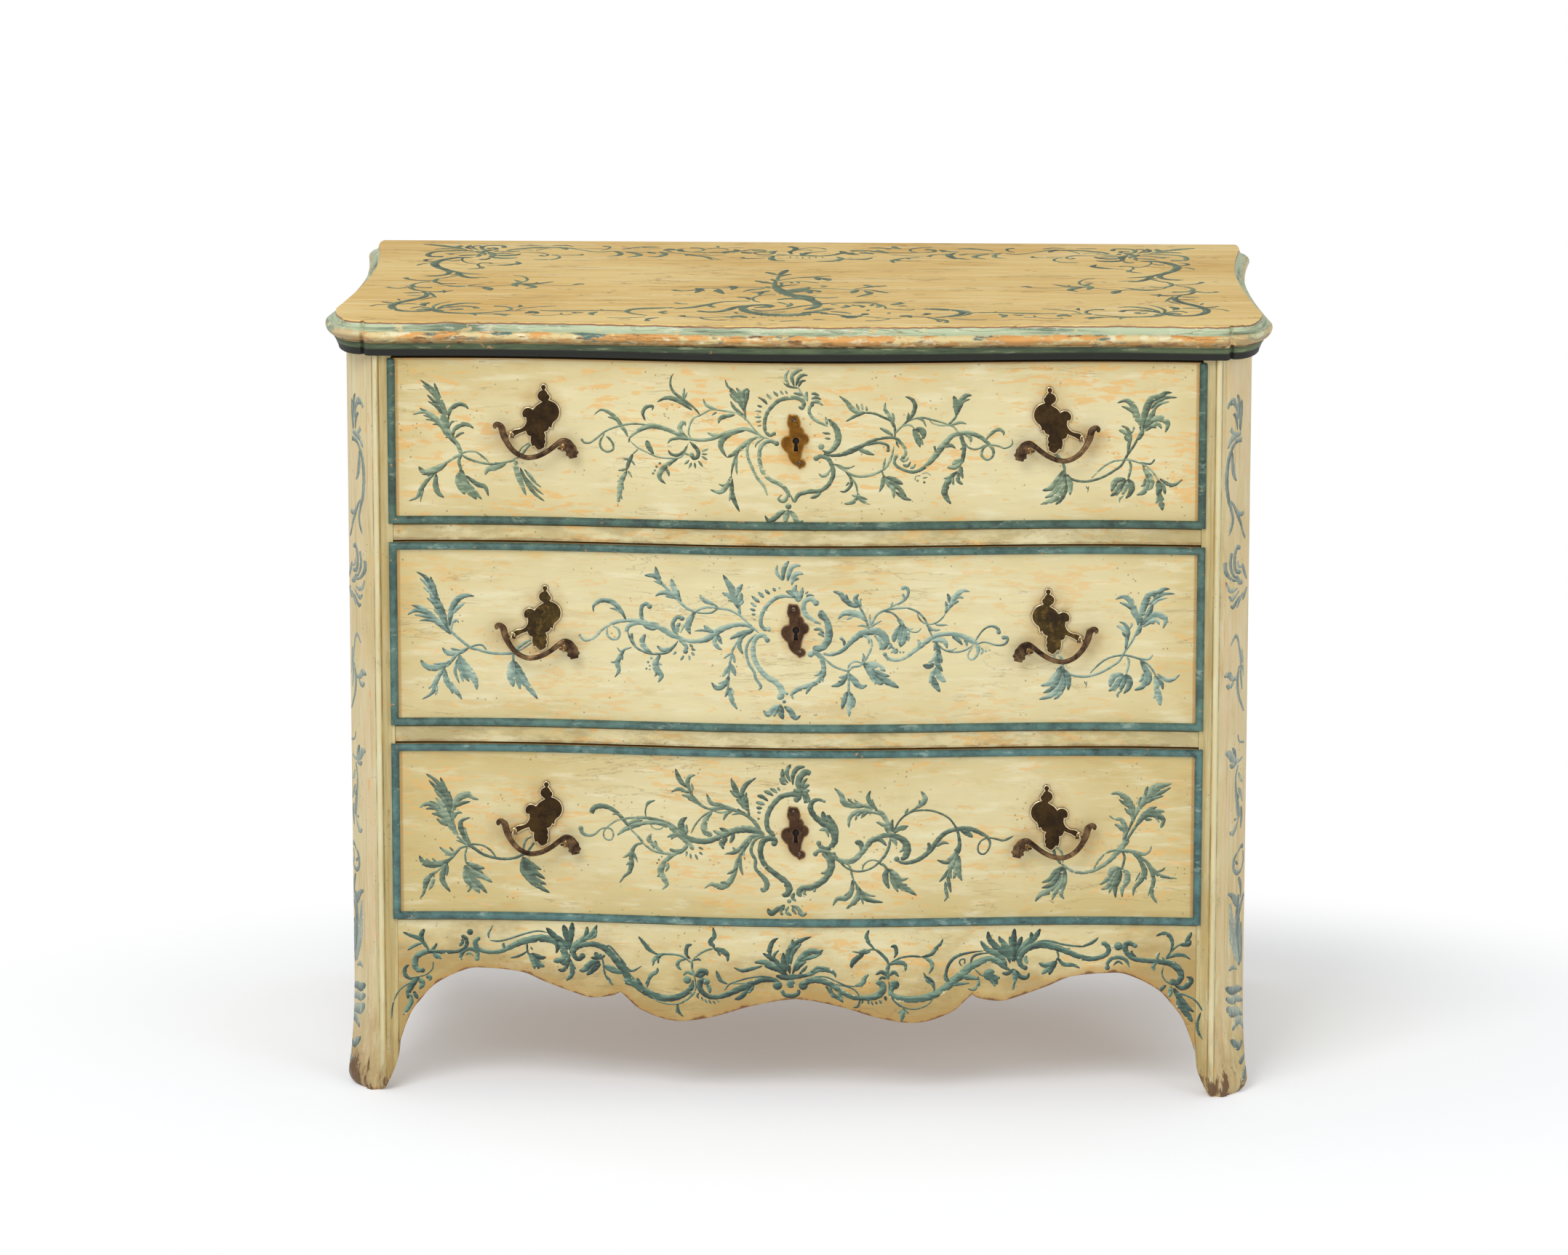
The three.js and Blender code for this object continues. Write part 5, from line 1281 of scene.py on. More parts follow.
CARTOUCHE = (
    (CURL, 5, -23, -3, -30, 0, -38, -3, -43, -11, -43, -25, -39, -38, -30, -47, -18, -53, -11, -60, -9, -66,
     -15, -73,
     -21, -70, -17, -65),
    (CURL, (4, 4.5, 5, 5.5, 4), -26, 9, -32, 7, -37, 15, -36, 29, -30, 40, -20, 49, -8, 52, 2, 52, 9, 47,
     7.5, 40, 3, 42),
    (LEAF, 3.5, -34, 44, -38, 49, -45, 53), (LEAF, 3, -40, 41, -46, 43), (LEAF, 3.5, -41, 35.5, -49, 36),
    (LEAF, 3, -41, 29, -49, 29), (LEAF, 2.5, -41, 24, -48, 23), (LEAF, 2, -41, 19, -46, 18),
    (LEAF, 4, -29, 50.5, -35, 57), (LEAF, 3.5, -21, 54, -27, 60), (LEAF, 3, -15, 56, -19, 61),
    (LEAF, 2.5, -10, 57, -13, 61), (STEM, 2.5, 14, 48, 7, 57, 3, 64), (LEAF, 3, 3, 64, -8, 66, -15, 70),
    (LEAF, 4, -8, 67, -12.5, 77, -8, 86), (LEAF, 5, -2, 66, -5, 78, 1, 84, 8, 86),
    (LEAF, 4.5, 0, 66, 3, 76, 9, 80, 14, 79), (LEAF, 4, 3, 65, 6, 72, 12, 73), (LEAF, 4, -3, 58, 4, 57, 10,
     54),
    (LEAF, 4.5, 13, 60, 12, 54, 14, 48), (LEAF, 3.5, 18, 57, 22, 57.5, 28, 55), (LEAF, 4, 18, 51, 24, 53, 30,
     50),
    (LEAF, 4.5, 17, 46, 25, 48, 32, 43), (CURL, 4, 19, 44, 16, 40, 16, 34, 21, 27, 30, 22, 38, 18),
    (LEAF, 9, 38, 27, 45, 20, 49, 12, 50, 2, 45, -8, 38, -13, 31, -11), (DOT, 3.5, 30, -6.5),
    (LEAF, 3.5, 37, 20, 35, 30), (LEAF, 3.5, 42, 18, 41, 27), (LEAF, 3.5, 41, 9, 31, 10.5), (LEAF, 3, 41, 3,
     34, 4),
    (CURL, 5.5, 24, -20.5, 30, -18, 38, -21, 43, -30, 44, -41, 38, -53, 28, -60, 15, -61, 3, -65, -2, -73,
     -6, -66),
    (LEAF, 4, 43, -31, 37, -40, 31, -42, 27, -39), (LEAF, 5, 30, -60, 24, -66, 17, -69), (DOT, 3.5, -9, -79),
    (LEAF, 7, -11, -85, -18, -87, -25, -93, -32, -97, -37, -90), (LEAF, 7.5, -9, -83, -12, -92, -12, -99),
    (LEAF, 6.5, -7, -84, -2, -91, 2.5, -98, 9, -96),
)
SCROLL_RIGHT = (
    (STEM, (2.5, 3.5, 5, 7, 5, 4, 3.5, 3.5, 4), 33, -15, 43, -17, 55, -15.5, 67, -10.5, 78, -5, 92, 2, 105, 5,
     117, 5, 125, -1),
    (LEAF, 5.5, 74, -9, 82, -12, 93, -16), (CURL, 3.5, 109, -10, 108.5, -4, 100, -1, 90, -2, 82, -5),
    (STEM, 3, 117, 6, 117, 17, 113, 25, 103, 30, 92, 34.5, 80, 35), (LEAF, 4, 82, 35, 70, 31, 59, 24),
    (LEAF, 6, 84, 35, 72, 36, 65, 41, 60, 48, 51, 55), (LEAF, 3, 75, 38, 71, 46), (LEAF, 3, 79, 38, 77.5, 46),
    (LEAF, 3, 84, 37, 83, 43), (LEAF, 4.5, 116, 17, 110, 32, 105, 40, 106, 48), (LEAF, 4, 115, 22, 115, 30,
     114, 35.5),
    (LEAF, 4.5, 115, 8, 107, 13, 99, 17),
    (STEM, 3, 43, -26, 55, -33, 67, -40.5, 80, -42, 95, -38, 107, -30, 113, -18, 116, -5),
    (LEAF, 3.5, 45, -27, 56, -31, 62, -32, 70, -29), (LEAF, 4, 57, -34, 65, -44, 65, -53, 58, -60.5, 52, -60),
    (LEAF, 2.5, 63, -49, 59, -54), (STEM, 2.5, 66, -44, 71, -52, 73, -62), (LEAF, 5, 74, -64, 68, -73, 57,
     -75.5),
    (LEAF, 5, 73, -62, 77, -70, 88, -76), (LEAF, 3, 73, -66, 66, -65), (LEAF, 3, 75, -66, 85, -70),
    (STEM, 2.5, 102, -36, 104, -42), (LEAF, 7, 103, -40, 110, -50, 115, -56, 116, -68),
    (LEAF, 5, 104, -42, 103, -50, 99, -60.5), (LEAF, 3.5, 103, -42, 101, -52),
    (LEAF, 7, 106, -43, 117, -46, 127, -51), (LEAF, 6, 108, -48, 120, -54, 131, -66), (LEAF, 5, 118, -60,
     128, -67, 137, -70),
    (LEAF, 3, 103, -33, 106, -19),
    (CURL, (4, 4, 3.6, 4, 5, 6.5, 8, 7, 5.5, 5.5, 5.5, 5, 4.5, 3.5, 3, 3.4, 3.5, 3, 2.5, 2.2, 2.2, 2.2, 2),
     118.6, -17, 116.4, -23.7, 120, -29.4, 128.6, -33.7, 138.6, -35.9, 148.6, -32.3, 157, -25, 164.3, -16.6,
     171.4, -6.6, 178.6, 2, 185.7, 9.1, 197, 12, 207, 12, 217, 8.4, 224.3, 3.4, 229.3, -2.3, 233.6, -8,
     232.9, -15,
     227.9, -19.4, 222.9, -18, 219.7, -13.7, 220.7, -8, 224.3, -3.4, 231.4, -1.6, 240, -3, 247, -5.4, 254.3,
     -2.3,
     256.4, 2, 255, 7),
    (CURL, 4, 127, -18, 130, -13.7, 128.6, -6.6, 124.3, -0.9, 117.9, 2), (LEAF, 2.5, 118.6, 0.6, 120, -3,
     122, -6.6),
    (LEAF, 4, 123, -20, 129, -22.5, 133.5, -18), (LEAF, 4, 126.5, -27, 132, -28.5, 136, -23),
    (LEAF, 3.5, 135, -31, 139, -30, 141.5, -26),
    (STEM, 2.5, 117, 10, 120, 14, 125, 19, 131, 21, 136, 20.5, 140, 17), (LEAF, 9, 139, 17, 142, 10, 144, 4,
     147, -6),
    (LEAF, 8, 141, 16, 148, 15, 151, 10, 150, 4), (LEAF, 4, 143, 8, 143, 2, 144, -2), (LEAF, 3.5, 147, 6,
     149, 0, 150.5, -3),
    (STEM, 2.5, 119, 12, 127, 21, 133, 26, 141, 29, 150, 30, 158, 28.5, 168, 26, 175, 24, 180, 22),
    (LEAF, 5, 129, 24, 135, 29, 139, 36, 141, 44, 138, 51, 133, 54, 129, 55), (LEAF, 3, 131, 27, 133, 32,
     133, 36),
    (STEM, 2, 158, 27, 163, 23, 172, 21, 180, 21.5, 187, 22), (LEAF, 3, 143, 29, 150, 27, 154, 19),
    (STEM, 3, 180, 22, 187, 29, 190, 34), (LEAF, 9, 189, 33, 192, 42, 195, 50, 200, 57, 208, 58),
    (LEAF, 8, 190, 33, 190, 43, 189, 50, 186, 57), (LEAF, 4, 193, 44, 198, 51, 206, 53), (LEAF, 3, 189, 38,
     187, 43, 186.5, 46),
    (LEAF, 4, 182, 21, 190, 24, 196, 25, 202, 23), (STEM, 2.5, 180, 22, 186, 20, 190, 16, 194, 12),
    (STEM, 5, 195, 10, 197, 3, 199, -5, 198, -16, 196, -25), (LEAF, 5, 200, 11, 206, 7, 207, 1),
    (LEAF, 3.5, 197, 2, 198, -4, 194, -8), (STEM, 2.5, 199, 2, 203, -4, 210, -7, 217, -6, 222, -3, 227, -2),
    (LEAF, 7, 197, -20, 190, -23, 185, -26), (LEAF, 6.5, 196, -24, 188, -29, 179, -29.5),
    (LEAF, 6, 196, -28, 195, -35, 198, -43), (LEAF, 8, 192, -34, 183, -42, 178, -52, 176, -60, 180, -69, 184,
     -74),
    (LEAF, 4, 187, -37, 181, -42, 175, -43), (LEAF, 3.5, 186, -40, 186, -47, 187, -51),
    (LEAF, 5, 193, -34, 192, -45, 198, -50), (LEAF, 5, 171, -5, 176, -4, 184, -3, 189, -7),
    (STEM, 1.5, 149, -38, 155, -36.5, 160, -40), (STEM, 1.2, 141, -46, 142, -41, 148, -40), (DOT, 1.5, 144,
     -46),
    (DOT, 1.5, 152, -48), (LEAF, 2, 150, -43, 156, -42),
    (LEAF, 4.5, 225, 4, 229, 10, 236, 16, 242, 17, 246, 13, 245, 10), (CURL, 2.6, 164, -5, 165, -9, 167, -12),
)
SPRAY_RIGHT = (
    (STEM, 3.5, 306, -12, 310, -14, 315, -20, 318, -28, 318, -36), (LEAF, 3, 304, -14, 308, -20, 308, -22),
    (LEAF, 15, 318, -31, 314, -43, 309, -54, 304, -60), (LEAF, 9, 316, -33, 309, -45, 302, -53, 292, -56),
    (LEAF, 9, 318, -36, 313, -50, 306, -59, 295, -65), (LEAF, 8, 319, -38, 315, -55, 305, -67, 290, -73),
    (LEAF, 7, 320, -40, 319, -54, 314, -66, 308, -73), (LEAF, 7, 321, -36, 325, -48, 325, -61.5),
    (LEAF, 7, 318, -40, 311, -48, 306, -47),
    (STEM, 3, 322, -36, 326, -41, 333, -43.7, 344, -44.4, 355.7, -42, 367, -37.3, 378.6, -30, 385.7, -24.4,
     390, -16.6,
     394.3, -9.4, 400, -1, 404.3, 7.7, 408, 16),
    (STEM, 2.5, 351, -40, 358.6, -31.6, 367, -24.4, 375.7, -20, 385.7, -18, 393, -17.6, 401.4, -19.4, 410,
     -22.3,
     417, -26.6, 423, -32.3, 428, -40, 430.7, -46.6),
    (STEM, 2.5, 408, -21, 415.7, -22.3, 421, -22, 425.4, -16.6),
    (LEAF, 10, 407.9, 18, 407, 28, 404, 33, 401.4, 40.6, 397.9, 49, 390, 54, 380, 50.6), (LEAF, 4, 400, 38,
     393, 44, 385, 47),
    (LEAF, 10, 411, 18, 411.4, 28, 413.6, 40.6, 420, 54.9, 431.4, 59, 437, 63.4, 445, 64),
    (LEAF, 5, 420, 44, 428, 53, 438, 58, 451, 58), (LEAF, 4, 421, 40, 430, 50, 442, 53), (LEAF, 7, 412, 22,
     420, 34, 425, 46),
    (LEAF, 9, 412, 19, 421.4, 30, 430, 32.7, 438.6, 29, 440, 23.4, 437, 15.6), (LEAF, 5, 418, 22, 428, 26,
     433, 20),
    (LEAF, 4, 413, 17, 421, 22.5, 427, 21), (LEAF, 6, 404, 6, 409, 14, 411, 24),
    (LEAF, 5, 392.9, -12.3, 394.3, 0.6, 395.7, 12, 391.4, 20.6, 385, 23), (LEAF, 5, 395, 10, 388, 16, 382,
     18),
    (LEAF, 4, 395, 4, 391, 8, 389, 11), (LEAF, 3, 397, 14, 400, 20, 399, 22), (STEM, 3, 404, 8, 407, 14, 410,
     22),
    (STEM, 3, 395, -19.4, 397, -25, 395.7, -33.7, 393.6, -41), (LEAF, 9, 391, -41, 380, -43, 376, -50, 374.5,
     -57),
    (LEAF, 9, 392, -42, 385, -50, 380, -57, 373, -62), (LEAF, 9, 393, -42, 390, -52, 387, -61),
    (LEAF, 9, 393, -41, 398, -48, 397, -57, 391, -65), (LEAF, 3, 390, -60, 384, -65, 384.5, -70),
    (LEAF, 3, 386, -52, 382, -58, 380, -62), (LEAF, 9, 411, -24, 416, -33, 421, -42, 421, -50, 418, -55),
    (LEAF, 9, 416, -34, 418, -46, 413, -56, 404, -60.5), (LEAF, 4, 414, -40, 413, -47, 409, -50),
    (LEAF, 5, 430, -44, 436, -51, 438, -59.5), (LEAF, 8, 429, -42, 431, -52, 428, -61),
    (LEAF, 8, 430, -56, 433, -68, 435, -79), (LEAF, 4, 430, -60, 429, -66, 427, -70.5),
    (LEAF, 5, 431, -40, 438, -45, 444.3, -48, 451.4, -46, 458, -40.5), (LEAF, 1.5, 344, -50, 346, -54),
    (LEAF, 1.5, 347, -50, 346, -58),
)
APRON_LEFT = (
    (CURL, (5, 7, 8, 7.5, 7, 6, 5), -452, 36, -458, 37, -461, 44, -459, 53, -451, 58, -443, 60, -434, 60),
    (STEM, (5, 5, 4, 4.5, 5, 4), -446, 60, -432, 59, -418, 59, -408, 60, -401, 64, -398, 70, -400, 77, -405,
     79),
    (LEAF, 5, -407, 66, -404, 71, -403, 76), (DOT, 3.6, -394, 84), (LEAF, 7, -440, 60, -434, 54, -428, 50),
    (CURL, 5, -386, 51, -385, 58, -390, 62, -396, 63, -402, 60, -406, 53, -404, 49), (LEAF, 3, -400, 55,
     -395, 58, -390, 54),
    (LEAF, 4, -452, 82, -453, 76, -449, 68, -444, 61), (LEAF, 6, -449, 88, -453, 80, -450, 72),
    (LEAF, 5, -475, 84, -466, 80, -456, 76, -449, 70, -444, 62), (LEAF, 4, -470, 61, -463, 66, -456, 69,
     -449, 69),
    (LEAF, 4, -434, 70, -438, 64, -443, 60), (LEAF, 5, -468, 43, -473, 39, -473, 31, -467, 26, -457, 28),
    (STEM, 1.6, -457, 28, -447, 31, -440, 38, -439, 47), (LEAF, 8, -456, 28, -463, 21, -469, 10, -470, 0),
    (LEAF, 7, -457, 26, -452, 20, -456, 12), (LEAF, 6, -467, 8, -466, -3, -472, -14, -476, -20),
    (LEAF, 6, -448, 28, -443, 27, -444, 23), (LEAF, 5, -463, 10, -460, 4, -458, 0),
    (STEM, 2, -458, 24, -470, 19, -481, 10, -488, -6, -490, -25),
    (CURL, (4, 7, 6, 5, 5, 6, 8, 9, 10, 9, 8, 9, 8, 7, 5), -384, 76, -388, 72, -386, 65, -380, 61, -370, 59,
     -358, 60,
     -347, 65, -335, 71, -322, 75, -308, 77, -295, 75, -286, 70, -281, 62, -279, 55, -282, 50, -290, 49,
     -293, 47),
    (LEAF, 3, -371, 76, -372, 82, -369, 88, -366, 93), (STEM, 2.4, -370, 74, -360, 73, -350, 75, -338, 79,
     -326, 83, -312, 86, -300, 84),
    (LEAF, 4, -352, 64, -354, 68, -353, 71), (LEAF, 6, -300, 84, -290, 79, -281, 72, -276, 62),
    (LEAF, 9, -302, 90, -296, 84, -290, 76, -288, 66, -290, 58), (LEAF, 10, -281, 94, -278, 84, -275, 74,
     -274, 62),
    (LEAF, 9, -270, 97, -271, 86, -273, 74, -274, 62), (LEAF, 9, -240, 94, -247, 82, -260, 74, -270, 66,
     -273, 58),
    (LEAF, 5, -252, 92, -253, 84, -258, 76), (LEAF, 4, -241, 90, -243, 80, -252, 76),
    (STEM, (3, 6, 7, 7, 8, 8, 9, 9, 9, 8, 7, 6), -264, 50, -269, 56, -267, 64, -258, 69, -245, 70, -233, 66,
     -224, 58,
     -216, 48, -208, 37, -200, 26, -190, 17, -178, 9, -165, 4, -150, 3, -137, 7, -127, 15, -124, 26),
    (CURL, 6, -258, 55, -262, 51, -267, 54, -269, 61), (LEAF, 6, -286, 49, -281, 46, -276, 50, -273, 58),
    (LEAF, 5, -288, 38, -282, 37, -277, 42, -273, 50), (LEAF, 6, -278, 24, -271, 32, -271, 42, -273, 52),
    (LEAF, 3, -266, 38, -270, 44, -272, 50), (STEM, 2.4, -325, 70, -325, 62, -323, 56), (LEAF, 9, -322, 58,
     -318, 50, -316, 38),
    (LEAF, 9, -322, 56, -312, 46, -304, 41), (LEAF, 6, -320, 58, -310, 53, -302, 53), (LEAF, 5, -319, 54,
     -313, 44, -311, 38),
    (LEAF, 3, -323, 62, -332, 56, -340, 53, -346, 52), (LEAF, 2.4, -321, 66, -318, 62),
    (STEM, 2.6, -232, 64, -226, 68, -218, 60, -210, 50, -205, 44), (STEM, 2.4, -236, 56, -233, 48, -232, 38,
     -230, 30),
    (LEAF, 4, -231, 32, -225, 24, -221, 18), (LEAF, 8, -236, 48, -247, 46, -256, 38, -262, 37), (LEAF, 8,
     -236, 46, -246, 38, -253, 31),
    (LEAF, 5, -240, 44, -246, 40, -248, 35), (LEAF, 7, -243, 60, -238, 54, -230, 56), (LEAF, 5, -248, 53,
     -240, 53, -235, 58),
    (LEAF, 8, -232, 43, -225, 40, -216, 36, -208, 34), (LEAF, 3.4, -212, 50, -204, 40, -197, 37, -186, 43),
    (LEAF, 6, -198, 26, -206, 24, -196, 18), (LEAF, 5, -192, 28, -188, 20, -182, 12), (LEAF, 5, -180, 16,
     -176, 30, -168, 36, -167, 41),
    (LEAF, 3, -182, 20, -176, 30, -172, 34),
    (LEAF, 5, -190, 80, -182, 70, -175, 62, -165, 57), (LEAF, 3, -182, 72, -181, 66, -176, 61),
    (STEM, 2.6, -168, 58, -154, 58, -142, 57, -133, 53, -126, 47), (LEAF, 5, -173, 43, -171, 51, -165, 56,
     -158, 58),
    (LEAF, 3, -166, 46, -166, 52, -162, 56), (LEAF, 5, -125, 70, -131, 68, -132, 58, -127, 52),
    (LEAF, 4.5, -138, 38, -143, 44, -140, 50, -131, 52), (STEM, 3, -125, 48, -125, 40, -122, 30),
    (STEM, 2.6, -126, 48, -118, 57, -108, 63, -98, 66), (LEAF, 6, -98, 66, -101, 74, -98, 82, -100, 92),
    (LEAF, 4, -102, 68, -104, 74, -101, 80), (LEAF, 7, -99, 65, -90, 63, -83, 58, -82, 49), (LEAF, 4, -94,
     63, -91, 56),
    (LEAF, 3, -126, 50, -118, 52, -114, 50), (DOT, 4.6, -131, 26), (LEAF, 4, -124, 32, -131, 36, -136, 31),
    (LEAF, 6, -121, 30, -116, 37, -108, 37, -107, 31), (LEAF, 5, -120, 30, -113, 32, -107, 36),
    (STEM, 2, -122, 30, -121, 14, -128, 4, -138, -2), (STEM, 1.8, -176, 8, -168, 0, -156, -4, -142, -4, -130,
     2, -124, 14),
    (LEAF, 4, -143, -4, -142, -13, -136, -20), (LEAF, 3, -143, -9, -145, -15),
    (CURL, (7, 8, 7, 6, 6, 7, 8, 8, 7, 6, 5), -108, 24, -114, 25, -116, 17, -112, 10, -104, 5, -94, 5, -83,
     8, -70, 14,
     -56, 20, -44, 26, -33, 27, -24, 26, -20, 21),
    (DOT, 5.4, -22, 20), (LEAF, 5, -108, 22, -104, 15, -104, 9), (LEAF, 5, -96, 38, -93, 30, -90, 25, -82,
     21),
    (LEAF, 2.6, -94, 32, -88, 24), (LEAF, 6, -74, 2, -66, 5, -60, 12, -54, 18), (LEAF, 4, -58, 10, -54, 14,
     -50, 20),
    (STEM, 2, -86, 13, -80, 21, -70, 25, -56, 29, -42, 31, -28, 30), (STEM, 1.6, -80, 22, -66, 22, -54, 24),
    (LEAF, 3, -117, 10, -119, 6, -117, 3), (LEAF, 2.6, -114, 5, -112, 0), (LEAF, 2.6, -110, 2, -107, -3),
    (LEAF, 2.4, -105, 1, -102, -4), (LEAF, 2.2, -100, 0, -97, -4), (LEAF, 2, -95, 1, -92, -2),
)
PALMETTE = (
    (DOT, 5, -6, 22), (CURL, (4, 5, 6, 5, 4), -16, 12, -13, 8, -4, 7, 3, 10, 3, 15), (LEAF, 7, -24, 32, -14,
     30, 0, 31, 16, 32),
    (LEAF, 8, -10, 32, -20, 40, -28, 42, -38, 44), (LEAF, 7, -14, 33, -30, 46, -42, 49, -50, 48),
    (LEAF, 6, -12, 35, -24, 50, -33, 56, -40, 60), (LEAF, 6, -30, 50, -32, 62, -28, 74, -21, 79), (LEAF, 4,
     -27, 50, -26, 58, -20, 64),
    (LEAF, 5, -40, 44, -55, 40, -65, 38, -75, 42), (LEAF, 7, -12, 36, -14, 46, -15, 54, -15, 61),
    (LEAF, 8, -7, 34, -9, 48, -8, 62, -3, 70, 8, 77, 19, 81), (LEAF, 6, -6, 46, -5, 62, -4, 72, -4, 78),
    (LEAF, 5, -5, 56, 0, 66, 7, 72), (LEAF, 8, -4, 34, 2, 48, 10, 58, 20, 63, 28, 62, 33, 65), (LEAF, 5, 4,
     50, 14, 54, 24, 57, 32, 61),
    (LEAF, 5, 0, 38, 6, 46, 13, 50), (LEAF, 7, 0, 32, 16, 34, 26, 40, 38, 40, 46, 36, 48, 30), (LEAF, 4, 4,
     34, 10, 40, 14, 45),
    (LEAF, 5, 18, 36, 26, 42, 34, 41),
)
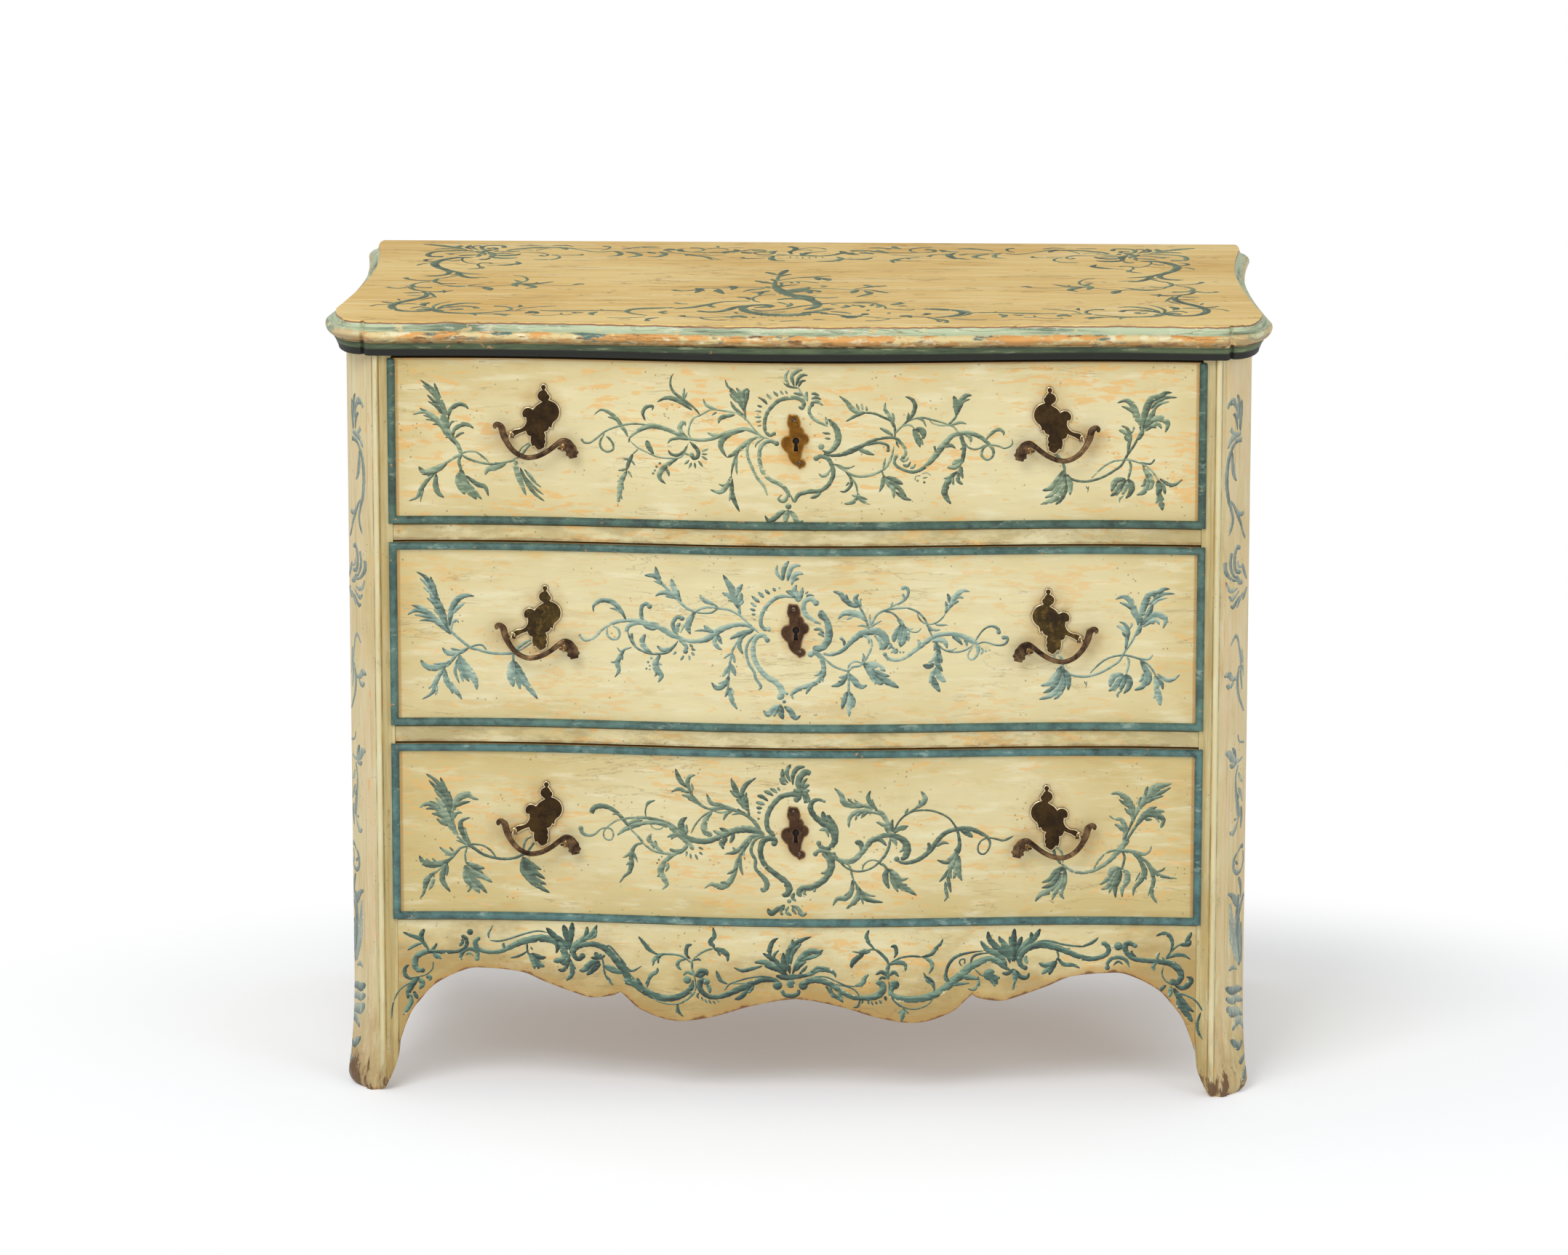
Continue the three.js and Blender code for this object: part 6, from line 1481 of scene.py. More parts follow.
APRON_RIGHT = (
    (CURL, (7, 8, 8, 7, 7, 6, 6, 7, 9, 9, 8, 7), 9, 21, 16, 26, 26, 27, 37, 24, 48, 18, 58, 11, 68, 6, 80, 5,
     92, 6, 101, 10, 105, 17,
     103, 24, 96, 24), (DOT, 5.2, 9, 20), (LEAF, 5, 36, 20, 44, 10, 54, 3, 57, -1), (LEAF, 4, 42, 18, 44, 8,
     46, 5),
    (LEAF, 3, 50, 16, 54, 8, 58, 5), (STEM, 2, 22, 31, 36, 31, 50, 25, 62, 20, 74, 20), (LEAF, 6, 70, 20, 80,
     23, 83, 30, 88, 35),
    (STEM, 2, 48, 22, 62, 19, 72, 14, 77, 4, 76, -6), (LEAF, 3.4, 77, 2, 75, -5, 69, -7),
    (LEAF, 2.6, 81, 2, 79, -2), (LEAF, 2.6, 87, 2, 88, -3), (LEAF, 2.6, 91, 1, 93, -4), (LEAF, 2.6, 96, 1,
     98, -3),
    (LEAF, 3, 101, 3, 103, -2), (LEAF, 4, 107, 8, 109, 2), (LEAF, 5, 88, 90, 85, 82, 88, 74, 95, 66),
    (LEAF, 4, 95, 66, 103, 60, 110, 52, 112, 44), (STEM, 2.4, 68, 63, 80, 62, 92, 66, 102, 62, 110, 50),
    (LEAF, 7, 76, 60, 82, 63, 90, 63), (LEAF, 7, 82, 59, 74, 55, 68, 48, 67, 42), (STEM, 5, 112, 48, 110, 38,
     111, 28),
    (LEAF, 5, 114, 69, 119, 70, 121, 62, 118, 55), (LEAF, 6, 112, 47, 121, 50, 131, 48, 132, 39),
    (STEM, 2.6, 113, 48, 124, 55, 138, 58, 152, 57), (LEAF, 5, 150, 57, 162, 60, 168, 67, 174, 74, 177, 80),
    (LEAF, 5, 152, 57, 162, 52, 164, 44, 160, 36), (LEAF, 4, 154, 38, 158, 28, 166, 22, 166, 12), (LEAF, 5,
     156, 33, 164, 26, 167, 16),
    (DOT, 5.4, 119, 22), (LEAF, 5, 110, 33, 103, 38, 96, 34), (LEAF, 5, 113, 33, 118, 38, 124, 32),
    (LEAF, 4, 109, 29, 104, 31, 100, 28), (STEM, 2, 112, 26, 114, 10, 120, 0, 128, -6),
    (STEM, 1.8, 118, 4, 130, -6, 145, -8, 158, -3, 166, 6), (LEAF, 6, 130, -7, 129, -15, 127, -24), (LEAF, 3,
     128, -9, 123, -14),
    (LEAF, 3, 131, -9, 136, -14),
    (STEM, (5, 7, 8, 9, 9, 10, 10, 9, 8, 8, 7), 119, 22, 114, 12, 122, 6, 136, 4, 150, 5, 164, 9, 178, 17,
     190, 28, 200, 36,
     208, 44, 218, 50, 230, 55, 240, 54, 247, 50, 250, 44), (LEAF, 7, 196, 36, 204, 33, 212, 32, 220, 30),
    (LEAF, 4, 186, 22, 198, 24, 209, 25), (LEAF, 4, 219, 34, 220, 24, 214, 17, 207, 18), (STEM, 2, 216, 42,
     222, 36, 228, 34),
    (DOT, 7, 233, 36), (LEAF, 6, 234, 34, 240, 28, 243, 24), (LEAF, 5, 232, 32, 238, 26, 240, 21), (LEAF, 5,
     238, 36, 242, 32, 246, 33),
    (LEAF, 4, 186, 26, 181, 34, 183, 46, 190, 56, 200, 61, 214, 64, 228, 66), (LEAF, 5, 184, 26, 180, 32,
     181, 40),
    (CURL, 2, 203, 50, 203, 55, 198, 54, 197, 50, 200, 46), (LEAF, 3.4, 210, 48, 213, 58, 222, 62, 234, 63),
    (LEAF, 8, 222, 78, 230, 68, 242, 62, 250, 54, 254, 46), (LEAF, 9, 231, 90, 233, 80, 242, 70, 254, 60,
     258, 50),
    (LEAF, 8, 244, 84, 250, 74, 258, 64, 261, 52), (LEAF, 9, 263, 94, 262, 80, 263, 66, 263, 52), (LEAF, 6,
     257, 84, 260, 72, 262, 60),
    (LEAF, 6, 272, 84, 268, 74, 264, 60), (LEAF, 8, 294, 94, 288, 84, 278, 76, 268, 66, 265, 54), (LEAF, 5,
     283, 90, 283, 82, 278, 76),
    (CURL, (5, 6, 8, 9, 9, 9, 8, 7, 7, 6, 6, 6, 7, 6), 276, 45, 271, 48, 269, 56, 274, 66, 284, 72, 298, 74,
     312, 71, 326, 66,
     340, 60, 354, 57, 366, 59, 375, 64, 376, 71, 371, 76, 368, 74),
    (LEAF, 5, 279, 50, 276, 56, 278, 60), (STEM, 2.6, 290, 78, 304, 79, 320, 75, 334, 73, 348, 72),
    (LEAF, 4, 344, 72, 354, 76, 360, 80, 364, 84), (STEM, 2.4, 304, 78, 312, 74, 322, 69, 330, 70), (LEAF, 4,
     246, 46, 254, 44, 260, 40),
    (LEAF, 5, 248, 38, 256, 38, 262, 44), (LEAF, 7, 262, 44, 264, 34, 263, 24), (LEAF, 3, 263, 28, 262, 20,
     261, 17),
    (LEAF, 6, 265, 42, 270, 34, 278, 33, 281, 39), (STEM, 2.4, 314, 66, 316, 60, 313, 54), (LEAF, 9, 314, 54,
     308, 46, 305, 36),
    (LEAF, 9, 313, 53, 303, 48, 292, 51), (LEAF, 6, 310, 50, 301, 42, 296, 37), (LEAF, 5, 315, 58, 322, 50,
     334, 49, 342, 45),
    (DOT, 5, 388, 73), (CURL, 5, 375, 46, 376, 53, 381, 58, 390, 59, 397, 56, 402, 47), (LEAF, 3, 382, 49,
     388, 54, 394, 50),
    (CURL, (5, 7, 7, 6, 6, 6, 7, 9, 8, 7, 6), 408, 74, 400, 77, 396, 72, 399, 64, 406, 58, 416, 56, 428, 55,
     440, 54, 452, 52, 461, 45,
     464, 37, 460, 29, 452, 28), (DOT, 4, 454, 29), (LEAF, 4, 404, 68, 405, 63, 410, 60), (LEAF, 5, 436, 57,
     435, 62, 438, 66),
    (LEAF, 5, 432, 43, 430, 49, 436, 54), (LEAF, 3, 441, 60, 445, 54), (LEAF, 5, 445, 58, 456, 63, 466, 63,
     475, 58),
    (STEM, 2.6, 445, 58, 452, 68, 460, 75, 468, 77), (LEAF, 6, 462, 76, 472, 77, 475, 82), (LEAF, 5, 468, 78,
     473, 86, 476, 92),
    (LEAF, 5, 433, 86, 442, 90, 450, 86, 453, 76, 450, 66), (STEM, 2, 442, 48, 441, 38, 446, 30, 455, 25),
    (LEAF, 7, 456, 25, 466, 22, 474, 28, 476, 34, 470, 36), (LEAF, 5, 446, 25, 441, 21, 440, 17), (LEAF, 6,
     452, 24, 451, 16, 450, 10),
    (LEAF, 9, 455, 22, 462, 10, 470, 0, 480, -8), (LEAF, 8, 462, 10, 466, -2, 474, -14, 478, -20), (LEAF, 5,
     460, 10, 461, 0, 462, -4),
    (STEM, 2.4, 458, 15, 470, 13, 482, 6, 490, -6), (LEAF, 4, 488, -8, 484, -22, 486, -34, 492, -44),
)

# The drawer below it
SPRAY_LOW = (
    (STEM, 3.5, -316, -3, -322, -6, -331, -12, -340, -20, -355, -21, -368, -20, -382, -16, -390, -14, -398,
     -8,
      -405, -2, -413, 6, -418, 14),
    (STEM, 2, -316, -2, -318, -8, -328, -15, -336, -19), (STEM, 2.5, -391, -14, -384, -11, -376, -11, -371,
     -17),
    (LEAF, 12, -415, 5, -420, 15, -423, 25, -427, 35, -432, 45, -434, 54, -438, 62, -443, 72, -454, 79),
    (LEAF, 6, -431, 45, -433, 58, -436, 66, -437, 73), (LEAF, 4, -438, 58, -444, 66, -450, 71),
    (LEAF, 4, -433, 46, -439, 55, -446, 60), (LEAF, 4, -428, 33, -435, 42, -442, 47),
    (LEAF, 3, -424, 28, -427, 38, -427, 45), (LEAF, 3, -424, 22, -430, 29, -434, 33),
    (LEAF, 8, -413, 2, -423, 12, -433, 21, -442, 29, -450, 35, -460, 38),
    (LEAF, 5, -440, 26, -450, 31, -458, 31, -465, 26), (LEAF, 4, -436, 22, -446, 25, -457, 26),
    (LEAF, 4, -430, 17, -440, 20, -451, 19), (LEAF, 9, -415, 12, -414, 25, -410, 38, -403, 47, -394, 50,
     -385, 49),
    (LEAF, 5, -412, 27, -405, 35, -396, 41), (LEAF, 4, -413, 8, -412, 15, -407, 20, -404, 16),
    (LEAF, 7, -392, -14, -402, -19, -414, -21, -420, -19, -424, -14), (LEAF, 3, -402, -18, -410, -16, -414,
     -15),
    (STEM, 4, -398, -17, -405, -21, -413, -30, -420, -38),
    (LEAF, 8, -414, -30, -425, -37, -437, -39, -446, -35, -450, -29), (LEAF, 3, -420, -33, -428, -34, -435,
     -34),
    (LEAF, 6, -420, -37, -428, -48, -433, -58, -436, -69, -449, -78), (LEAF, 3, -432, -55, -437, -61, -441,
     -65),
    (LEAF, 3, -432, -58, -431, -66, -433, -73), (LEAF, 8, -422, -38, -420, -52, -414, -62, -407, -69, -401,
     -78),
    (LEAF, 4, -418, -54, -415, -63, -412, -71), (LEAF, 12, -404, -23, -398, -35, -391, -45, -385, -55, -383,
     -66),
    (LEAF, 9, -404, -24, -403, -36, -398, -47, -392, -56), (LEAF, 4, -406, -28, -409, -43, -404, -58),
    (LEAF, 4, -401, -40, -401, -50, -399, -56), (STEM, 3, -339, -20, -339, -28, -339, -34),
    (LEAF, 12, -339, -29, -342, -42, -341, -53, -339, -62), (LEAF, 13, -338, -30, -332, -45, -326, -56, -322,
     -62),
    (LEAF, 9, -336, -38, -328, -52, -318, -66, -310, -77), (LEAF, 6, -337, -42, -333, -56, -331, -65),
)
SCROLL_LOW = (
    (CURL, (3, 3, 3.5, 4.5, 5, 5), -259, 2, -254, -4, -247, -4, -239, 1, -232, 9, -223, 14.5, -213, 18.7,
     -202,
      20, -188, 19.5, -177, 18),
    (STEM, (5, 5, 5, 6, 7, 7, 5, 4.5, 5, 8, 8, 6, 5, 4, 2.5), -203, 6, -200, 13, -190, 17, -180, 16, -168, 14,
      -157, 8, -148, 2, -140, -1, -130, -5, -118, -5.5, -107, -3, -97, 4, -87, 10, -73, 14.5, -60, 14.5, -50,
      10, -44, 5),
    (STEM, 3, -226, 12, -226, 3, -221, -2.5, -214, -2.5, -211, 3, -213, 10, -219, 13),
    (LEAF, 6, -203, 20, -208, 30, -215, 39, -224, 44, -234, 44, -242, 38, -242, 30),
    (LEAF, 3.5, -208, 28, -216, 34, -223, 35),
    (CURL, 5, -175, 37, -179, 40.5, -184, 37, -185, 28, -183, 18, -178, 12, -170, 9.5, -165, 11),
    (STEM, 3, -201, 5, -198, -3, -193, -11, -185, -17, -175, -20.5, -165, -21, -153, -19, -145, -11, -141,
     -5),
    (LEAF, 5, -196, 4.5, -197, -3, -192, -11), (LEAF, 7, -180, 3, -184, -5, -181, -13, -172, -20),
    (LEAF, 5, -166, -11, -160, -16, -150, -15, -143, -8), (LEAF, 3, -196, -13, -204, -15, -210, -18, -214,
     -13),
    (LEAF, 6, -205, -16, -211, -25, -214, -33, -212, -41, -217, -50), (LEAF, 3, -212, -28, -217, -31, -222,
     -31),
    (LEAF, 3, -208, -22, -208, -29), (LEAF, 8, -162, -22, -168, -32, -166, -41, -161, -48, -165, -56),
    (LEAF, 3, -167, -38, -167, -45, -169, -49), (LEAF, 3, -165, -32, -160, -35), (DOT, 1.7, -173, -26),
    (DOT, 1.5, -177, -31), (DOT, 1.3, -175, -35.5), (DOT, 1.3, -179, -39), (DOT, 1.2, -175, -40),
    (CURL, 5, -136, 22.5, -142, 24, -147, 17, -146, 9, -141, 2), (LEAF, 5, -138, 17, -142, 12, -140, 5),
    (CURL, 5, -132, -18, -131, -12, -135, -7, -140, -3), (LEAF, 3.5, -127, -9, -123, -13),
    (LEAF, 3.5, -125, -14, -120, -17), (LEAF, 3.5, -125, -19, -121, -23), (LEAF, 3.5, -128, -23, -127, -29),
    (LEAF, 3.5, -134, -23, -138, -29), (LEAF, 3.5, -143, -18, -147, -22), (LEAF, 6, -98, 5, -105, 9, -110,
     14),
    (LEAF, 3, -103, 6, -112, 8, -121, 7), (LEAF, 6, -93, 2, -97, -5, -94, -12, -88, -16),
    (LEAF, 5, -92, 2, -91, -4, -88, -9),
    (STEM, 3, -138, 5, -133, 14, -125, 25, -118, 32, -107, 36, -93, 35, -80, 33, -68, 27, -60, 20, -52, 12,
      -45, 5),
    (LEAF, 8, -120, 31, -127, 20, -129, 11, -126, 3),
    (STEM, 2.5, -120, 30, -110, 29, -100, 30, -94, 35, -97, 39, -103, 41),
    (LEAF, 6, -97, 39, -106, 43, -112, 47, -114.5, 51.5),
    (STEM, 3.5, -120, 30, -130, 35, -137, 41, -147, 52, -157, 62, -163, 68),
    (LEAF, 6, -160, 64, -165, 74, -167.5, 86), (LEAF, 6, -160, 65, -168, 74, -181, 75),
    (LEAF, 3.5, -156, 61, -163, 66, -170, 68), (LEAF, 7, -139, 44, -144, 56, -147, 64, -148.5, 71),
    (LEAF, 4, -137, 42, -140, 50, -140, 57), (LEAF, 6, -142, 46, -152, 53, -160, 54, -168, 49.5),
    (LEAF, 3, -145, 47, -152, 49, -156, 49.5), (STEM, 4, -67, 27, -68, 36, -71, 44),
    (LEAF, 10, -68, 34, -73, 46, -76, 57, -81, 66, -87, 76), (LEAF, 6, -72, 48, -68, 58, -63.5, 64.5),
    (LEAF, 6, -70, 40, -66, 47, -65, 54), (LEAF, 6, -71, 44, -80, 50, -88, 54),
    (LEAF, 4, -69, 38, -64, 42, -63, 45), (LEAF, 4, -71, 42, -77, 45, -81, 44),
    (LEAF, 7, -50, 8, -60, 5, -70, 2, -79, -3), (LEAF, 6, -57, 5, -65, -1, -68, -9, -66, -16, -63, -21),
    (STEM, 3, -58, 5, -68, -4, -75, -15, -78, -27, -80, -42, -81, -55, -81, -66),
    (LEAF, 4, -76, -20, -74, -27, -73, -32), (LEAF, 3, -76, -20, -82, -23, -86, -27),
    (LEAF, 6, -79, -33, -75, -40, -72, -48), (LEAF, 5, -80, -36, -84, -43, -88, -49),
    (LEAF, 7, -80, -48, -84, -57, -94, -63, -101, -56), (LEAF, 3, -82, -52, -88, -56, -93, -57),
    (LEAF, 6, -80, -62, -78, -72, -75, -81, -70, -89), (LEAF, 4, -81, -62, -82, -68, -85, -74),
    (LEAF, 3, -78, -62, -75, -68, -75, -71),
    (STEM, 3.5, -48, 3, -55, -4, -59, -13, -59, -22, -56, -33, -50, -43, -48, -51, -43, -58, -42, -62, -45,
     -65),
)
CARTOUCHE_LOW = (
    (CURL, (5, 6, 6, 6, 7, 8, 8), -34, -4, -39, 2, -46, 0, -50, -6, -51, -20, -48, -31, -42, -41, -33, -50,
      -23, -56, -17, -65, -17.5, -72, -22.5, -75),
    (CURL, 5, -32.5, 9.5, -38, 10, -42, 17, -40, 29, -33, 40, -23, 48, -13, 50, -3, 48),
    (LEAF, 4.5, -43, 42, -53, 50), (LEAF, 4.5, -38, 48, -45, 55), (LEAF, 4, -31, 52, -37, 58),
    (LEAF, 4, -24, 56, -27.5, 60), (LEAF, 2.5, -19, 58.5, -20, 61), (LEAF, 4, -47, 37, -54, 42),
    (LEAF, 3.5, -48, 32, -55, 34.5), (LEAF, 3, -48, 27.5, -53, 28), (LEAF, 2.5, -48, 21, -51, 22),
    (LEAF, 6, -15, 69, -15, 80, -12, 88, -8, 93), (LEAF, 4, -16, 69, -23, 79, -22, 88),
    (LEAF, 6, -10, 68, -7.5, 80, -2, 87, 6, 87), (LEAF, 6, -5, 63, -3, 74, 3, 78, 9, 77),
    (LEAF, 4, -3, 68, 0, 71, 4, 71), (LEAF, 9, 2, 43, 0, 52, -2, 58, 1, 64), (LEAF, 6, 3, 43, 6, 52, 8, 61),
    (LEAF, 6, 0, 48, -6, 54, -12, 56), (LEAF, 3, 12, 49.5, 16, 52, 22, 50.5), (LEAF, 2.5, 11, 53, 15, 56),
    (CURL, 6, 24, 42, 18, 47, 11, 44, 9, 35, 12.5, 27, 20, 21, 30, 16),
    (STEM, (5, 7, 9, 9, 8, 6), 30, 32, 36, 22, 39, 12, 39, -1, 33, -11, 25, -14, 21, -11),
    (LEAF, 6, 31, 33, 29, 27, 35, 20), (LEAF, 4, 21, 9, 28, 10, 34, 4), (LEAF, 4, 26, 4, 30, 4, 34, 0),
    (CURL, 6, 17.5, -21, 23, -19, 30, -25, 33, -35, 32.5, -46, 25, -55, 13, -60, 2, -64, -5, -70, -3, -76),
    (LEAF, 4, 31, -40, 27, -45, 22, -47), (LEAF, 3, 32, -48, 32, -55), (LEAF, 5, 23, -55, 16, -62, 12, -70),
    (DOT, 2, -11, -69), (DOT, 2.2, -14, -79), (LEAF, 8, -17, -83, -26, -88, -33, -95, -39, -90),
    (LEAF, 8, -17, -84, -18, -93, -15, -101), (LEAF, 5, -20, -86, -25, -93, -26, -98),
    (LEAF, 7, -14, -85, -7, -90, -1, -99, 6, -96),
    (STEM, (3, 4, 5, 6, 8, 9, 9, 9, 8, 6), 33, -20, 43, -21, 55, -16, 65, -6, 75, 3, 85, 7, 97, 8, 105, 2,
      107.5, -6, 102, -15),
    (LEAF, 5, 93, 3, 99, -2, 101, -9, 100, -15), (LEAF, 4, 78, 4, 86, 0, 87, -8),
    (CURL, 3.5, 54, -1, 57.5, -5, 57, -10), (STEM, 3, 87, 10, 84, 20, 80, 30, 75, 39),
    (LEAF, 7, 76, 38, 67, 40, 58, 47, 52, 54, 44, 56), (LEAF, 4, 65, 42, 61, 47, 60, 53),
    (LEAF, 6, 77, 38, 72, 44, 71, 49, 75, 53), (LEAF, 3, 78, 38, 76, 44, 78, 48),
    (LEAF, 8, 85, 20, 77, 27, 67, 30, 57, 29.5, 50, 22), (LEAF, 3, 70, 28, 64, 24, 60, 22),
    (LEAF, 3, 86, 12, 80, 15, 73, 14), (LEAF, 3, 88, 12, 88, 22, 88, 29), (LEAF, 3, 88, 12, 94, 17, 102, 21),
    (STEM, 3, 89, 14, 92, 21, 98, 30, 110, 35, 123, 37, 132, 37), (STEM, 2, 104, 33, 115, 39, 125, 44.5, 130,
     50),
    (LEAF, 3, 113, 37, 114, 41, 115, 44), (STEM, 2.5, 104, 33, 114, 31, 121, 25, 125, 17),
    (LEAF, 9, 126, 17, 121, 8, 117, 0, 117, -5), (LEAF, 8, 127, 15, 124, 4, 124, -10),
    (LEAF, 4, 112, -6, 113, -10, 109, -14), (LEAF, 4, 115, -11, 117, -15, 113, -18), (DOT, 1.3, 124, -17),
    (DOT, 1.3, 128, -17), (CURL, 4, 106, -20, 110, -25, 118, -27, 128, -26),
    (STEM, 3, 32, -23, 42, -33, 52, -38, 62, -40, 68, -36, 78, -33, 85, -23, 90, -11, 90, -1),
    (STEM, 2.5, 62, -39, 64, -33, 71, -29, 79, -31), (LEAF, 3.5, 79, -30, 81, -24, 80, -19),
    (STEM, 3, 62, -39, 63, -50, 63, -60, 63, -70), (LEAF, 6, 62, -44, 54, -56, 42, -60),
    (LEAF, 4, 62, -46, 56, -48, 51, -49), (LEAF, 4, 62, -48, 56, -53, 50, -54),
    (LEAF, 7, 64, -44, 70, -54, 78, -60, 85, -58), (LEAF, 4, 65, -46, 70, -50, 75, -54),
    (LEAF, 7, 62, -66, 58, -76, 55, -88), (LEAF, 9, 64, -66, 64, -80, 63.5, -97),
    (LEAF, 7, 65, -68, 68, -78, 68, -86), (LEAF, 12, 81, -31, 90, -42, 97, -52, 104, -57),
    (LEAF, 10, 83, -31, 92, -33, 100, -36, 107, -41), (LEAF, 6, 90, -38, 100, -44, 112, -47),
    (LEAF, 8, 92, -44, 104, -51, 114, -56, 123, -61), (LEAF, 6, 88, -42, 92, -50, 95, -55),
)
TENDRIL_LOW = (
    (STEM, (3.5, 4, 5, 5.5, 6, 5.5, 5, 5, 6, 7, 6.5, 5.5, 4, 3, 2.5, 2.2, 2.2, 2.2, 2.2), 126, -26, 133, -22,
     140, -16, 148.6, -9.4, 157, -2.3, 165.7, 3.4, 175.7, 5.6, 185.7, 6, 197, 4, 205.7, -0.1, 212.9, -4.4,
     217, -10, 216.4, -17.3, 212.9, -23, 209.3, -25, 205.7, -23, 205, -18.7, 207.9, -13, 212.9, -6.6),
    (CURL, (4.5, 4, 3.2, 2.4, 2.2, 2.2), 241.4, 9, 240.5, 13, 235.7, 16, 229.3, 15.6, 222.9, 11.3, 217.9,
     4.9, 213.6, -2.3),
    (CURL, (4.5, 4, 3.2, 2.4, 2.2, 2.2), 247.5, 2.7, 251, 2.6, 252, -0.1, 250, -4.4, 244.3, -6.9, 237, -6.6,
     230, -4.4,
     222.9, -3.4, 216.4, -5.9),
    (STEM, 2.5, 130, 37.3, 136, 36.3, 144.3, 32.7, 150, 27.7, 154.3, 22, 157, 14.9, 160, 7.7, 162.9, 2),
    (STEM, 2, 144.5, 32, 145.7, 26.3, 149.3, 21.3, 154.3, 18.4, 161.4, 17.7, 168.6, 20.6, 174.3, 25.6, 178.6,
     32),
    (LEAF, 7, 177.5, 31, 181, 38, 187, 47.7, 191.4, 54, 198.6, 59, 207, 58), (LEAF, 4.5, 187, 46, 192, 51.5,
     199.5, 50),
    (LEAF, 5.5, 182, 38, 188, 44.5, 194, 46), (LEAF, 5, 183, 43, 182.5, 49, 180, 55.5),
    (LEAF, 4, 179.5, 35, 179.5, 40, 178, 46), (CURL, (4.5, 4.5, 4, 3, 2.2, 2), 127.5, 61.5, 130.7, 62, 133.3,
     59,
     133.6, 54.9, 131.4, 49, 126.4, 44, 120, 40.6), (LEAF, 3.5, 127, 54.5, 128.5, 51, 131, 47),
    (LEAF, 3, 165.7, 17.7, 171.4, 16.8, 180.5, 17), (LEAF, 4, 158.6, 15, 162.9, 10.6, 172, 10.9),
    (STEM, 3.5, 122, 24, 126.4, 19, 129, 12), (LEAF, 8, 130, 15, 130, 4, 127.5, -4, 124, -11),
    (LEAF, 5, 131, 14, 133.5, 5, 134, -4), (LEAF, 7, 129, 17, 124.5, 11, 122.5, 4, 122.5, -2),
    (STEM, 1.8, 131, 14, 136, 11, 139.5, 12.5), (STEM, 1.8, 132, 11, 138, 8, 144.5, 8, 149.3, 12.7),
    (STEM, 1.8, 120.7, 23, 123, 19, 126, 15), (LEAF, 4.5, 145.3, -1.5, 147, -7, 143.6, -14),
    (LEAF, 7, 162, -4, 171, -1.2, 177.5, -4, 180.3, -12), (LEAF, 5, 186, 3, 193, -1, 198.5, -7.5),
    (LEAF, 4, 200.5, -1, 203, -4, 203.5, -9), (STEM, 2.3, 168, -5, 172, -10, 177, -13.6, 183, -15.6, 191,
     -16, 199, -14.5,
     206, -11, 211, -7), (LEAF, 2.5, 181, -14, 186, -14, 191.5, -11), (LEAF, 4, 166, -5, 166, -10, 164.5,
     -15),
    (LEAF, 6, 167.5, -4, 169.5, -14, 170, -24, 169.5, -33), (LEAF, 7, 169, -18, 168, -26, 170, -33, 175,
     -40.5),
    (LEAF, 8, 168.5, -34, 169, -42, 174.3, -49.5, 179, -52.5), (LEAF, 4.5, 170.5, -17, 172.5, -24, 174, -30),
    (LEAF, 4, 168, -12, 166.5, -20, 162.5, -26.6, 157.5, -29), (LEAF, 7, 164.5, -30, 158.6, -34, 151, -32.5),
    (LEAF, 6, 167, -35, 162.5, -44, 159.3, -55), (LEAF, 8, 162.5, -46, 165.5, -55, 172, -65.5),
    (LEAF, 3, 220.8, -10.5, 222.5, -14, 220.3, -19), (DOT, 1.5, 226, -14), (DOT, 1.1, 230.4, -13),
    (LEAF, 3.5, 119, -13, 120.5, -16, 117, -19),
)

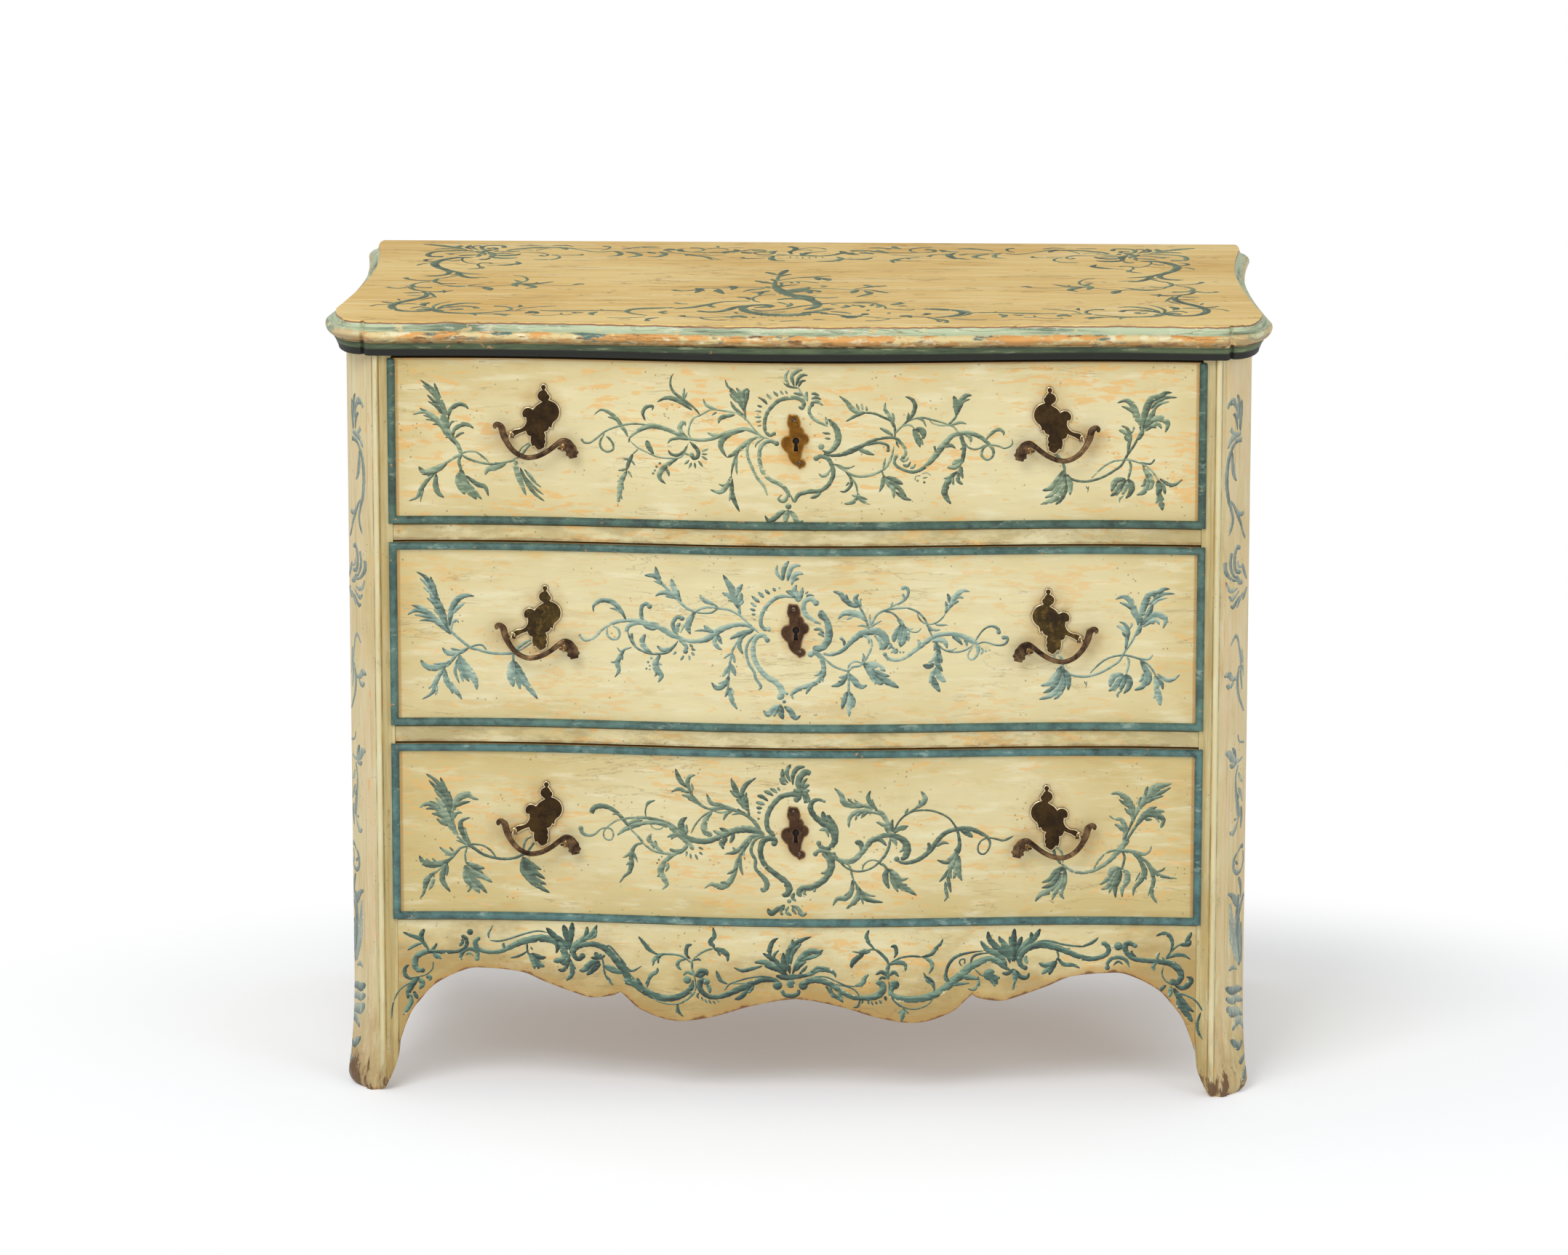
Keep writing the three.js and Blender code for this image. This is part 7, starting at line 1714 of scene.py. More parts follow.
# The lowest drawer's right part
TENDRIL_BASE = (
    (STEM, (3, 4, 5, 5.5, 6, 6, 6, 5.5, 5.5, 6, 6, 5, 4, 3, 2.2, 2.2, 2.2, 2.2, 2.2, 2.2, 2.4, 3, 3, 2.6),
     121.4, -28.7,
     128.6, -31.6, 137, -30.9, 147, -27.3, 155.7, -20.9, 162.9, -13.7, 168.6, -5, 175.7, 3.4, 184.3, 8.7,
     192.9, 10.9,
     202.9, 11.9, 212.9, 10.3, 222.9, 5.6, 229.3, 1.3, 232.6, -5, 231.4, -12.3, 227, -18.7, 222, -19.4,
     218.6, -15.9,
     218.6, -9.4, 222.9, -2.3, 231.4, 0.6, 240, -0.6, 248.6, -2.3, 257, 1.3, 261, 4),
    (DOT, 3.2, 121, -27),
    (STEM, (2.4, 2.4, 2.6, 2.6, 2.4, 2.4, 2.6, 3.5, 4.5, 5), 116.4, 6.3, 120, 13.4, 124.3, 20.6, 131.4, 27.7,
     141.4, 32.7, 154.3, 34, 165.7, 32.7, 177, 28.4, 184.3, 23.4, 189.3, 17, 192.9, 10.6, 195, 3.4, 196,
     -3.7, 196, -12.3,
     193.6, -22), (STEM, 3, 130, 27, 138, 32, 146, 38), (LEAF, 7, 143, 35.5, 152, 43, 154.5, 49.5, 149.7,
     57.5),
    (LEAF, 3.5, 148.5, 40.5, 148, 46.5), (LEAF, 3.5, 130.7, 28.5, 134.5, 36), (LEAF, 4.5, 115.7, 6, 114.8,
     15, 116, 22.5),
    (LEAF, 5.5, 117.5, 5, 124.3, 11.3, 135, 14), (LEAF, 3, 124, 9, 130, 10.5, 133, 13),
    (LEAF, 6, 194.3, -15, 188.6, -25, 180, -30.5, 169, -27.5), (LEAF, 4, 193.5, -14, 187, -23.7, 179.5,
     -26.5),
    (LEAF, 7, 193.5, -19, 188.5, -30.9, 184.3, -39.4, 181.4, -50), (LEAF, 4.5, 184.5, -38, 179, -46.6, 172,
     -55),
    (LEAF, 5, 185.5, -38, 184.5, -44, 186.5, -50.5), (LEAF, 5, 182.5, -46.6, 183.6, -57, 186.3, -68),
    (LEAF, 4.5, 179.3, -54, 180, -65, 181.6, -72.3, 178, -79), (LEAF, 7, 194.5, -21, 193.5, -34, 191.4, -43,
     189, -51),
    (LEAF, 7, 194.8, -23, 195, -36, 195.7, -45, 199.5, -53), (LEAF, 3.5, 196, -22, 196.5, -31, 197.5, -40),
    (LEAF, 3.5, 195, -9, 193, -13, 189.5, -15.5), (LEAF, 4.5, 158.3, -6, 160, -11.5, 156.4, -19),
    (LEAF, 4.5, 168, -11, 176, -5.9, 183.5, -7.2), (LEAF, 7, 197, 10.5, 205.7, 6, 212, 1),
    (STEM, (5, 6, 6, 7, 8.5, 9, 8.5, 6, 4), 98, 0.5, 107, 2.2, 115.7, 2.2, 124.3, -0.6, 130.7, -5.5, 133.6,
     -12.6,
     132.6, -20.9, 129, -26, 126, -24.4), (LEAF, 5, 112, -1.5, 118.6, -5, 120.5, -11), (LEAF, 4, 129.5, -10,
     128.5, -15, 124, -18.5),
    (STEM, 3.6, 113, -2.3, 111.4, -12.3, 107, -22.3, 100.5, -31, 105.7, -35, 110, -40),
    (STEM, 4.5, 98, 33, 104, 29, 108.5, 22, 111.4, 13, 113, 3), (STEM, 3.5, 98, 18.5, 105.7, 13.4, 111, 5),
    (LEAF, 9, 111, -38.5, 107.5, -46.6, 108.5, -56, 112.4, -64), (LEAF, 10, 112, -39, 118.6, -50.9, 127, -61,
     135.7, -65.5, 145, -72),
    (LEAF, 6, 113, -39.5, 119, -45.5, 125.7, -52.5, 135, -50.4), (LEAF, 6, 113.5, -47, 118, -58, 122.8, -68),
    (LEAF, 5, 118, -51, 125, -57.6, 134, -59), (LEAF, 4, 124, -60, 128, -64, 131, -67),
)

# The lowest drawer's middle part
CARTOUCHE_BASE = (
    (STEM, (4, 5, 6, 7, 8, 8, 6, 4), -190, 13, -180, 16, -165, 16, -153, 12, -143, 5, -135, -3, -127.5, -11,
     -123, -18),
    (STEM, (4, 4, 4, 5, 6), -192, 22, -180, 22, -165, 19, -152, 14, -140, 5),
    (STEM, 1.8, -180, 22, -181, 30, -179, 38, -176, 42), (LEAF, 4, -180, 36, -177, 41, -169, 43.5),
    (STEM, 1.6, -175, 13.7, -171.7, 9.5, -166.7, 7.8, -161.7, 8.7, -159, 12),
    (STEM, (5, 7, 7, 7, 7, 7, 8, 9, 9, 7, 4), -140, 5, -130, -3, -118, -6.3, -106.7, -6.7, -95, -3, -86.7,
     0.3,
     -76.7, 5.3, -65, 8.3, -53, 7.8, -45, 5.3, -37, 1),
    (LEAF, 8, -131, 1, -136.7, 8, -137.5, 17, -130.5, 23), (LEAF, 5, -130, 3, -132, 8, -131, 14),
    (LEAF, 5, -134, 1, -145, 1.6, -155, -2), (LEAF, 4, -140, 1, -147, -1, -150, -5),
    (STEM, (3, 3, 3, 3, 4), -190, -1, -183, -9.7, -173, -18, -161.7, -21.5, -148, -23),
    (STEM, (5, 5, 5, 5, 4), -129, -10, -136.7, -18.8, -145, -22, -151.7, -27, -157, -33),
    (STEM, (4, 7, 8, 7, 5, 4, 1.5), -152, -26, -159, -35, -163, -44, -159, -53, -155.5, -59, -156, -62, -161,
     -67),
    (LEAF, 4, -154.5, -33, -154, -39, -157, -45), (LEAF, 3.5, -162, -43, -164, -48, -167, -51.5),
    (LEAF, 6, -173, 2, -177, -4, -173, -11, -170, -16.5), (LEAF, 5, -169, -6, -168, -14, -159, -21),
    (LEAF, 4.5, -152, -16.5, -146, -19, -136, -17), (LEAF, 3, -131, -19, -132, -26), (LEAF, 3, -127, -22,
     -126, -29),
    (LEAF, 3.2, -121, -23, -118, -30), (LEAF, 3, -116, -20, -112, -24), (LEAF, 3, -117, -14, -111, -17),
    (DOT, 1.2, -165, -30), (DOT, 1, -167, -34), (DOT, 1.1, -161.5, -26),
    (STEM, 2.4, -126, 3, -121.7, 12, -115, 21, -106.7, 27.8, -96.7, 32, -86, 33.5),
    (STEM, (3, 6, 8, 8, 7, 3), -101, 29.5, -107, 22, -110.5, 12, -108.5, 5, -104, 2, -100, 1),
    (STEM, (5, 5, 4, 4, 5, 6, 5, 3, 4, 5, 3), -43, 5, -48, 15.3, -56.7, 23.7, -66.7, 29.5, -76.7, 33, -86.7,
     35.5,
     -95, 34, -105, 33.5, -115, 38.7, -123, 47, -127, 53),
    (STEM, 2.4, -123, 48, -127.5, 57, -133, 61.5), (LEAF, 6, -131, 60, -138, 67, -142, 75, -144.5, 83),
    (LEAF, 5.5, -126, 53, -130, 65, -127.5, 73, -120.5, 75), (LEAF, 3, -125, 53, -124, 59, -125.5, 65),
    (LEAF, 5, -127, 52.5, -135, 56, -141.7, 58, -150, 53.5), (LEAF, 5, -121, 46, -129, 48.7, -137, 50.5),
    (LEAF, 4, -115, 39, -123, 43, -130, 46), (LEAF, 5, -91, 37, -102, 41, -107, 52), (LEAF, 4, -84, 36, -91,
     39, -97, 40.5),
    (LEAF, 4.5, -74, 32.5, -83, 27.5, -87, 19), (LEAF, 2.5, -99, 31, -90, 28.7, -80, 31),
    (LEAF, 4, -55, 25, -66.7, 28.5, -77, 26), (LEAF, 3.5, -60, 28, -66, 30, -70, 34),
    (STEM, 3.2, -56, 25, -57, 33, -58.5, 42), (LEAF, 8, -56.5, 31, -62, 38, -67, 46, -70, 51), (LEAF, 6, -59,
     35, -60, 45, -63, 52),
    (LEAF, 6.5, -66, 45, -71.7, 56, -75, 64, -77.5, 71.5), (LEAF, 6, -65, 47, -63.5, 57, -58, 65, -47.5, 72),
    (LEAF, 5, -65, 46, -73, 51, -79, 56.5), (LEAF, 5, -62.5, 45, -59, 54), (LEAF, 4, -60, 38, -67, 41, -71.5,
     45.5),
    (STEM, (5, 6, 5, 4.5, 4, 2), -40, 2, -51.7, -0.5, -60, -7, -66.7, -14.7, -74, -19.5, -86, -23),
    (LEAF, 5, -64, -12, -72, -20, -84, -22), (LEAF, 4, -67, -16, -72, -17.5, -76, -14),
    (LEAF, 4.5, -51.7, -1, -58, -10, -63, -19, -61, -30), (STEM, (3, 4, 4, 4), -57, -8, -62, -16, -66.5, -24,
     -70, -33),
    (STEM, (3, 5, 5.5, 7, 8, 8, 5, 3, 1.5), -66.7, -22, -71, -33, -73, -44, -78, -54.7, -84, -61, -91.7, -63,
     -100, -60,
     -105, -61.5, -110, -65.5), (LEAF, 4, -82, -60, -86, -58, -91, -58), (LEAF, 4, -70.5, -40, -76, -44, -83,
     -47.5),
    (LEAF, 4.5, -66.5, -22, -67, -36, -63.5, -49), (LEAF, 8, -82, -3, -88.5, -8, -87, -17), (LEAF, 5, -74, 3,
     -76.5, -4, -79, -9),
    (LEAF, 6, -81, 4, -90, 2.5, -99.5, 6.5), (LEAF, 5, -80, 5, -86, 7, -92, 10),
    (STEM, (3, 4, 4, 4, 4, 4, 5, 6.5, 6.5, 5, 4), -38, 0, -47, -3, -52.5, -11, -53.5, -20, -48.5, -29.7,
     -48.5, -39.7,
     -41.7, -48, -35.5, -56, -35, -63, -39, -67.5, -42, -64),
    (CURL, (6, 7, 7, 6.5, 6.5, 6.5, 6.5, 6, 6, 6, 4), 0.8, 45.5, 4, 49, -1.5, 52, -9, 51.5, -18, 48.7, -26.7,
     40,
     -32.5, 30, -35, 18.7, -33.5, 8.7, -27.5, 2.5, -25, 3),
    (CURL, (6, 6, 8, 8, 7, 6.5, 6.5, 7, 8, 9, 7, 5), -26, -9, -24.5, -5, -31.7, -2.5, -39, -6, -42.5, -16,
     -41, -28,
     -35, -38, -23, -48, -13, -56, -8, -64.7, -11, -72.5, -17, -72),
    (LEAF, 4.5, -19, 72.5, -16, 66, -11, 64), (LEAF, 5, -16, 83.5, -15.5, 73, -9, 65.5), (LEAF, 5.5, -6, 89,
     -11, 79, -6.5, 67),
    (LEAF, 6, 11, 86, 1.7, 84, -3.5, 75, -3.5, 63), (STEM, (5, 8, 8, 8, 7), 17.5, 77, 11.7, 79.5, 5, 73, 3.5,
     63.7, 8, 55),
    (LEAF, 4, 14, 72, 9, 66, 9, 58), (LEAF, 8, -3, 57.5, 5, 55, 17, 57), (LEAF, 6.5, 7, 56, 11, 62, 16.5,
     63.5),
    (LEAF, 8, 6, 56, 12, 50, 10.5, 40.5), (LEAF, 5, 8, 53, 15, 47, 13, 41), (LEAF, 5, -46.5, 50, -40, 48.5,
     -33, 43),
    (LEAF, 5, -48, 42, -42, 40.5, -37, 39), (LEAF, 4.5, -47.5, 35, -40, 34.5), (LEAF, 3.5, -46.5, 29.5,
     -41.5, 29),
    (LEAF, 3, -46, 22, -43, 21), (LEAF, 5, -38.5, 55.5, -32, 53.5, -27, 49.5), (LEAF, 4.5, -31, 59, -26,
     56.5, -22, 53),
    (LEAF, 3, -22, 60.5, -19, 56),
    (CURL, (3, 4, 6, 7, 7, 8, 9, 9, 8, 6, 5), 34, 43.5, 27, 45.5, 20, 42.8, 17.5, 34.5, 22.5, 25, 31.7, 17,
     41, 11,
     46, 3, 46.5, -6, 40, -14.5, 31, -15),
    (CURL, 5, 27.5, -8, 29, -12, 35, -14), (STEM, (4, 6, 7, 6), 38.5, 26, 43.5, 18, 47.5, 9, 48, 0),
    (LEAF, 7, 39, 18, 33.5, 24, 32.5, 31.5), (LEAF, 5, 42, 17, 38, 22, 38, 27), (LEAF, 4.5, 28, 7.5, 36, 8.5,
     39.5, -1),
    (CURL, (5, 5, 7, 8, 8, 8, 8, 7.5, 7, 5), 23.5, -21.5, 28, -17.5, 37, -19, 43, -29, 42, -41, 33.5, -54,
     20, -62.5,
     8, -64.5, 3.5, -69.7, 7, -75), (LEAF, 4, 30, -45.5, 36.7, -43.5, 40.5, -34), (LEAF, 4, 31, -21, 38, -28,
     39, -38),
    (LEAF, 4, 21.5, -69.5, 23.5, -63), (LEAF, 5, -1.5, -70, -4, -76, 0.5, -80.5), (LEAF, 4, 12, -66, 10, -70,
     13, -73),
    (DOT, 2.6, -8, -80.5), (LEAF, 6, 13.5, -95, 7, -97, 2, -89, -6, -86), (LEAF, 7, -33.5, -89.5, -30, -96,
     -21, -90, -13, -85),
    (LEAF, 5, -16.5, -98.5, -17, -92, -13, -86), (LEAF, 5, -5, -98.5, -12, -93, -8, -87), (LEAF, 4, 1, -97,
     -3, -92, -4, -88),
    (CURL, (4, 5, 7, 7, 7, 7, 6, 5), 45.5, -21, 50, -28, 60, -31, 70, -28.5, 80, -18, 90, -5, 97, -0.5, 103,
     1.5),
    (LEAF, 6, 90, -6, 100, -2.5, 109, -11), (LEAF, 7, 70.5, -7, 77.5, -8, 78.5, -18),
    (STEM, 2.6, 51.7, -30, 60, -38, 70, -42.3, 80, -42.3, 91.7, -38, 102, -29, 107, -22),
    (STEM, 2, 80, -42, 81, -35.5, 86.7, -30, 94, -28.5, 101, -31.5, 106, -37), (STEM, 2.8, 53, -29.7, 64,
     -36, 67.5, -48, 71.7, -58, 76, -64),
    (LEAF, 7, 68, -53, 67, -67, 60, -76, 50, -77, 44.5, -86), (LEAF, 5, 67, -66, 63, -71, 58, -73),
    (LEAF, 8, 73, -60, 75.5, -71, 70, -81, 60.5, -89.5), (LEAF, 7, 75, -62, 80, -73, 90, -78.5, 105, -81),
    (LEAF, 4, 77, -65, 85, -71.5, 96, -73.5), (LEAF, 3.5, 76.5, -68, 79, -76, 81, -84),
    (STEM, (5, 5, 4.5, 4.5, 5, 5), 112, 3.7, 110.5, 16, 103, 27.5, 93, 35.5, 83, 38, 72, 39),
    (LEAF, 7.5, 84, 38, 70, 38.5, 58, 42, 54, 52, 46, 60), (LEAF, 4, 81, 39, 75, 41, 70.5, 45.5),
    (LEAF, 4, 74, 39, 67, 42, 62, 47.5), (LEAF, 6, 98.5, 31, 91, 40, 86.5, 48.7, 89.5, 57.5), (LEAF, 3.5, 95,
     36, 92.5, 41, 91.5, 47),
    (STEM, (3, 5, 6, 5.5, 5, 2), 103, 27.5, 94, 31, 84, 31.5, 72, 30.5, 64.5, 23, 63.5, 11), (LEAF, 4, 79,
     30, 73, 26, 71.5, 20),
    (LEAF, 4, 87, 31, 81, 27, 78, 23), (LEAF, 5, 111, 4, 107, 13.5, 96, 18.5),
)

# The lowest drawer's left and right sprays
SPRAY_BASE_LEFT = (
    (STEM, 3, -318, -1.5, -324, -4.7, -328, -13, -329, -27), (LEAF, 7, -329, -27, -330, -42, -325, -52, -317,
     -63),
    (STEM, (3, 3, 3.2, 3.4, 3.4, 3.4, 3.5, 4, 5, 5), -316, -9.7, -323, -19.7, -330, -24.7, -340, -28.8,
     -351.7, -30,
     -363, -28.8, -376.7, -24.7, -386.7, -18, -394, -12, -398, -6),
    (STEM, 2.4, -361.7, -28, -368, -19.7, -376.7, -13.8, -386.7, -12, -395, -11.5),
    (STEM, (5, 7, 7, 6, 4, 2), -394, -11, -400, -1.3, -404, 8.7, -403, 17, -393, 21.3), (LEAF, 4, -396, -8,
     -398, 0, -399.3, 9.5),
    (STEM, (5, 4, 4, 6, 10, 12, 10, 7, 5, 2), -396, -12, -402, -8, -408, -1.3, -413, 7, -418, 17, -426.7, 28,
     -435, 36,
     -445, 38, -454, 33), (LEAF, 5, -419, 11, -426.7, 15, -433, 19.7), (LEAF, 5, -422, 18, -430, 24.5, -439,
     25.8),
    (LEAF, 5, -429, 28.7, -436, 33, -446, 31.6), (LEAF, 5, -428, 31, -433, 37, -441.5, 41.5),
    (STEM, (3, 6, 10, 13, 10, 6, 4, 2), -415, 16, -416.5, 27, -418, 38, -422.5, 48, -427, 58.5, -435, 68,
     -445.5, 75.5),
    (LEAF, 6, -419, 39, -422.5, 55, -428, 71), (LEAF, 5, -418, 26, -415.7, 40, -418, 54.5), (LEAF, 4.5, -426,
     51, -434, 59, -442, 67.5),
    (LEAF, 5, -422, 42, -429, 49, -435.5, 56), (LEAF, 5, -422, 33, -427.5, 39, -434, 45.5),
    (STEM, (4, 6, 8, 9, 8, 5, 2), -415, 22, -412.5, 33, -409, 42, -403, 47.5, -395, 49.5, -390, 46, -382,
     43.5),
    (LEAF, 5, -411.5, 34, -403, 38.7, -392, 41), (LEAF, 5, -414, 18, -409, 27, -402, 26.7), (LEAF, 3, -398,
     -12, -404, -8.8, -409.5, -7.5),
    (STEM, (3, 3, 4, 4), -395, -13.8, -405, -17, -413, -26, -421.7, -35), (LEAF, 10, -417, -31, -430, -36.5,
     -442, -37.5, -450, -34, -454.5, -26),
    (LEAF, 3.5, -434, -35, -439, -29.5), (LEAF, 3.5, -441, -35, -446.5, -30), (LEAF, 5, -405, -18.5, -415,
     -24.5, -423, -21, -430, -15.5),
    (LEAF, 3, -413, -21, -418, -15.7), (LEAF, 2.5, -416, -24, -424, -26), (LEAF, 7, -420, -34.7, -425, -44,
     -427, -55, -423, -64, -417, -71.5),
    (LEAF, 4, -420.5, -37, -421.5, -52), (STEM, 2, -421.7, -36, -430, -43, -436.7, -49.7),
    (STEM, (2, 5, 8, 7, 4, 3, 1.5), -433, -46, -441, -51, -446, -58, -448, -66, -450, -74, -454, -79),
    (LEAF, 5, -437, -50, -439, -61, -443, -69),
    (LEAF, 3, -445, -57, -450.5, -67.5), (STEM, 2.5, -396.7, -16, -399, -25, -398, -36),
    (LEAF, 7, -398, -35, -388, -39.5, -375.5, -42), (LEAF, 8, -398, -37, -388, -47.5, -377, -52.5, -366.5,
     -59.5),
    (LEAF, 9, -398.5, -38, -391.7, -53, -381.7, -63, -373, -73), (LEAF, 8, -399, -38, -395, -56, -387, -66,
     -381.5, -73),
    (LEAF, 6, -399.5, -38, -398.5, -55, -391, -66), (LEAF, 3.5, -394, -58, -393, -66, -397, -72), (LEAF, 6,
     -397, -38, -386, -43, -377, -49),
    (LEAF, 6, -328, -28, -318, -37, -307, -43.5), (LEAF, 7, -329, -28, -317, -44, -302.5, -55), (LEAF, 7,
     -329, -32, -317, -53, -301, -61.5),
    (LEAF, 7, -328.5, -34, -319, -54, -308, -65, -297, -72), (LEAF, 5, -329, -40, -320, -57, -312, -66),
    (CURL, (5, 5, 4, 3, 2.2, 2.2, 2.2, 2.2, 2.2, 2.2, 2.2, 2.2, 2.2, 2.4, 3, 4), -259, 8.7, -257.5, 3.7,
     -251.7, 0, -243, 1, -235, 7.8,
     -227.5, 9.5, -221.7, 7, -219.7, 1, -221.7, -4.7, -226.7, -5.5, -231, -2, -231, 5.3, -225, 12, -215,
     18.7, -201.7, 21.5, -190, 22.3),
    (STEM, (6, 6.5, 6.5, 5.5, 4.5, 4.5, 3), -246, 27.5, -243, 34, -235, 36.5, -225, 34.5, -215, 28, -206.7,
     18.7, -201, 11),
    (LEAF, 4, -209, 22.5, -214, 27, -221, 26), (STEM, (1.5, 4.5, 6.5, 7.5, 6), -215, 0.3, -206.7, 7, -196.7,
     12, -186, 15),
    (LEAF, 5, -204, 12, -195, 17.5, -184, 18.5), (STEM, 2.4, -199, 8, -194, 3, -188, -3, -183, -9),
    (STEM, (2.6, 3.5, 5, 6, 6.5, 5, 3, 1.5), -184, -9, -192, -11.5, -196.5, -18, -198, -26, -198, -35,
     -200.5, -45, -207, -51, -212.5, -59),
    (LEAF, 4, -196.7, -17.5, -202, -24, -208.5, -27.5), (LEAF, 3.5, -196.7, -19, -190.5, -33.5), (LEAF, 3.5,
     -198, -31, -204.5, -37),
)
SPRAY_BASE_RIGHT = (
    (STEM, 3, 311, -8.7, 317, -13.7, 320, -20.9, 320, -29), (STEM, 3.6, 308.6, -10.9, 311.4, -20.9, 318, -31),
    (STEM, (3, 3.5, 4, 4, 5, 5, 7, 7, 6), 319, -31, 330, -38.7, 341.4, -41.3, 352.9, -40, 364, -35, 375.7,
     -26.6, 385.7, -15.5, 393, -6,
     394, 1),
    (STEM, (3, 3, 3, 3, 4, 5, 6, 4, 2.5, 1.5), 357.9, -36, 362.9, -26.6, 371.4, -17.3, 380, -13.7, 390,
     -13.4, 400, -14.4, 410, -17,
     418.6, -17.5, 424.3, -13.7, 426.4, -7), (STEM, (4, 3, 3, 4, 5), 393, 0, 398.6, 12, 402.9, 22, 406, 30),
    (STEM, (3, 7, 10, 12, 10, 6, 2), 405, 27, 411, 40, 418, 50, 426, 60, 434, 66, 441, 68, 450, 70.5),
    (LEAF, 5, 424, 52, 435.7, 58, 449, 65.5), (LEAF, 5, 418, 45, 428, 51.5, 440.5, 55), (LEAF, 5, 411, 42,
     411.5, 47, 413.5, 53.5),
    (LEAF, 5, 419, 53, 419.5, 60, 421.3, 66.5), (LEAF, 4, 424, 58, 427, 63, 430, 67.5),
    (STEM, (3, 7, 8, 8, 5, 2), 404.3, 22, 403, 34, 399.5, 46, 393, 53, 386, 57.5, 377, 56.5), (LEAF, 4, 400,
     40, 393, 45, 386.5, 50),
    (LEAF, 4, 403.5, 31, 405.5, 44.5), (LEAF, 4, 401.5, 30, 393.5, 39.5), (STEM, 3.4, 395.7, -2.3, 404.3, 12,
     411, 22),
    (STEM, (4, 8, 11, 8, 5, 3), 409, 19, 417, 30, 426, 33.5, 435.7, 30, 440.5, 24, 437, 15), (LEAF, 5, 417,
     31, 424, 38, 432.5, 41),
    (LEAF, 4.5, 428, 34, 434, 36.5, 442, 35), (LEAF, 4, 417, 26, 427, 25), (LEAF, 3.5, 431, 30, 435.5, 21.5),
    (STEM, (3, 6, 7, 5, 4, 2), 393, -2, 394.7, 7, 394, 17, 389.5, 25, 383, 25.8, 375.3, 29.5), (LEAF, 5,
     393.6, 8, 388.6, 15.6, 382, 19),
    (LEAF, 4, 394, -8, 399.7, -0.5), (STEM, 3, 391.4, -14, 394.3, -22.3, 391.5, -35.5),
    (LEAF, 9, 389, -35, 397, -41, 397.5, -50.9, 392, -60, 392, -71.5), (LEAF, 9, 390, -36, 387.5, -48, 383.5,
     -58, 384, -72.5),
    (LEAF, 9, 390, -35.5, 380, -37.5, 376, -47, 365, -56.5), (LEAF, 7, 388, -37, 379, -49.4, 375, -58, 366.5,
     -62),
    (LEAF, 6, 388, -38, 381, -52.3, 376, -67), (LEAF, 8, 391, -36, 385, -42, 381, -52),
    (STEM, (3, 4, 6, 7.5, 6, 4, 1.5), 403, -15, 411.4, -23.7, 416.4, -32.3, 418.5, -41, 413.5, -51, 406.5,
     -60, 405, -70),
    (LEAF, 3.5, 418.5, -39, 420.5, -50), (LEAF, 2.5, 413.5, -40, 407.5, -51.5), (STEM, (3, 4, 5, 5, 4, 1.5),
     410, -19.5, 420, -26.6,
     427, -35, 434.3, -42.3, 443, -45.5, 458, -47.5), (LEAF, 3, 433, -39.5, 439, -37.5, 443.5, -33.5),
    (STEM, (3, 4.5, 5.5, 4.5, 4.5, 1.5), 420.5, -27.5, 427, -39.4, 429.3, -49.4, 428, -60, 428, -69, 434,
     -78.5),
    (LEAF, 2.5, 427, -56, 423, -70), (LEAF, 7, 320, -34, 311.4, -41, 305.7, -49.4, 295, -54.4), (LEAF, 8,
     321, -34, 313, -49.4, 307, -56.6, 295, -61),
    (LEAF, 8, 321, -36, 314, -55, 303, -65, 294, -69, 286.5, -79), (LEAF, 7, 322, -36, 319, -55, 311.4, -66,
     307.6, -76),
    (LEAF, 6.5, 322.5, -34, 323, -49.4, 320, -60, 318.6, -69, 322.5, -74.5), (LEAF, 5, 318, -40, 310, -50,
     301, -59),
)

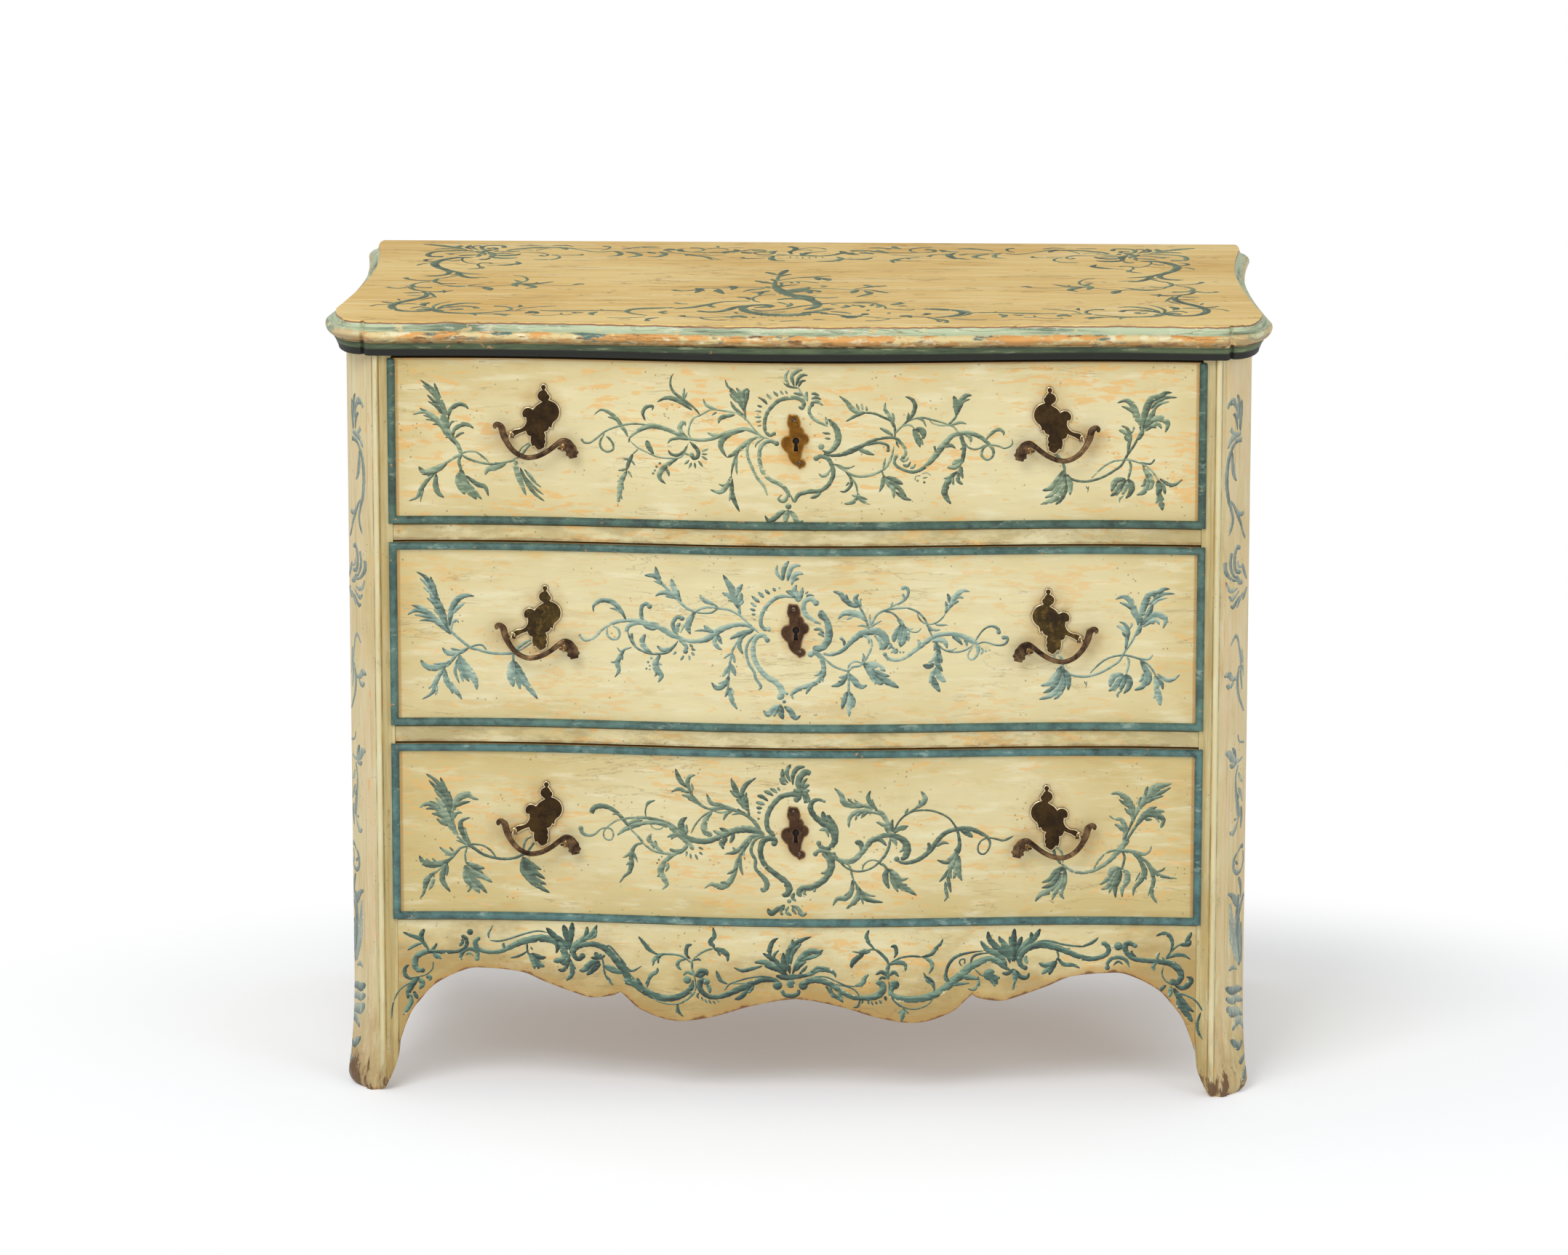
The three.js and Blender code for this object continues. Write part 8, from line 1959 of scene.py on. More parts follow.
# The top, in millimetres across it and back from the front plane
BOARD_LEFT = (
    (LEAF, 10, -483, 507, -466, 501, -451, 492, -436, 480, -424, 466), (LEAF, 8, -434, 500, -437, 490, -436,
     484),
    (LEAF, 5, -422, 502, -426, 486, -418, 471), (LEAF, 5, -466, 472, -456, 476, -444, 475, -432, 468),
    (STEM, (8, 6, 6, 6, 5, 5, 4), -451, 421, -466, 421, -471, 434, -466, 451, -451, 460, -431, 463, -414,
     460),
    (STEM, 3, -451, 444, -441, 443, -426, 450, -411, 451), (LEAF, 6, -446, 438, -438, 437),
    (LEAF, 6, -433, 426, -421, 431, -408, 434), (LEAF, 6, -436, 418, -424, 414, -412, 416),
    (CURL, 5, -380, 488, -382, 499, -392, 501, -404, 497, -408, 484, -404, 471, -394, 466),
    (CURL, 5, -398, 480, -391, 483, -389, 475, -396, 468),
    (CURL, 4, -408, 492, -414, 499, -420, 490, -416, 478, -410, 467), (LEAF, 5, -386, 466, -389, 457),
    (LEAF, 7, -394, 471, -402, 460, -408, 451), (LEAF, 8, -413, 460, -404, 447, -400, 434),
    (LEAF, 8, -398, 456, -392, 444, -390, 429, -393, 417), (LEAF, 5, -408, 441, -407, 428, -410, 418),
    (LEAF, 6, -406, 406, -397, 404, -392, 414), (LEAF, 8, -392, 434, -376, 430, -363, 435, -356, 444),
    (LEAF, 8, -395, 423, -381, 413, -368, 413, -358, 417), (LEAF, 5, -386, 454, -372, 457, -358, 462),
    (LEAF, 5, -392, 444, -378, 445, -364, 442),
    (STEM, (5, 6, 6, 6, 5, 4, 3, 3), -375, 465, -364, 476, -346, 485, -326, 488, -309, 488, -296, 484, -284,
      474, -274, 465),
    (LEAF, 8, -314, 489, -305, 486, -301, 473), (LEAF, 4, -361, 501, -346, 501, -334, 500),
    (LEAF, 4, -321, 502, -304, 504, -293, 496),
    (STEM, (3, 4, 4, 3, 2.5, 2.5, 2), -276, 466, -264, 460, -254, 460, -244, 465, -231, 462, -211, 460, -191,
     457),
    (STEM, (5, 4, 3, 2), -257, 501, -249, 496, -249, 483, -258, 470),
    (LEAF, 6, -242, 466, -234, 455, -232, 444, -236, 434, -248, 429),
    (LEAF, 7, -226, 459, -214, 451, -208, 440, -211, 432, -223, 423),
    (LEAF, 5, -232, 479, -218, 489, -201, 498, -186, 496), (LEAF, 3, -208, 492, -196, 490, -182, 488),
    (LEAF, 6, -200, 462, -194, 455, -188, 450), (LEAF, 7, -184, 463, -177, 450, -179, 437, -186, 428, -198,
     428),
    (CURL, 3, -329, 433, -332, 431, -327, 427, -322, 434, -323, 441, -332, 450, -346, 454, -360, 453),
    (STEM, (2, 3, 4, 3), -318, 438, -308, 428, -307, 415, -316, 405, -338, 403),
    (STEM, (2, 2.5, 3), -318, 438, -304, 435, -286, 436), (LEAF, 5, -288, 435, -280, 438, -281, 445),
    (STEM, 2, -365, 467, -352, 470, -342, 466), (STEM, (2, 3), -339, 464, -331, 478, -321, 488),
    (STEM, (5, 7, 9, 9, 9, 8, 8, 7, 6, 7, 5), -416, 415, -433, 413, -448, 400, -457, 381, -457, 363, -451,
     346,
      -441, 330, -435, 316, -437, 300, -448, 289, -464, 287),
    (STEM, 2.5, -426, 414, -426, 399, -422, 385, -414, 374, -402, 369),
    (CURL, 3, -388, 376, -392, 380, -400, 378, -404, 367, -401, 355, -393, 349),
    (LEAF, 4, -394, 350, -403, 339, -415, 333), (LEAF, 3, -401, 353, -399, 343, -394, 338),
    (STEM, 2.5, -393, 358, -378, 361, -366, 364), (LEAF, 9, -380, 361, -364, 367, -354, 377, -359, 390),
    (LEAF, 4, -444, 391, -434, 391, -426, 400), (LEAF, 5, -459, 386, -470, 390, -470, 400, -459, 404),
    (LEAF, 4, -479, 358, -474, 368, -465, 375), (STEM, 1.5, -466, 375, -458, 387),
    (LEAF, 6, -437, 330, -426, 314, -411, 304, -394, 300), (STEM, 3, -433, 326, -427, 314, -426, 301, -432,
     292),
    (STEM, 3, -424, 314, -423, 300, -426, 289, -436, 277, -446, 268),
    (LEAF, 7, -422, 308, -419, 291, -408, 277, -395, 274), (LEAF, 3, -408, 279, -394, 279, -383, 274),
    (STEM, (4, 5, 5, 4, 3), -442, 273, -448, 262, -448, 249, -442, 240, -432, 236, -421, 238),
    (STEM, (6, 4, 3, 3), -486, 275, -483, 266, -474, 259, -461, 255, -447, 254),
    (STEM, (2, 3), -443, 239, -437, 228, -426, 221, -412, 220),
    (LEAF, 7, -431, 221, -417, 218, -406, 222, -396, 231), (LEAF, 3, -408, 224, -398, 229, -386, 234),
    (STEM, 2, -408, 220, -394, 219, -384, 214), (LEAF, 7, -388, 215, -378, 205, -377, 192),
    (LEAF, 4, -387, 207, -381, 200, -378, 193), (STEM, 2, -392, 214, -376, 220, -361, 226, -346, 232, -336,
     234),
    (LEAF, 9, -346, 219, -350, 234, -344, 249, -353, 264),
    (STEM, (3, 3, 2), -340, 249, -336, 263, -339, 279, -346, 290, -356, 294),
    (LEAF, 6, -344, 236, -326, 239, -314, 245, -303, 254), (LEAF, 3, -323, 249, -325, 241),
    (LEAF, 9, -340, 232, -330, 226, -325, 215, -335, 206),
    (STEM, 1.6, -336, 234, -316, 230, -296, 228, -281, 230, -271, 235), (LEAF, 5, -279, 231, -271, 239, -265,
     235),
    (STEM, (3, 4, 5, 4), -454, 249, -466, 241, -473, 230, -474, 217, -469, 208),
    (STEM, (3, 4, 5), -474, 224, -468, 212, -458, 208, -448, 209),
    (STEM, (5, 4, 3), -503, 211, -497, 205, -486, 204, -476, 213),
    (STEM, (5, 5, 4, 3), -475, 209, -470, 196, -461, 188, -451, 183, -436, 181),
    (LEAF, 6, -446, 180, -433, 184, -421, 189), (LEAF, 4, -433, 193, -432, 185, -431, 174),
    (STEM, (3, 5, 7, 8, 8, 8, 8, 8, 7, 6, 7, 8), -458, 183, -452, 170, -451, 155, -458, 138, -470, 123, -481,
      107, -487, 88, -484, 70, -473, 56, -458, 52, -446, 55, -436, 64),
    (LEAF, 5, -480, 172, -467, 174, -455, 176), (LEAF, 4, -475, 157, -462, 156, -451, 160),
    (LEAF, 4, -449, 178, -444, 161, -438, 141), (LEAF, 3, -440, 150, -448, 137, -457, 124),
    (LEAF, 5, -502, 114, -491, 107, -478, 103), (STEM, (3, 3, 2), -513, 84, -506, 94, -493, 97, -483, 100),
    (LEAF, 3, -484, 134, -480, 122), (LEAF, 5, -480, 97, -467, 102, -457, 98),
    (LEAF, 9, -443, 110, -451, 99, -447, 87), (LEAF, 5, -464, 71, -455, 81, -445, 77, -436, 71),
    (LEAF, 9, -457, 60, -445, 67, -433, 69), (LEAF, 7, -431, 73, -421, 93, -401, 107, -380, 104),
    (STEM, (7, 5, 5, 4, 4), -384, 74, -389, 84, -403, 88, -417, 84, -428, 73, -434, 64),
    (LEAF, 3, -425, 75, -415, 79, -406, 75), (DOT, 3.5, -404, 69), (LEAF, 4, -417, 70, -408, 65, -400, 67),
    (LEAF, 4, -435, 67, -437, 87, -431, 104, -418, 120),
    (STEM, (9, 8, 6, 5, 4, 3, 3), -437, 66, -428, 52, -414, 45, -396, 42, -378, 45, -361, 52, -346, 58, -324,
     61),
    (LEAF, 5, -430, 63, -423, 54), (STEM, 3, -414, 44, -396, 40, -376, 40, -358, 39),
    (LEAF, 4, -392, 40, -384, 35, -383, 27), (LEAF, 7, -365, 40, -352, 37, -340, 34), (LEAF, 5, -354, 37,
     -345, 27),
    (STEM, (5, 4, 3), -365, 89, -353, 88, -345, 80, -343, 68, -350, 60), (LEAF, 4, -335, 98, -333, 90, -336,
     82),
    (STEM, (2, 3, 3, 2), -337, 63, -328, 77, -314, 85, -301, 89, -290, 92),
    (STEM, (3, 5, 5, 4, 4, 3), -308, 63, -286, 61, -264, 63, -241, 66, -221, 66, -199, 62),
    (LEAF, 8, -325, 44, -316, 52, -310, 42), (LEAF, 7, -322, 56, -314, 53, -308, 44),
    (STEM, (5, 2.5, 2, 1.5), -315, 33, -307, 30, -292, 32, -279, 42),
    (STEM, 2, -281, 48, -282, 39, -275, 35, -268, 39), (LEAF, 6, -267, 53, -264, 45), (LEAF, 4, -266, 48,
     -255, 53),
    (LEAF, 7, -239, 57, -246, 47, -243, 35), (LEAF, 3, -237, 72, -232, 66),
    (STEM, (3, 4, 5, 7, 8, 7, 4), -179, 35, -196, 46, -204, 58, -200, 72, -186, 79, -166, 83, -148, 87),
    (LEAF, 3, -226, 19, -204, 18, -180, 26), (DOT, 3, -177, 2), (LEAF, 5, -179, 6, -175, 15, -164, 22),
)
BOARD_CENTRE = (
    (LEAF, 8, -179, 470, -172, 481, -165, 474), (LEAF, 5, -176, 468, -168, 466),
    (STEM, 2.5, -193, 457, -171, 457, -156, 450, -141, 444, -121, 440, -101, 444),
    (LEAF, 9, -159, 483, -159, 471, -151, 464),
    (STEM, (3, 3, 4, 4, 3), -156, 467, -141, 462, -126, 459, -111, 460, -96, 461),
    (LEAF, 7, -104, 453, -101, 465, -90, 472), (LEAF, 7, -91, 482, -88, 471, -95, 462),
    (STEM, (5, 4, 3, 2), -147, 491, -136, 490, -130, 482, -132, 471, -141, 465),
    (STEM, 3, -128, 483, -116, 490, -104, 487, -99, 479), (LEAF, 4, -114, 506, -112, 493),
    (STEM, 2, -99, 494, -80, 494), (STEM, (2, 4, 5, 4, 3), -153, 447, -141, 438, -126, 428, -116, 409),
    (LEAF, 3, -134, 438, -118, 423, -104, 406), (LEAF, 4, -147, 445, -151, 435),
    (LEAF, 8, -83, 463, -76, 459, -67, 455), (STEM, (3, 4, 4, 3), -84, 469, -71, 480, -58, 480, -51, 472),
    (LEAF, 4, -76, 472, -62, 474, -52, 468), (CURL, 4, -64, 464, -56, 466, -49, 462),
    (STEM, 3.5, -67, 460, -62, 450, -52, 447, -44, 452, -40, 463), (LEAF, 8, -45, 456, -44, 467, -38, 474),
    (STEM, (3, 3, 4, 5, 6), -38, 450, -21, 443, -6, 440, 9, 438, 24, 441, 35, 449, 41, 460),
    (LEAF, 9, 42, 455, 45, 465, 40, 476), (STEM, 2.5, -63, 436, -42, 438, -26, 444),
    (LEAF, 7, -41, 437, -44, 422, -39, 407, -25, 404), (STEM, (6, 4, 3, 2), -81, 427, -76, 419, -64, 419,
     -51, 423),
    (STEM, (5, 7, 5, 5, 3), -25, 505, -16, 495, -17, 480, -22, 467, -19, 451),
    (STEM, (2, 3, 3, 4), -14, 476, -8, 490, 4, 496, 16, 494, 23, 487), (STEM, 2.5, -12, 480, -1, 481, 6, 476),
    (STEM, (4, 3, 2), -4, 460, 7, 465, 18, 471, 24, 476), (LEAF, 7, -7, 441, -3, 455, 6, 464),
    (LEAF, 4, -9, 458, -5, 449), (LEAF, 7, -6, 440, 4, 441, 14, 440), (LEAF, 2, -21, 434, -20, 426),
    (LEAF, 2, -13, 433, -11, 424), (LEAF, 2, -5, 432, -5, 422), (LEAF, 2, 3, 432, 4, 423),
    (LEAF, 2, 11, 433, 12, 424), (LEAF, 2, 19, 434, 20, 426),
    (LEAF, 7, 37, 434, 43, 422, 37, 407, 24, 402, 12, 400), (STEM, (2, 3, 3), 44, 419, 56, 416, 68, 418),
    (LEAF, 6, 62, 418, 74, 420, 82, 431), (STEM, 4, 52, 475, 60, 480, 71, 480, 80, 476, 88, 468),
    (STEM, 3, 54, 472, 64, 474, 75, 470), (LEAF, 8, 48, 460, 56, 454, 65, 450), (DOT, 3.5, 54, 461),
    (LEAF, 8, 64, 460, 74, 462, 83, 454), (LEAF, 9, 86, 482, 92, 471, 101, 460),
    (STEM, (4, 3, 3, 2), 79, 474, 94, 469, 109, 464, 124, 464, 139, 466, 154, 469),
    (STEM, 2.5, 102, 453, 119, 445, 134, 442, 149, 443), (LEAF, 5, 74, 497, 89, 498, 103, 494),
    (LEAF, 9, 107, 510, 109, 499, 117, 491), (LEAF, 5, 104, 493, 96, 487),
    (STEM, (3, 3.5, 3, 2), 155, 504, 139, 501, 129, 491, 128, 478, 138, 465),
    (STEM, (8, 6, 4, 2), 147, 489, 157, 483, 157, 473, 146, 469), (LEAF, 7, 164, 486, 170, 479, 167, 472),
    (LEAF, 6, 171, 478, 180, 474, 189, 471), (STEM, (6, 4, 3, 2), 151, 438, 154, 448, 164, 455, 182, 459),
    (STEM, (3, 5, 5, 4, 3), 109, 395, 106, 410, 116, 422, 126, 428, 140, 436), (LEAF, 5, 115, 415, 112, 404),
    (LEAF, 5, 123, 430, 128, 419), (STEM, (3, 7, 8, 3), 184, 465, 176, 452, 178, 440, 185, 421),
    (LEAF, 3, 183, 430, 194, 422, 204, 421),
    (STEM, (4, 5, 7, 9, 12, 13, 13, 12, 11, 10, 9, 9, 8, 7), -33, 264, -34, 245, -32, 230, -29, 214, -24, 198,
      -19, 185, -10, 169, 2, 154, 13, 140, 20, 123, 22, 105, 17, 89, 6, 77),
    (LEAF, 6, -48, 326, -40, 317, -32, 305), (LEAF, 7, -21, 343, -26, 324, -31, 303),
    (LEAF, 6, -15, 312, -24, 306, -30, 295), (STEM, 4, -30, 306, -31, 287, -32, 266), (LEAF, 5, -39, 278,
     -33, 263),
    (LEAF, 9, -59, 267, -46, 257, -33, 245), (LEAF, 5, -52, 256, -41, 251),
    (STEM, (3, 3, 4, 5), -30, 268, -18, 281, -4, 290, 12, 292, 22, 286, 28, 275),
    (LEAF, 5, -6, 288, 12, 294, 34, 302), (LEAF, 6, 14, 289, 18, 280, 19, 272),
    (LEAF, 8, 21, 287, 30, 278, 30, 268), (STEM, (3, 3, 4), -29, 253, -16, 261, -1, 265, 9, 259, 20, 254),
    (LEAF, 4, -14, 259, -13, 251), (LEAF, 4, -6, 261, -5, 251), (STEM, 3, -28, 257, -25, 243, -28, 231),
    (LEAF, 5, -29, 224, -21, 235, -5, 240),
    (STEM, (5, 4, 3, 3, 3, 4, 5), -32, 216, -44, 220, -58, 222, -74, 221, -91, 218, -108, 215, -126, 213),
    (LEAF, 5, -45, 229, -37, 223), (LEAF, 9, -89, 231, -82, 222, -85, 204),
    (LEAF, 8, -128, 215, -123, 203, -128, 183), (LEAF, 6, -125, 207, -117, 196),
    (LEAF, 9, -101, 210, -99, 194, -93, 177), (LEAF, 6, -99, 207, -106, 193),
    (STEM, (6, 4, 3), -156, 202, -146, 196, -136, 198, -126, 206),
    (LEAF, 6, -44, 216, -56, 210, -64, 203, -71, 192), (LEAF, 7, -38, 201, -48, 190, -50, 171),
    (LEAF, 3, -62, 188, -46, 190), (LEAF, 14, -23, 197, -8, 207, 4, 216, 9, 226),
    (LEAF, 13, -21, 192, -4, 199, 13, 208), (LEAF, 10, 1, 209, 9, 198, 11, 184),
    (LEAF, 7, 12, 205, 20, 199, 21, 191), (STEM, (3, 2.5, 2), 12, 217, 34, 217, 54, 213, 72, 210),
    (CURL, 4, 25, 228, 29, 232, 22, 237), (STEM, (2, 3, 5, 4), 64, 216, 72, 221, 80, 227, 92, 235, 103, 237),
    (LEAF, 7, 74, 243, 82, 235, 80, 224), (STEM, (2, 3, 5, 4), 68, 210, 82, 208, 94, 200, 105, 189),
    (LEAF, 8, 67, 210, 64, 198, 61, 186), (LEAF, 7, 76, 204, 83, 186, 67, 162),
    (LEAF, 8, -16, 175, 0, 170, 12, 159, 17, 141), (STEM, (3, 4, 5, 4), 8, 165, 19, 158, 32, 155, 46, 160),
    (STEM, (4, 3, 3), -30, 174, -44, 172, -54, 161, -57, 145, -54, 132, -47, 125),
    (LEAF, 5, -77, 155, -66, 155, -57, 147), (LEAF, 4, -66, 154, -59, 139),
    (LEAF, 9, -28, 140, -18, 148, -4, 148, 10, 141),
    (STEM, (3, 4, 5, 6, 5), -60, 132, -76, 130, -91, 126, -103, 115, -108, 102, -100, 88),
    (STEM, (5, 8, 8, 4), -103, 114, -116, 100, -128, 89, -149, 78),
    (STEM, (6, 4, 3), -149, 119, -143, 112, -133, 110),
    (STEM, (6, 7, 8, 8, 7, 6), -120, 66, -109, 60, -95, 62, -84, 75, -76, 90, -64, 100, -48, 106),
    (STEM, (10, 9, 8, 8, 9, 10, 11, 11, 9), -43, 91, -34, 99, -40, 107, -54, 105, -65, 94, -66, 79, -61, 65,
      -51, 53, -36, 46, -18, 45),
    (LEAF, 7, -54, 89, -43, 92, -33, 89), (STEM, (9, 13, 14, 14, 12), -48, 47, -32, 43, -16, 42, -1, 45, 16,
     50),
    (STEM, (5, 4, 4, 5, 4, 3), -56, 77, -46, 70, -32, 72, -18, 81, -7, 91, 6, 102, 22, 112, 38, 119),
    (STEM, 3, -54, 64, -36, 60, -14, 63), (LEAF, 5, -15, 94, -10, 108, -11, 121),
    (LEAF, 4, -27, 128, -19, 117, -12, 104), (LEAF, 2, -42, 40, -43, 34), (LEAF, 2, -34, 38, -35, 32),
    (LEAF, 2, -26, 36, -26, 30), (LEAF, 2, -18, 36, -17, 29), (LEAF, 2, -10, 37, -8, 31), (LEAF, 2, -2, 40,
     0, 33),
    (LEAF, 12, 4, 54, 19, 62, 36, 55), (LEAF, 9, 18, 69, 32, 77, 42, 86), (LEAF, 8, 28, 85, 44, 82),
    (LEAF, 6, 38, 67, 54, 61, 64, 52), (STEM, (7, 5, 4), 28, 54, 44, 48, 58, 39),
    (LEAF, 12, 51, 32, 64, 36, 78, 38), (LEAF, 9, 57, 26, 72, 31), (STEM, 4, 66, 36, 75, 43, 81, 51),
    (DOT, 4, 80, 51), (STEM, 3, 77, 37, 94, 30, 109, 24, 124, 27),
    (STEM, (2, 3, 4), 110, 23, 104, 15, 92, 9, 81, 9), (LEAF, 10, 121, 36, 130, 41, 135, 30),
    (STEM, 3, 134, 38, 149, 34, 161, 29), (LEAF, 5, 154, 31, 164, 22, 168, 10), (DOT, 3, 169, 8), (DOT, 4,
     154, 55),
    (STEM, 2.5, 147, 45, 155, 50),
    (STEM, (4, 6, 7, 7, 5, 3), 157, 89, 174, 85, 189, 77, 196, 63, 190, 49, 176, 38, 162, 31),
    (STEM, (4, 4, 3, 3, 3, 2), 20, 116, 42, 121, 59, 123, 76, 123, 92, 117, 102, 103, 104, 84),
    (LEAF, 4, 64, 127, 79, 129, 96, 121), (STEM, (7, 6, 4), 50, 93, 59, 100, 54, 109), (LEAF, 5, 38, 115, 47,
     105),
    (LEAF, 6, 69, 110, 76, 101, 75, 93), (LEAF, 5, 63, 112, 69, 103), (LEAF, 5, 88, 116, 86, 103),
    (LEAF, 6, 92, 113, 97, 103, 92, 93), (LEAF, 8, 109, 112, 119, 120, 120, 131), (LEAF, 6, 114, 118, 127,
     123),
    (LEAF, 4, 117, 103, 131, 104), (STEM, (2, 3, 4), 105, 88, 116, 83, 128, 79, 139, 82), (LEAF, 4, 82, 72,
     84, 81),
    (LEAF, 4, 107, 53, 109, 63), (STEM, (8, 4, 3, 3), -138, 36, -134, 28, -124, 25, -108, 24),
    (STEM, (3, 3, 4), -122, 26, -104, 24, -86, 29, -66, 29), (LEAF, 12, -80, 28, -69, 32, -59, 23),
    (LEAF, 5, -86, 27, -74, 20), (STEM, (3, 3, 3), -115, 22, -108, 12, -96, 7, -83, 8),
    (STEM, (6, 5, 4), -157, 47, -164, 57, -156, 63), (LEAF, 4, -75, 59, -72, 49), (DOT, 2, -52, 25),
    (STEM, 2, -34, 11, -26, 5), (LEAF, 4, -21, 1, -8, 6, 6, 6), (LEAF, 4, 18, 15, 34, 13),
)

# A canted corner: millimetres back from its ridge and up
FLANK = (
    (STEM, (6, 5, 4, 4, 5, 4), 12, 847, 17, 853, 26, 856, 33, 849, 39, 838, 43, 822),
    (LEAF, 5, 18, 850, 26, 851, 34, 843, 38, 830), (LEAF, 6, 25, 838, 31, 835, 35, 826, 37, 816),
    (LEAF, 9, 35, 860, 40, 852, 41, 838, 43, 815), (LEAF, 8, 48, 852, 47, 835, 45, 814),
    (STEM, (7, 5, 4, 3), 20, 821, 25, 816, 33, 813, 47, 813), (LEAF, 9, 13, 798, 19, 805, 26, 811, 35, 812),
    (STEM, 4, 22, 806, 32, 809, 47, 811),
    (STEM, (6, 6, 6, 7, 8, 8, 7, 6, 6, 7, 5), 50, 803, 40, 804, 30, 802, 22, 795, 15, 782, 12, 765, 13, 750,
      17, 735, 22, 725, 27, 713, 26, 704, 18, 691),
    (LEAF, 10, 24, 793, 25, 777, 29, 764, 36, 755),
    (STEM, (3, 5, 6, 6, 6), 22, 733, 30, 726, 38, 718, 46, 713, 60, 712),
    (STEM, (2, 6, 6, 5, 4), 28, 727, 40, 713, 50, 701, 58, 688, 66, 680),
    (STEM, (9, 8, 6, 4, 2), 11, 660, 12, 650, 18, 643, 28, 636, 42, 632),
    (STEM, (7, 7, 5, 2), 26, 669, 23, 658, 26, 648, 34, 639, 46, 635),
    (STEM, (4, 8, 8, 6, 5), 50, 671, 40, 673, 34, 664, 34, 652, 40, 644, 54, 641),
    (STEM, (6, 4, 3), 42, 656, 46, 649, 58, 647), (LEAF, 6, 13, 636, 20, 626, 30, 622, 44, 623),
    (LEAF, 6, 20, 617, 28, 612, 36, 614, 48, 619), (LEAF, 6, 25, 604, 32, 602, 40, 607, 50, 612),
    (LEAF, 9, 40, 638, 48, 630, 60, 627), (LEAF, 8, 41, 599, 46, 606, 60, 614),
    (LEAF, 9, 56, 650, 64, 640, 74, 628), (LEAF, 8, 58, 606, 66, 612, 76, 618),
    (STEM, (3, 5, 5, 5, 6, 8, 5), 27, 556, 33, 562, 40, 565, 46, 560, 50, 550, 54, 540, 57, 526, 55, 508),
    (LEAF, 10, 12, 520, 22, 521, 32, 514, 43, 511), (LEAF, 7, 17, 508, 26, 505, 36, 509),
    (LEAF, 5, 25, 523, 30, 516), (STEM, 2, 34, 510, 41, 514, 50, 519),
    (STEM, (4, 8, 7, 6, 5, 4), 51, 526, 46, 511, 48, 496, 53, 486, 61, 476, 70, 466),
    (LEAF, 6, 54, 520, 59, 506, 62, 494), (LEAF, 6, 60, 545, 63, 526, 66, 510),
    (STEM, (4, 3, 3), 50, 441, 53, 434, 60, 430, 74, 427),
    (STEM, (3, 10, 12, 8, 4, 3), 17, 425, 26, 422, 34, 416, 44, 410, 54, 408, 68, 410),
    (LEAF, 9, 35, 428, 42, 419, 45, 410), (LEAF, 6, 28, 408, 36, 405, 47, 406),
    (STEM, (5, 5, 6, 10, 12, 8), 51, 403, 45, 390, 46, 374, 50, 360, 54, 346, 56, 335),
    (LEAF, 9, 30, 324, 39, 321, 47, 327, 56, 336), (LEAF, 4, 41, 338, 50, 336),
    (LEAF, 7, 54, 393, 60, 385, 68, 379), (LEAF, 8, 54, 374, 62, 366, 69, 354), (LEAF, 5, 49, 368, 57, 361),
    (LEAF, 8, 64, 350, 66, 335, 62, 322),
    (STEM, (4, 7, 8, 6, 6, 5), 53, 294, 44, 288, 42, 280, 46, 272, 56, 268, 70, 270),
    (STEM, (4, 5, 7), 56, 294, 65, 299, 76, 297), (LEAF, 5, 47, 284, 57, 279),
    (STEM, (5, 5, 4), 70, 271, 76, 280, 74, 292), (STEM, (2, 7, 12, 12), 28, 248, 38, 244, 48, 236, 58, 228),
    (STEM, (5, 12, 17, 17, 14), 34, 234, 38, 212, 42, 192, 52, 173, 64, 155),
    (STEM, (8, 12, 13, 12), 60, 240, 54, 216, 55, 195, 60, 172, 68, 150),
    (STEM, (6, 10, 9), 80, 236, 68, 226, 58, 211), (LEAF, 10, 58, 262, 66, 251, 68, 234),
    (LEAF, 8, 70, 204, 73, 180, 74, 152), (LEAF, 12, 62, 212, 64, 188, 70, 160),
    (LEAF, 6, 33, 151, 44, 153, 58, 147), (LEAF, 13, 25, 131, 42, 124, 60, 122, 80, 117),
    (LEAF, 12, 26, 118, 42, 112, 60, 110, 82, 103), (LEAF, 15, 28, 106, 42, 98, 60, 95, 82, 87),
    (LEAF, 13, 44, 76, 56, 83, 70, 83, 86, 70), (LEAF, 12, 38, 65, 52, 58, 64, 54, 78, 59),
    (LEAF, 9, 60, 36, 70, 37, 86, 43), (LEAF, 14, 62, 14, 70, 19, 84, 28),
)


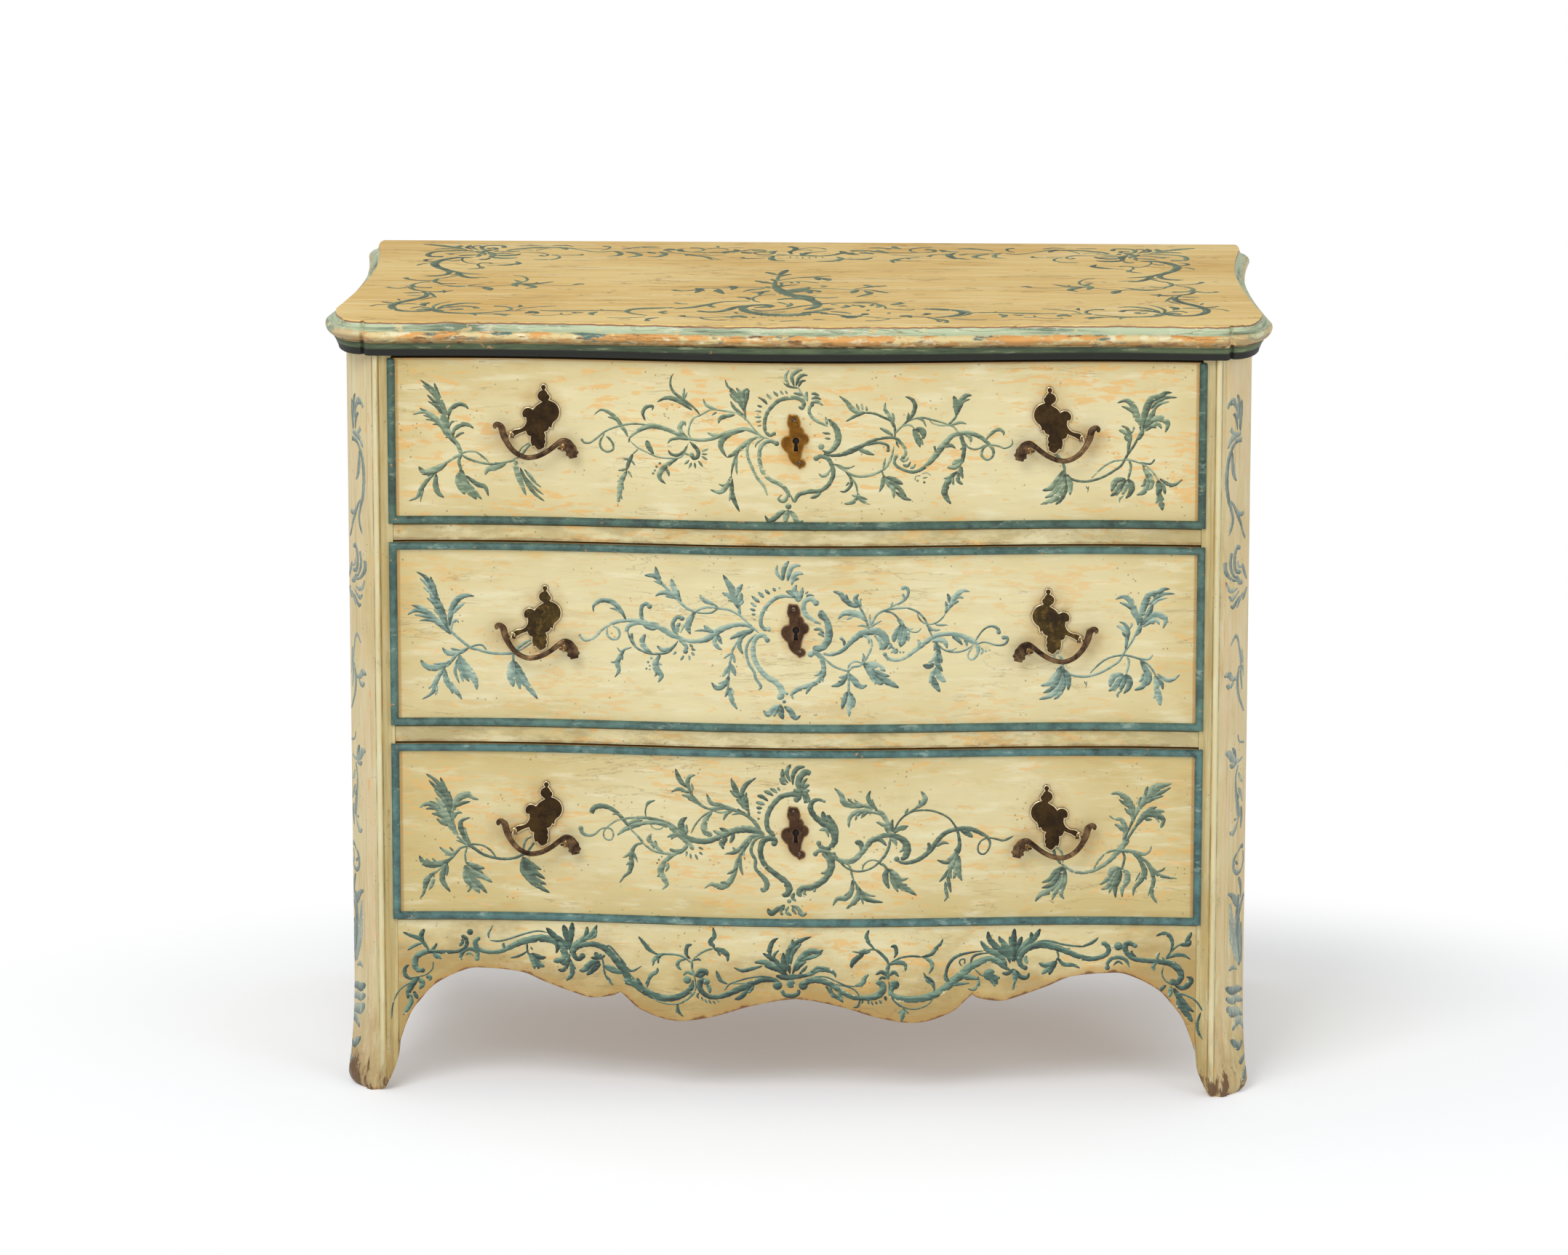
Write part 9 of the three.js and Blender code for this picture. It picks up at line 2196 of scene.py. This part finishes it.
# Finishes shared by several pieces, each made once
FINISHES = {
    "ochre_top": top_paint,
    "moulding": moulding_paint,
    "cream_apron": apron_paint,
    "cream_posts": post_paint,
    "cream_sides": side_paint,
    "cream_rails": rail_paint,
    "scrolls_top": lambda: scroll_paint("scrolls_top", ("3C483A", "697A60", "A0AF90")),
    "scrolls_middle": lambda: scroll_paint("scrolls_middle", ("45584F", "778F82", "ABBDA9")),
    "scrolls_bottom": lambda: scroll_paint("scrolls_bottom", ("3A4A3E", "637560", "95A58A")),
    "scrolls_apron": lambda: scroll_paint("scrolls_apron", ("26332D", "476154", "7E9880")),
    "scrolls_board": lambda: scroll_paint("scrolls_board", ("3F4F3E", "5F7459", "8A9A74"), wear=1.1),
    "scrolls_flank": lambda: scroll_paint("scrolls_flank", ("56665E", "828E84", "ACB4A2"), "z"),
    "brass_plates": lambda: brass_look("brass_plates", ("2E2113", "4C381B"), "E6CFA2"),
    "brass_plates_worn": lambda: brass_look("brass_plates_worn", ("33271A", "50401F"), "E6CFA2", blotch=0.5),
    "brass_bails": lambda: brass_look("brass_bails", ("2C1D14", "523A28"), "BE9A6C", 0.6),
    "brass_escutcheons_dull": lambda: brass_look("brass_escutcheons_dull", ("3E2A1C", "5E4430"), "8A6A4C"),
    "brass_escutcheons": lambda: brass_look("brass_escutcheons", ("6B4412", "8C5F1E"), "B98B45"),
    "steel_screw": steel_look,
    "pine_boards": lambda: pine_look("pine_boards", *PINE_BOARDS),
    "pine_floors": lambda: pine_look("pine_floors", *PINE_FLOORS),
    "iron_lock": iron_look,
    "painted_shade_dark": void_look,
}


def finish_of(name):
    return bpy.data.materials.get(name) or FINISHES[name]()


def need(*nodes):
    """Stops with a plain message where the frame lacks a node."""
    for node in nodes:
        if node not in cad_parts:
            raise RuntimeError(f"the frame has no node {node}")


def lifted(shift):
    """Heights read off the front, raised where the bow brings the front nearer and so lower in view."""
    def warp(path):
        share = np.abs(path[:, 0]) / OPENING_HALF
        bow = np.where(share < BOW_SHARE, BOW_LIFT * (1 + np.cos(np.pi * share / BOW_SHARE)), 0)
        return np.stack([path[:, 0], path[:, 1] + shift + bow], 1)
    return warp


class COMMODE_OT_top(bpy.types.Operator):
    """Builds the moulded top and the strip under it"""

    bl_idname = "commode.top"
    bl_label = "Top"

    def execute(self, context):
        need("top", "top_moulding")
        pen = Pen("carcass")
        pen.build("painted_top", top_skin(), finish_of("ochre_top"), ("top",), "ochre_paint", sharp=38)
        pen.build("painted_moulding", moulding_skin(), finish_of("moulding"), ("top_moulding",),
                  "green_paint", sharp=38)
        return {"FINISHED"}


class COMMODE_OT_carcass(bpy.types.Operator):
    """Builds posts, side panels, rails and the apron"""

    bl_idname = "commode.carcass"
    bl_label = "Carcass"

    def execute(self, context):
        pen = Pen("carcass")
        front, rear = post_plan(), rear_plan()
        face = float(front_y(OPENING_HALF))
        boards = []
        for name, side in SIDES:
            fore = post_skin(front, face, POST_DEPTH, 1, SHOULDER_HALF, side)
            hind = post_skin(rear, CARCASS_BACK, REAR_POST_FRONT, REAR_TAPER, REAR_HALF, side)
            boards += [(f"front_post_{name}", fore, "cream_posts", 0.8),
                       (f"rear_post_{name}", hind, "cream_posts", 0.8),
                       (f"side_panel_{name}", panel_skin(side), "cream_sides", 0.8)]
        for name, (low, high) in RAILS.items():
            boards.append((f"rail_{name}", rail_skin(low, high), "cream_rails", 0.6))
        for node, skin, finish, bevel in boards:
            need(node)
            pen.build(f"painted_{node}", skin, finish_of(finish), (node,), "cream_paint", sharp=40,
                      bevel=bevel)
        self.apron(pen)
        return {"FINISHED"}

    def apron(self, pen):
        """The apron's face is split in rows, so that its paint can darken along the scalloped edge."""
        need("apron")
        rings, tones = [], []
        for x, z in apron_edge():
            face = float(front_y(x))
            back = face + APRON_THICKNESS
            rings.append([(x, face, APRON_TOP), (x, back, APRON_TOP), (x, back, z),
                          *((x, face, z + rise) for rise in EDGE_RISES)])
            tones += [0.0, 0.0, 1.0, *(1 - rise / EDGE_RISES[-1] for rise in EDGE_RISES)]
        pen.build("painted_apron", loft(rings), finish_of("cream_apron"), ("apron",), "cream_paint", sharp=40,
                  tones=tones)


class COMMODE_OT_drawers(bpy.types.Operator):
    """Builds drawer fronts with their mitred beads"""

    bl_idname = "commode.drawers"
    bl_label = "Drawers"

    def execute(self, context):
        for row, name in enumerate(ROWS):
            need(f"drawer_{name}_front")
            pen = Pen(f"drawer_{name}")
            board = board_skin(row)
            bare = [float(y - front_y(x) > PAINTED_DEPTH) for x, y, z in board[0]]
            pen.build(f"painted_front_{name}", board, front_paint(row), (f"drawer_{name}_front",),
                      "cream_paint", sharp=40, tones=bare)
            pen.build(f"bead_{name}", bead_skin(row), bead_paint(row), slot="green_paint", sharp=50)
            middle = (LOWS[row] + HIGHS[row]) / 2 + KEY_RISES[row]
            face = float(front_y(0))
            # The keyhole's dark is painted shade: a near-black film just behind the hole.
            hole = [[(x, face - h, middle + z) for x, z in keyhole(DARK_GROW)] for h in DARK_HEIGHTS]
            pen.build(f"keyhole_{name}", loft(hole), finish_of("painted_shade_dark"), slot="iron")
        return {"FINISHED"}


class COMMODE_OT_handles(bpy.types.Operator):
    """Builds handle plates, posts and hanging bails"""

    bl_idname = "commode.handles"
    bl_label = "Handles"

    def execute(self, context):
        back = -swell(OUTER_POST[0] * PLATE_HEIGHT) - SEAT
        plate, tones = plated(arcs(PLATE, PLATE_HEIGHT), back, PLATE_THICKNESS, PLATE_RIM, PLATE_SUNK)
        outer, inner, along = pivots()
        stud = joined(post_shape(outer, -back + PLATE_THICKNESS - PLATE_SUNK), eye(outer, along))
        foot = swell(INNER_POST[0] * PLATE_HEIGHT) + SEAT
        collar = placed(turned([(foot + rise, radius) for rise, radius in COLLAR]), inner)
        post = joined(collar, post_shape(inner, foot + COLLAR_SUNK), eye(inner, along))
        bail = bail_shape()
        tones += [PLATE_TONE] * len(stud[0])
        parts = (("plate", "handle_plate", joined(plate, stud), tones, 55),
                 ("post", "handle_post", post, [POST_TONE] * len(post[0]), 45),
                 ("bail", "bail", bail, [BAIL_TONE] * len(bail[0]), 50))
        for row, name in enumerate(ROWS):
            height = (LOWS[row] + HIGHS[row]) / 2 + HANDLE_RISES[row]
            centre = (-HANDLE_X, float(front_y(HANDLE_X)), height)
            plates = "brass_plates_worn" if name == "middle" else "brass_plates"
            for side, sign in SIDES:
                for kind, node, skin, shades, sharp in parts:
                    need(f"{node}_{name}_{side}")
                    pen = Pen(f"bail_{name}_{side}" if kind == "bail" else f"drawer_{name}")
                    finish = finish_of(plates if kind == "plate" else "brass_bails")
                    pen.build(f"brass_{kind}_{name}_{side}", moved(skin, centre, slope(), sign > 0), finish,
                              (f"{node}_{name}_{side}",), "brass", sharp=sharp, tones=shades, weld=False)
        return {"FINISHED"}


class COMMODE_OT_escutcheons(bpy.types.Operator):
    """Builds keyhole plates and their screws"""

    bl_idname = "commode.escutcheons"
    bl_label = "Escutcheons"

    def execute(self, context):
        skin, tones = plated(arcs(ESCUTCHEON, ESCUTCHEON_HEIGHT), -SEAT, ESCUTCHEON_THICKNESS, ESCUTCHEON_RIM,
                             ESCUTCHEON_SUNK, keyhole())
        dome = turned(SCREW_DOME)
        corners = ((-SLIT_HALF, -SLIT_FOOT), (-SLIT_HALF, -SLIT_HEAD),
                   (SLIT_HALF, -SLIT_HEAD), (SLIT_HALF, -SLIT_FOOT))
        slit = loft([[(x, y, z) for x, y in corners] for z in (-SLIT_GAP, SLIT_GAP)])
        for row, name in enumerate(ROWS):
            need(f"escutcheon_{name}")
            pen = Pen(f"drawer_{name}")
            centre = (0, float(front_y(0)), (LOWS[row] + HIGHS[row]) / 2 + KEY_RISES[row])
            finish = finish_of("brass_escutcheons_dull" if row else "brass_escutcheons")
            pen.build(f"brass_escutcheon_{name}", moved(skin, centre), finish, (f"escutcheon_{name}",),
                      "brass", sharp=50, tones=tones, weld=False)
            for at, (x, rise, turn) in enumerate(SCREWS):
                place = (centre[0] + x, centre[1] - ESCUTCHEON_THICKNESS, centre[2] + rise)
                pen.build(f"screw_{name}_{at}", moved(dome, place), finish_of("steel_screw"), slot="iron")
                # The screw's slot is painted shade: a thin near-black slab sunk into the head's crown.
                points = slit[0].copy()
                c, s = math.cos(turn), math.sin(turn)
                points[:, [0, 2]] = points[:, [0, 2]] @ np.array(((c, s), (-s, c)))
                pen.build(f"screw_slot_{name}_{at}", moved((points, slit[1]), place),
                          finish_of("painted_shade_dark"), slot="iron", sharp=30)
        return {"FINISHED"}


class COMMODE_OT_ornament(bpy.types.Operator):
    """Paints the scrolls and leaves on drawers and apron"""

    bl_idname = "commode.ornament"
    bl_label = "Ornament"

    def execute(self, context):
        upper = (SPRAY_LEFT, SCROLL_LEFT, FAN_LEFT, CARTOUCHE, SCROLL_RIGHT, SPRAY_RIGHT)
        lower = (SPRAY_LOW, SCROLL_LOW, CARTOUCHE_LOW, TENDRIL_LOW, SPRAY_RIGHT)
        base = (SPRAY_BASE_LEFT, CARTOUCHE_BASE, TENDRIL_BASE, SPRAY_BASE_RIGHT)
        for row, (name, shift, layout) in enumerate(zip(ROWS, ROW_SHIFTS, (upper, lower, base))):
            brush = Brush(on_front((LOWS[row] + HIGHS[row]) / 2))
            for rows in layout:
                brush.add(rows, lifted(shift))
            brush.finish(f"scrolls_{name}", f"drawer_{name}", finish_of(f"scrolls_{name}"))
        brush = Brush(on_front(APRON_MIDDLE))
        for rows in (APRON_LEFT, PALMETTE, APRON_RIGHT):
            brush.add(rows, lifted(0.0))
        brush.finish("scrolls_apron", "carcass", finish_of("scrolls_apron"))
        brush = Brush(on_top, proud=BOARD_PROUD)
        brush.add(BOARD_LEFT, bold=BOARD_BOLD)
        brush.add(BOARD_CENTRE, bold=BOARD_BOLD)
        brush.add(BOARD_LEFT, lambda path: path * (-1, 1), BOARD_BOLD)
        brush.finish("scrolls_board", "carcass", finish_of("scrolls_board"), "ochre_paint")
        over_knee = [row for row in FLANK if min(row[3::2]) > KNEE]
        for name, side in SIDES:
            shift = FLANK_SHIFT if side < 0 else (0, 0)
            brush = Brush(on_flank(side), turned_over=side < 0)
            brush.add(FLANK, lambda path: path + shift)
            brush.add(over_knee, lambda path: (2 * FLANK_AXIS, 0) + (path + shift) * (-1, 1))
            brush.finish(f"scrolls_flank_{name}", "carcass", finish_of("scrolls_flank"))
        return {"FINISHED"}


class COMMODE_OT_inside(bpy.types.Operator):
    """Gives bare wood and iron to the solids that stay in view"""

    bl_idname = "commode.inside"
    bl_label = "Inside"

    def execute(self, context):
        for name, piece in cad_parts.items():
            if piece.hide_render:
                continue
            finish = "pine_boards"
            if name.startswith(("lock_case", "lock_bolt")):
                finish = "iron_lock"
            elif name.endswith("floor") or name == "bottom_board":
                finish = "pine_floors"
            piece.data.materials.clear()
            piece.data.materials.append(finish_of(finish))
            soften(piece, 0.5)
        return {"FINISHED"}


class COMMODE_OT_stage(bpy.types.Operator):
    """Sets the floor, the lamps and the camera"""

    bl_idname = "commode.stage"
    bl_label = "Stage"

    def execute(self, context):
        scene, stage = context.scene, context.scene.commode_stage
        self.floor(scene)
        self.sky(scene, stage.sky)
        for name, place, aim, size, share in LAMPS:
            self.lamp(scene, name, place, aim, size, stage.key * share)
        self.camera(scene, stage)
        scene.view_settings.view_transform = "Standard"
        return {"FINISHED"}

    def floor(self, scene):
        """Takes the chest's shadow near it and is plain white farther off."""
        look = Look("floor")
        grain = look.noise((2, 2, 2))
        white = look.mix(grain, (0.87, 0.9, 0.94, 1), (0.9, 0.93, 0.97, 1))
        inputs = {"Base Color": white, "Roughness": 0.9, "Emission Color": WHITE, "Emission Strength": 0.18}
        near = look.node("ShaderNodeBsdfPrincipled", inputs=inputs)
        far = look.node("ShaderNodeEmission", inputs={"Color": WHITE, "Strength": 1.0})
        u, v = ((along - middle) / reach
                for along, middle, reach in zip((look.x, look.y), SHADOW_CENTRE, SHADOW_REACH))
        share = ((u * u + v * v) ** 0.5).ramp(0.75, 1.3)
        corners = [(x * FLOOR_REACH, y * FLOOR_REACH, 0) for x, y in ((-1, -1), (1, -1), (1, 1), (-1, 1))]
        mesh = bpy.data.meshes.new("floor")
        mesh.from_pydata(corners, [], [(0, 1, 2, 3)])
        mesh.materials.append(look.show(look.node("ShaderNodeMixShader", inputs={0: share, 1: near, 2: far})))
        made = bpy.data.objects.new("floor", mesh)
        scene.collection.objects.link(made)

    def sky(self, scene, strength):
        """A white sky that lights the chest by its strength and looks plain white to the camera."""
        scene.world = bpy.data.worlds.new("studio")
        nodes = Nodes(scene.world)
        seen = nodes.node("ShaderNodeLightPath", out="Is Camera Ray")
        level = nodes.node("ShaderNodeMapRange", inputs={"Value": seen, "To Min": strength, "To Max": 1.0})
        background = nodes.node("ShaderNodeBackground", inputs={"Color": WHITE, "Strength": level})
        nodes.node("ShaderNodeOutputWorld", inputs={"Surface": background})

    def lamp(self, scene, name, place, aim, size, power):
        light = bpy.data.lights.new(name, "AREA")
        light.size, light.energy = size, power
        made = bpy.data.objects.new(name, light)
        made.location = place
        made.rotation_euler = (Vector(aim) - Vector(place)).to_track_quat("-Z", "Y").to_euler()
        scene.collection.objects.link(made)

    def camera(self, scene, stage):
        lens = bpy.data.cameras.new("camera")
        lens.lens, lens.sensor_width, lens.sensor_fit = stage.lens, SENSOR_WIDTH, "HORIZONTAL"
        lens.shift_y = CAMERA_SHIFT
        made = bpy.data.objects.new("camera", lens)
        made.location = (CAMERA_X, -stage.distance, CAMERA_Z)
        made.rotation_euler = (math.pi / 2 - CAMERA_TILT, 0.0, CAMERA_TURN)
        scene.collection.objects.link(made)
        scene.camera = made


class COMMODE_PT_panel(bpy.types.Panel):
    """Paint, stage and build steps of the commode"""

    bl_idname = "COMMODE_PT_panel"
    bl_label = "Painted Commode"
    bl_space_type = "VIEW_3D"
    bl_region_type = "UI"
    bl_category = "Commode"

    def draw(self, context):
        for group in (context.scene.commode_paint, context.scene.commode_stage):
            box = self.layout.box()
            for name in group.__annotations__:
                box.prop(group, name)
        for operator in STEPS:
            self.layout.operator(operator.bl_idname)


STEPS = (
    COMMODE_OT_top, COMMODE_OT_carcass, COMMODE_OT_drawers, COMMODE_OT_handles, COMMODE_OT_escutcheons,
    COMMODE_OT_ornament, COMMODE_OT_inside, COMMODE_OT_stage,
)
CLASSES = (CommodePaint, CommodeStage, *STEPS, COMMODE_PT_panel)


def register():
    for made in CLASSES:
        bpy.utils.register_class(made)
    bpy.types.Scene.commode_paint = PointerProperty(type=CommodePaint)
    bpy.types.Scene.commode_stage = PointerProperty(type=CommodeStage)


def unregister():
    del bpy.types.Scene.commode_stage, bpy.types.Scene.commode_paint
    for made in reversed(CLASSES):
        bpy.utils.unregister_class(made)


def main():
    register()
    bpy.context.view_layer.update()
    for step in STEPS:
        group, name = step.bl_idname.split(".")
        getattr(getattr(bpy.ops, group), name)()


if __name__ == "__main__":
    main()
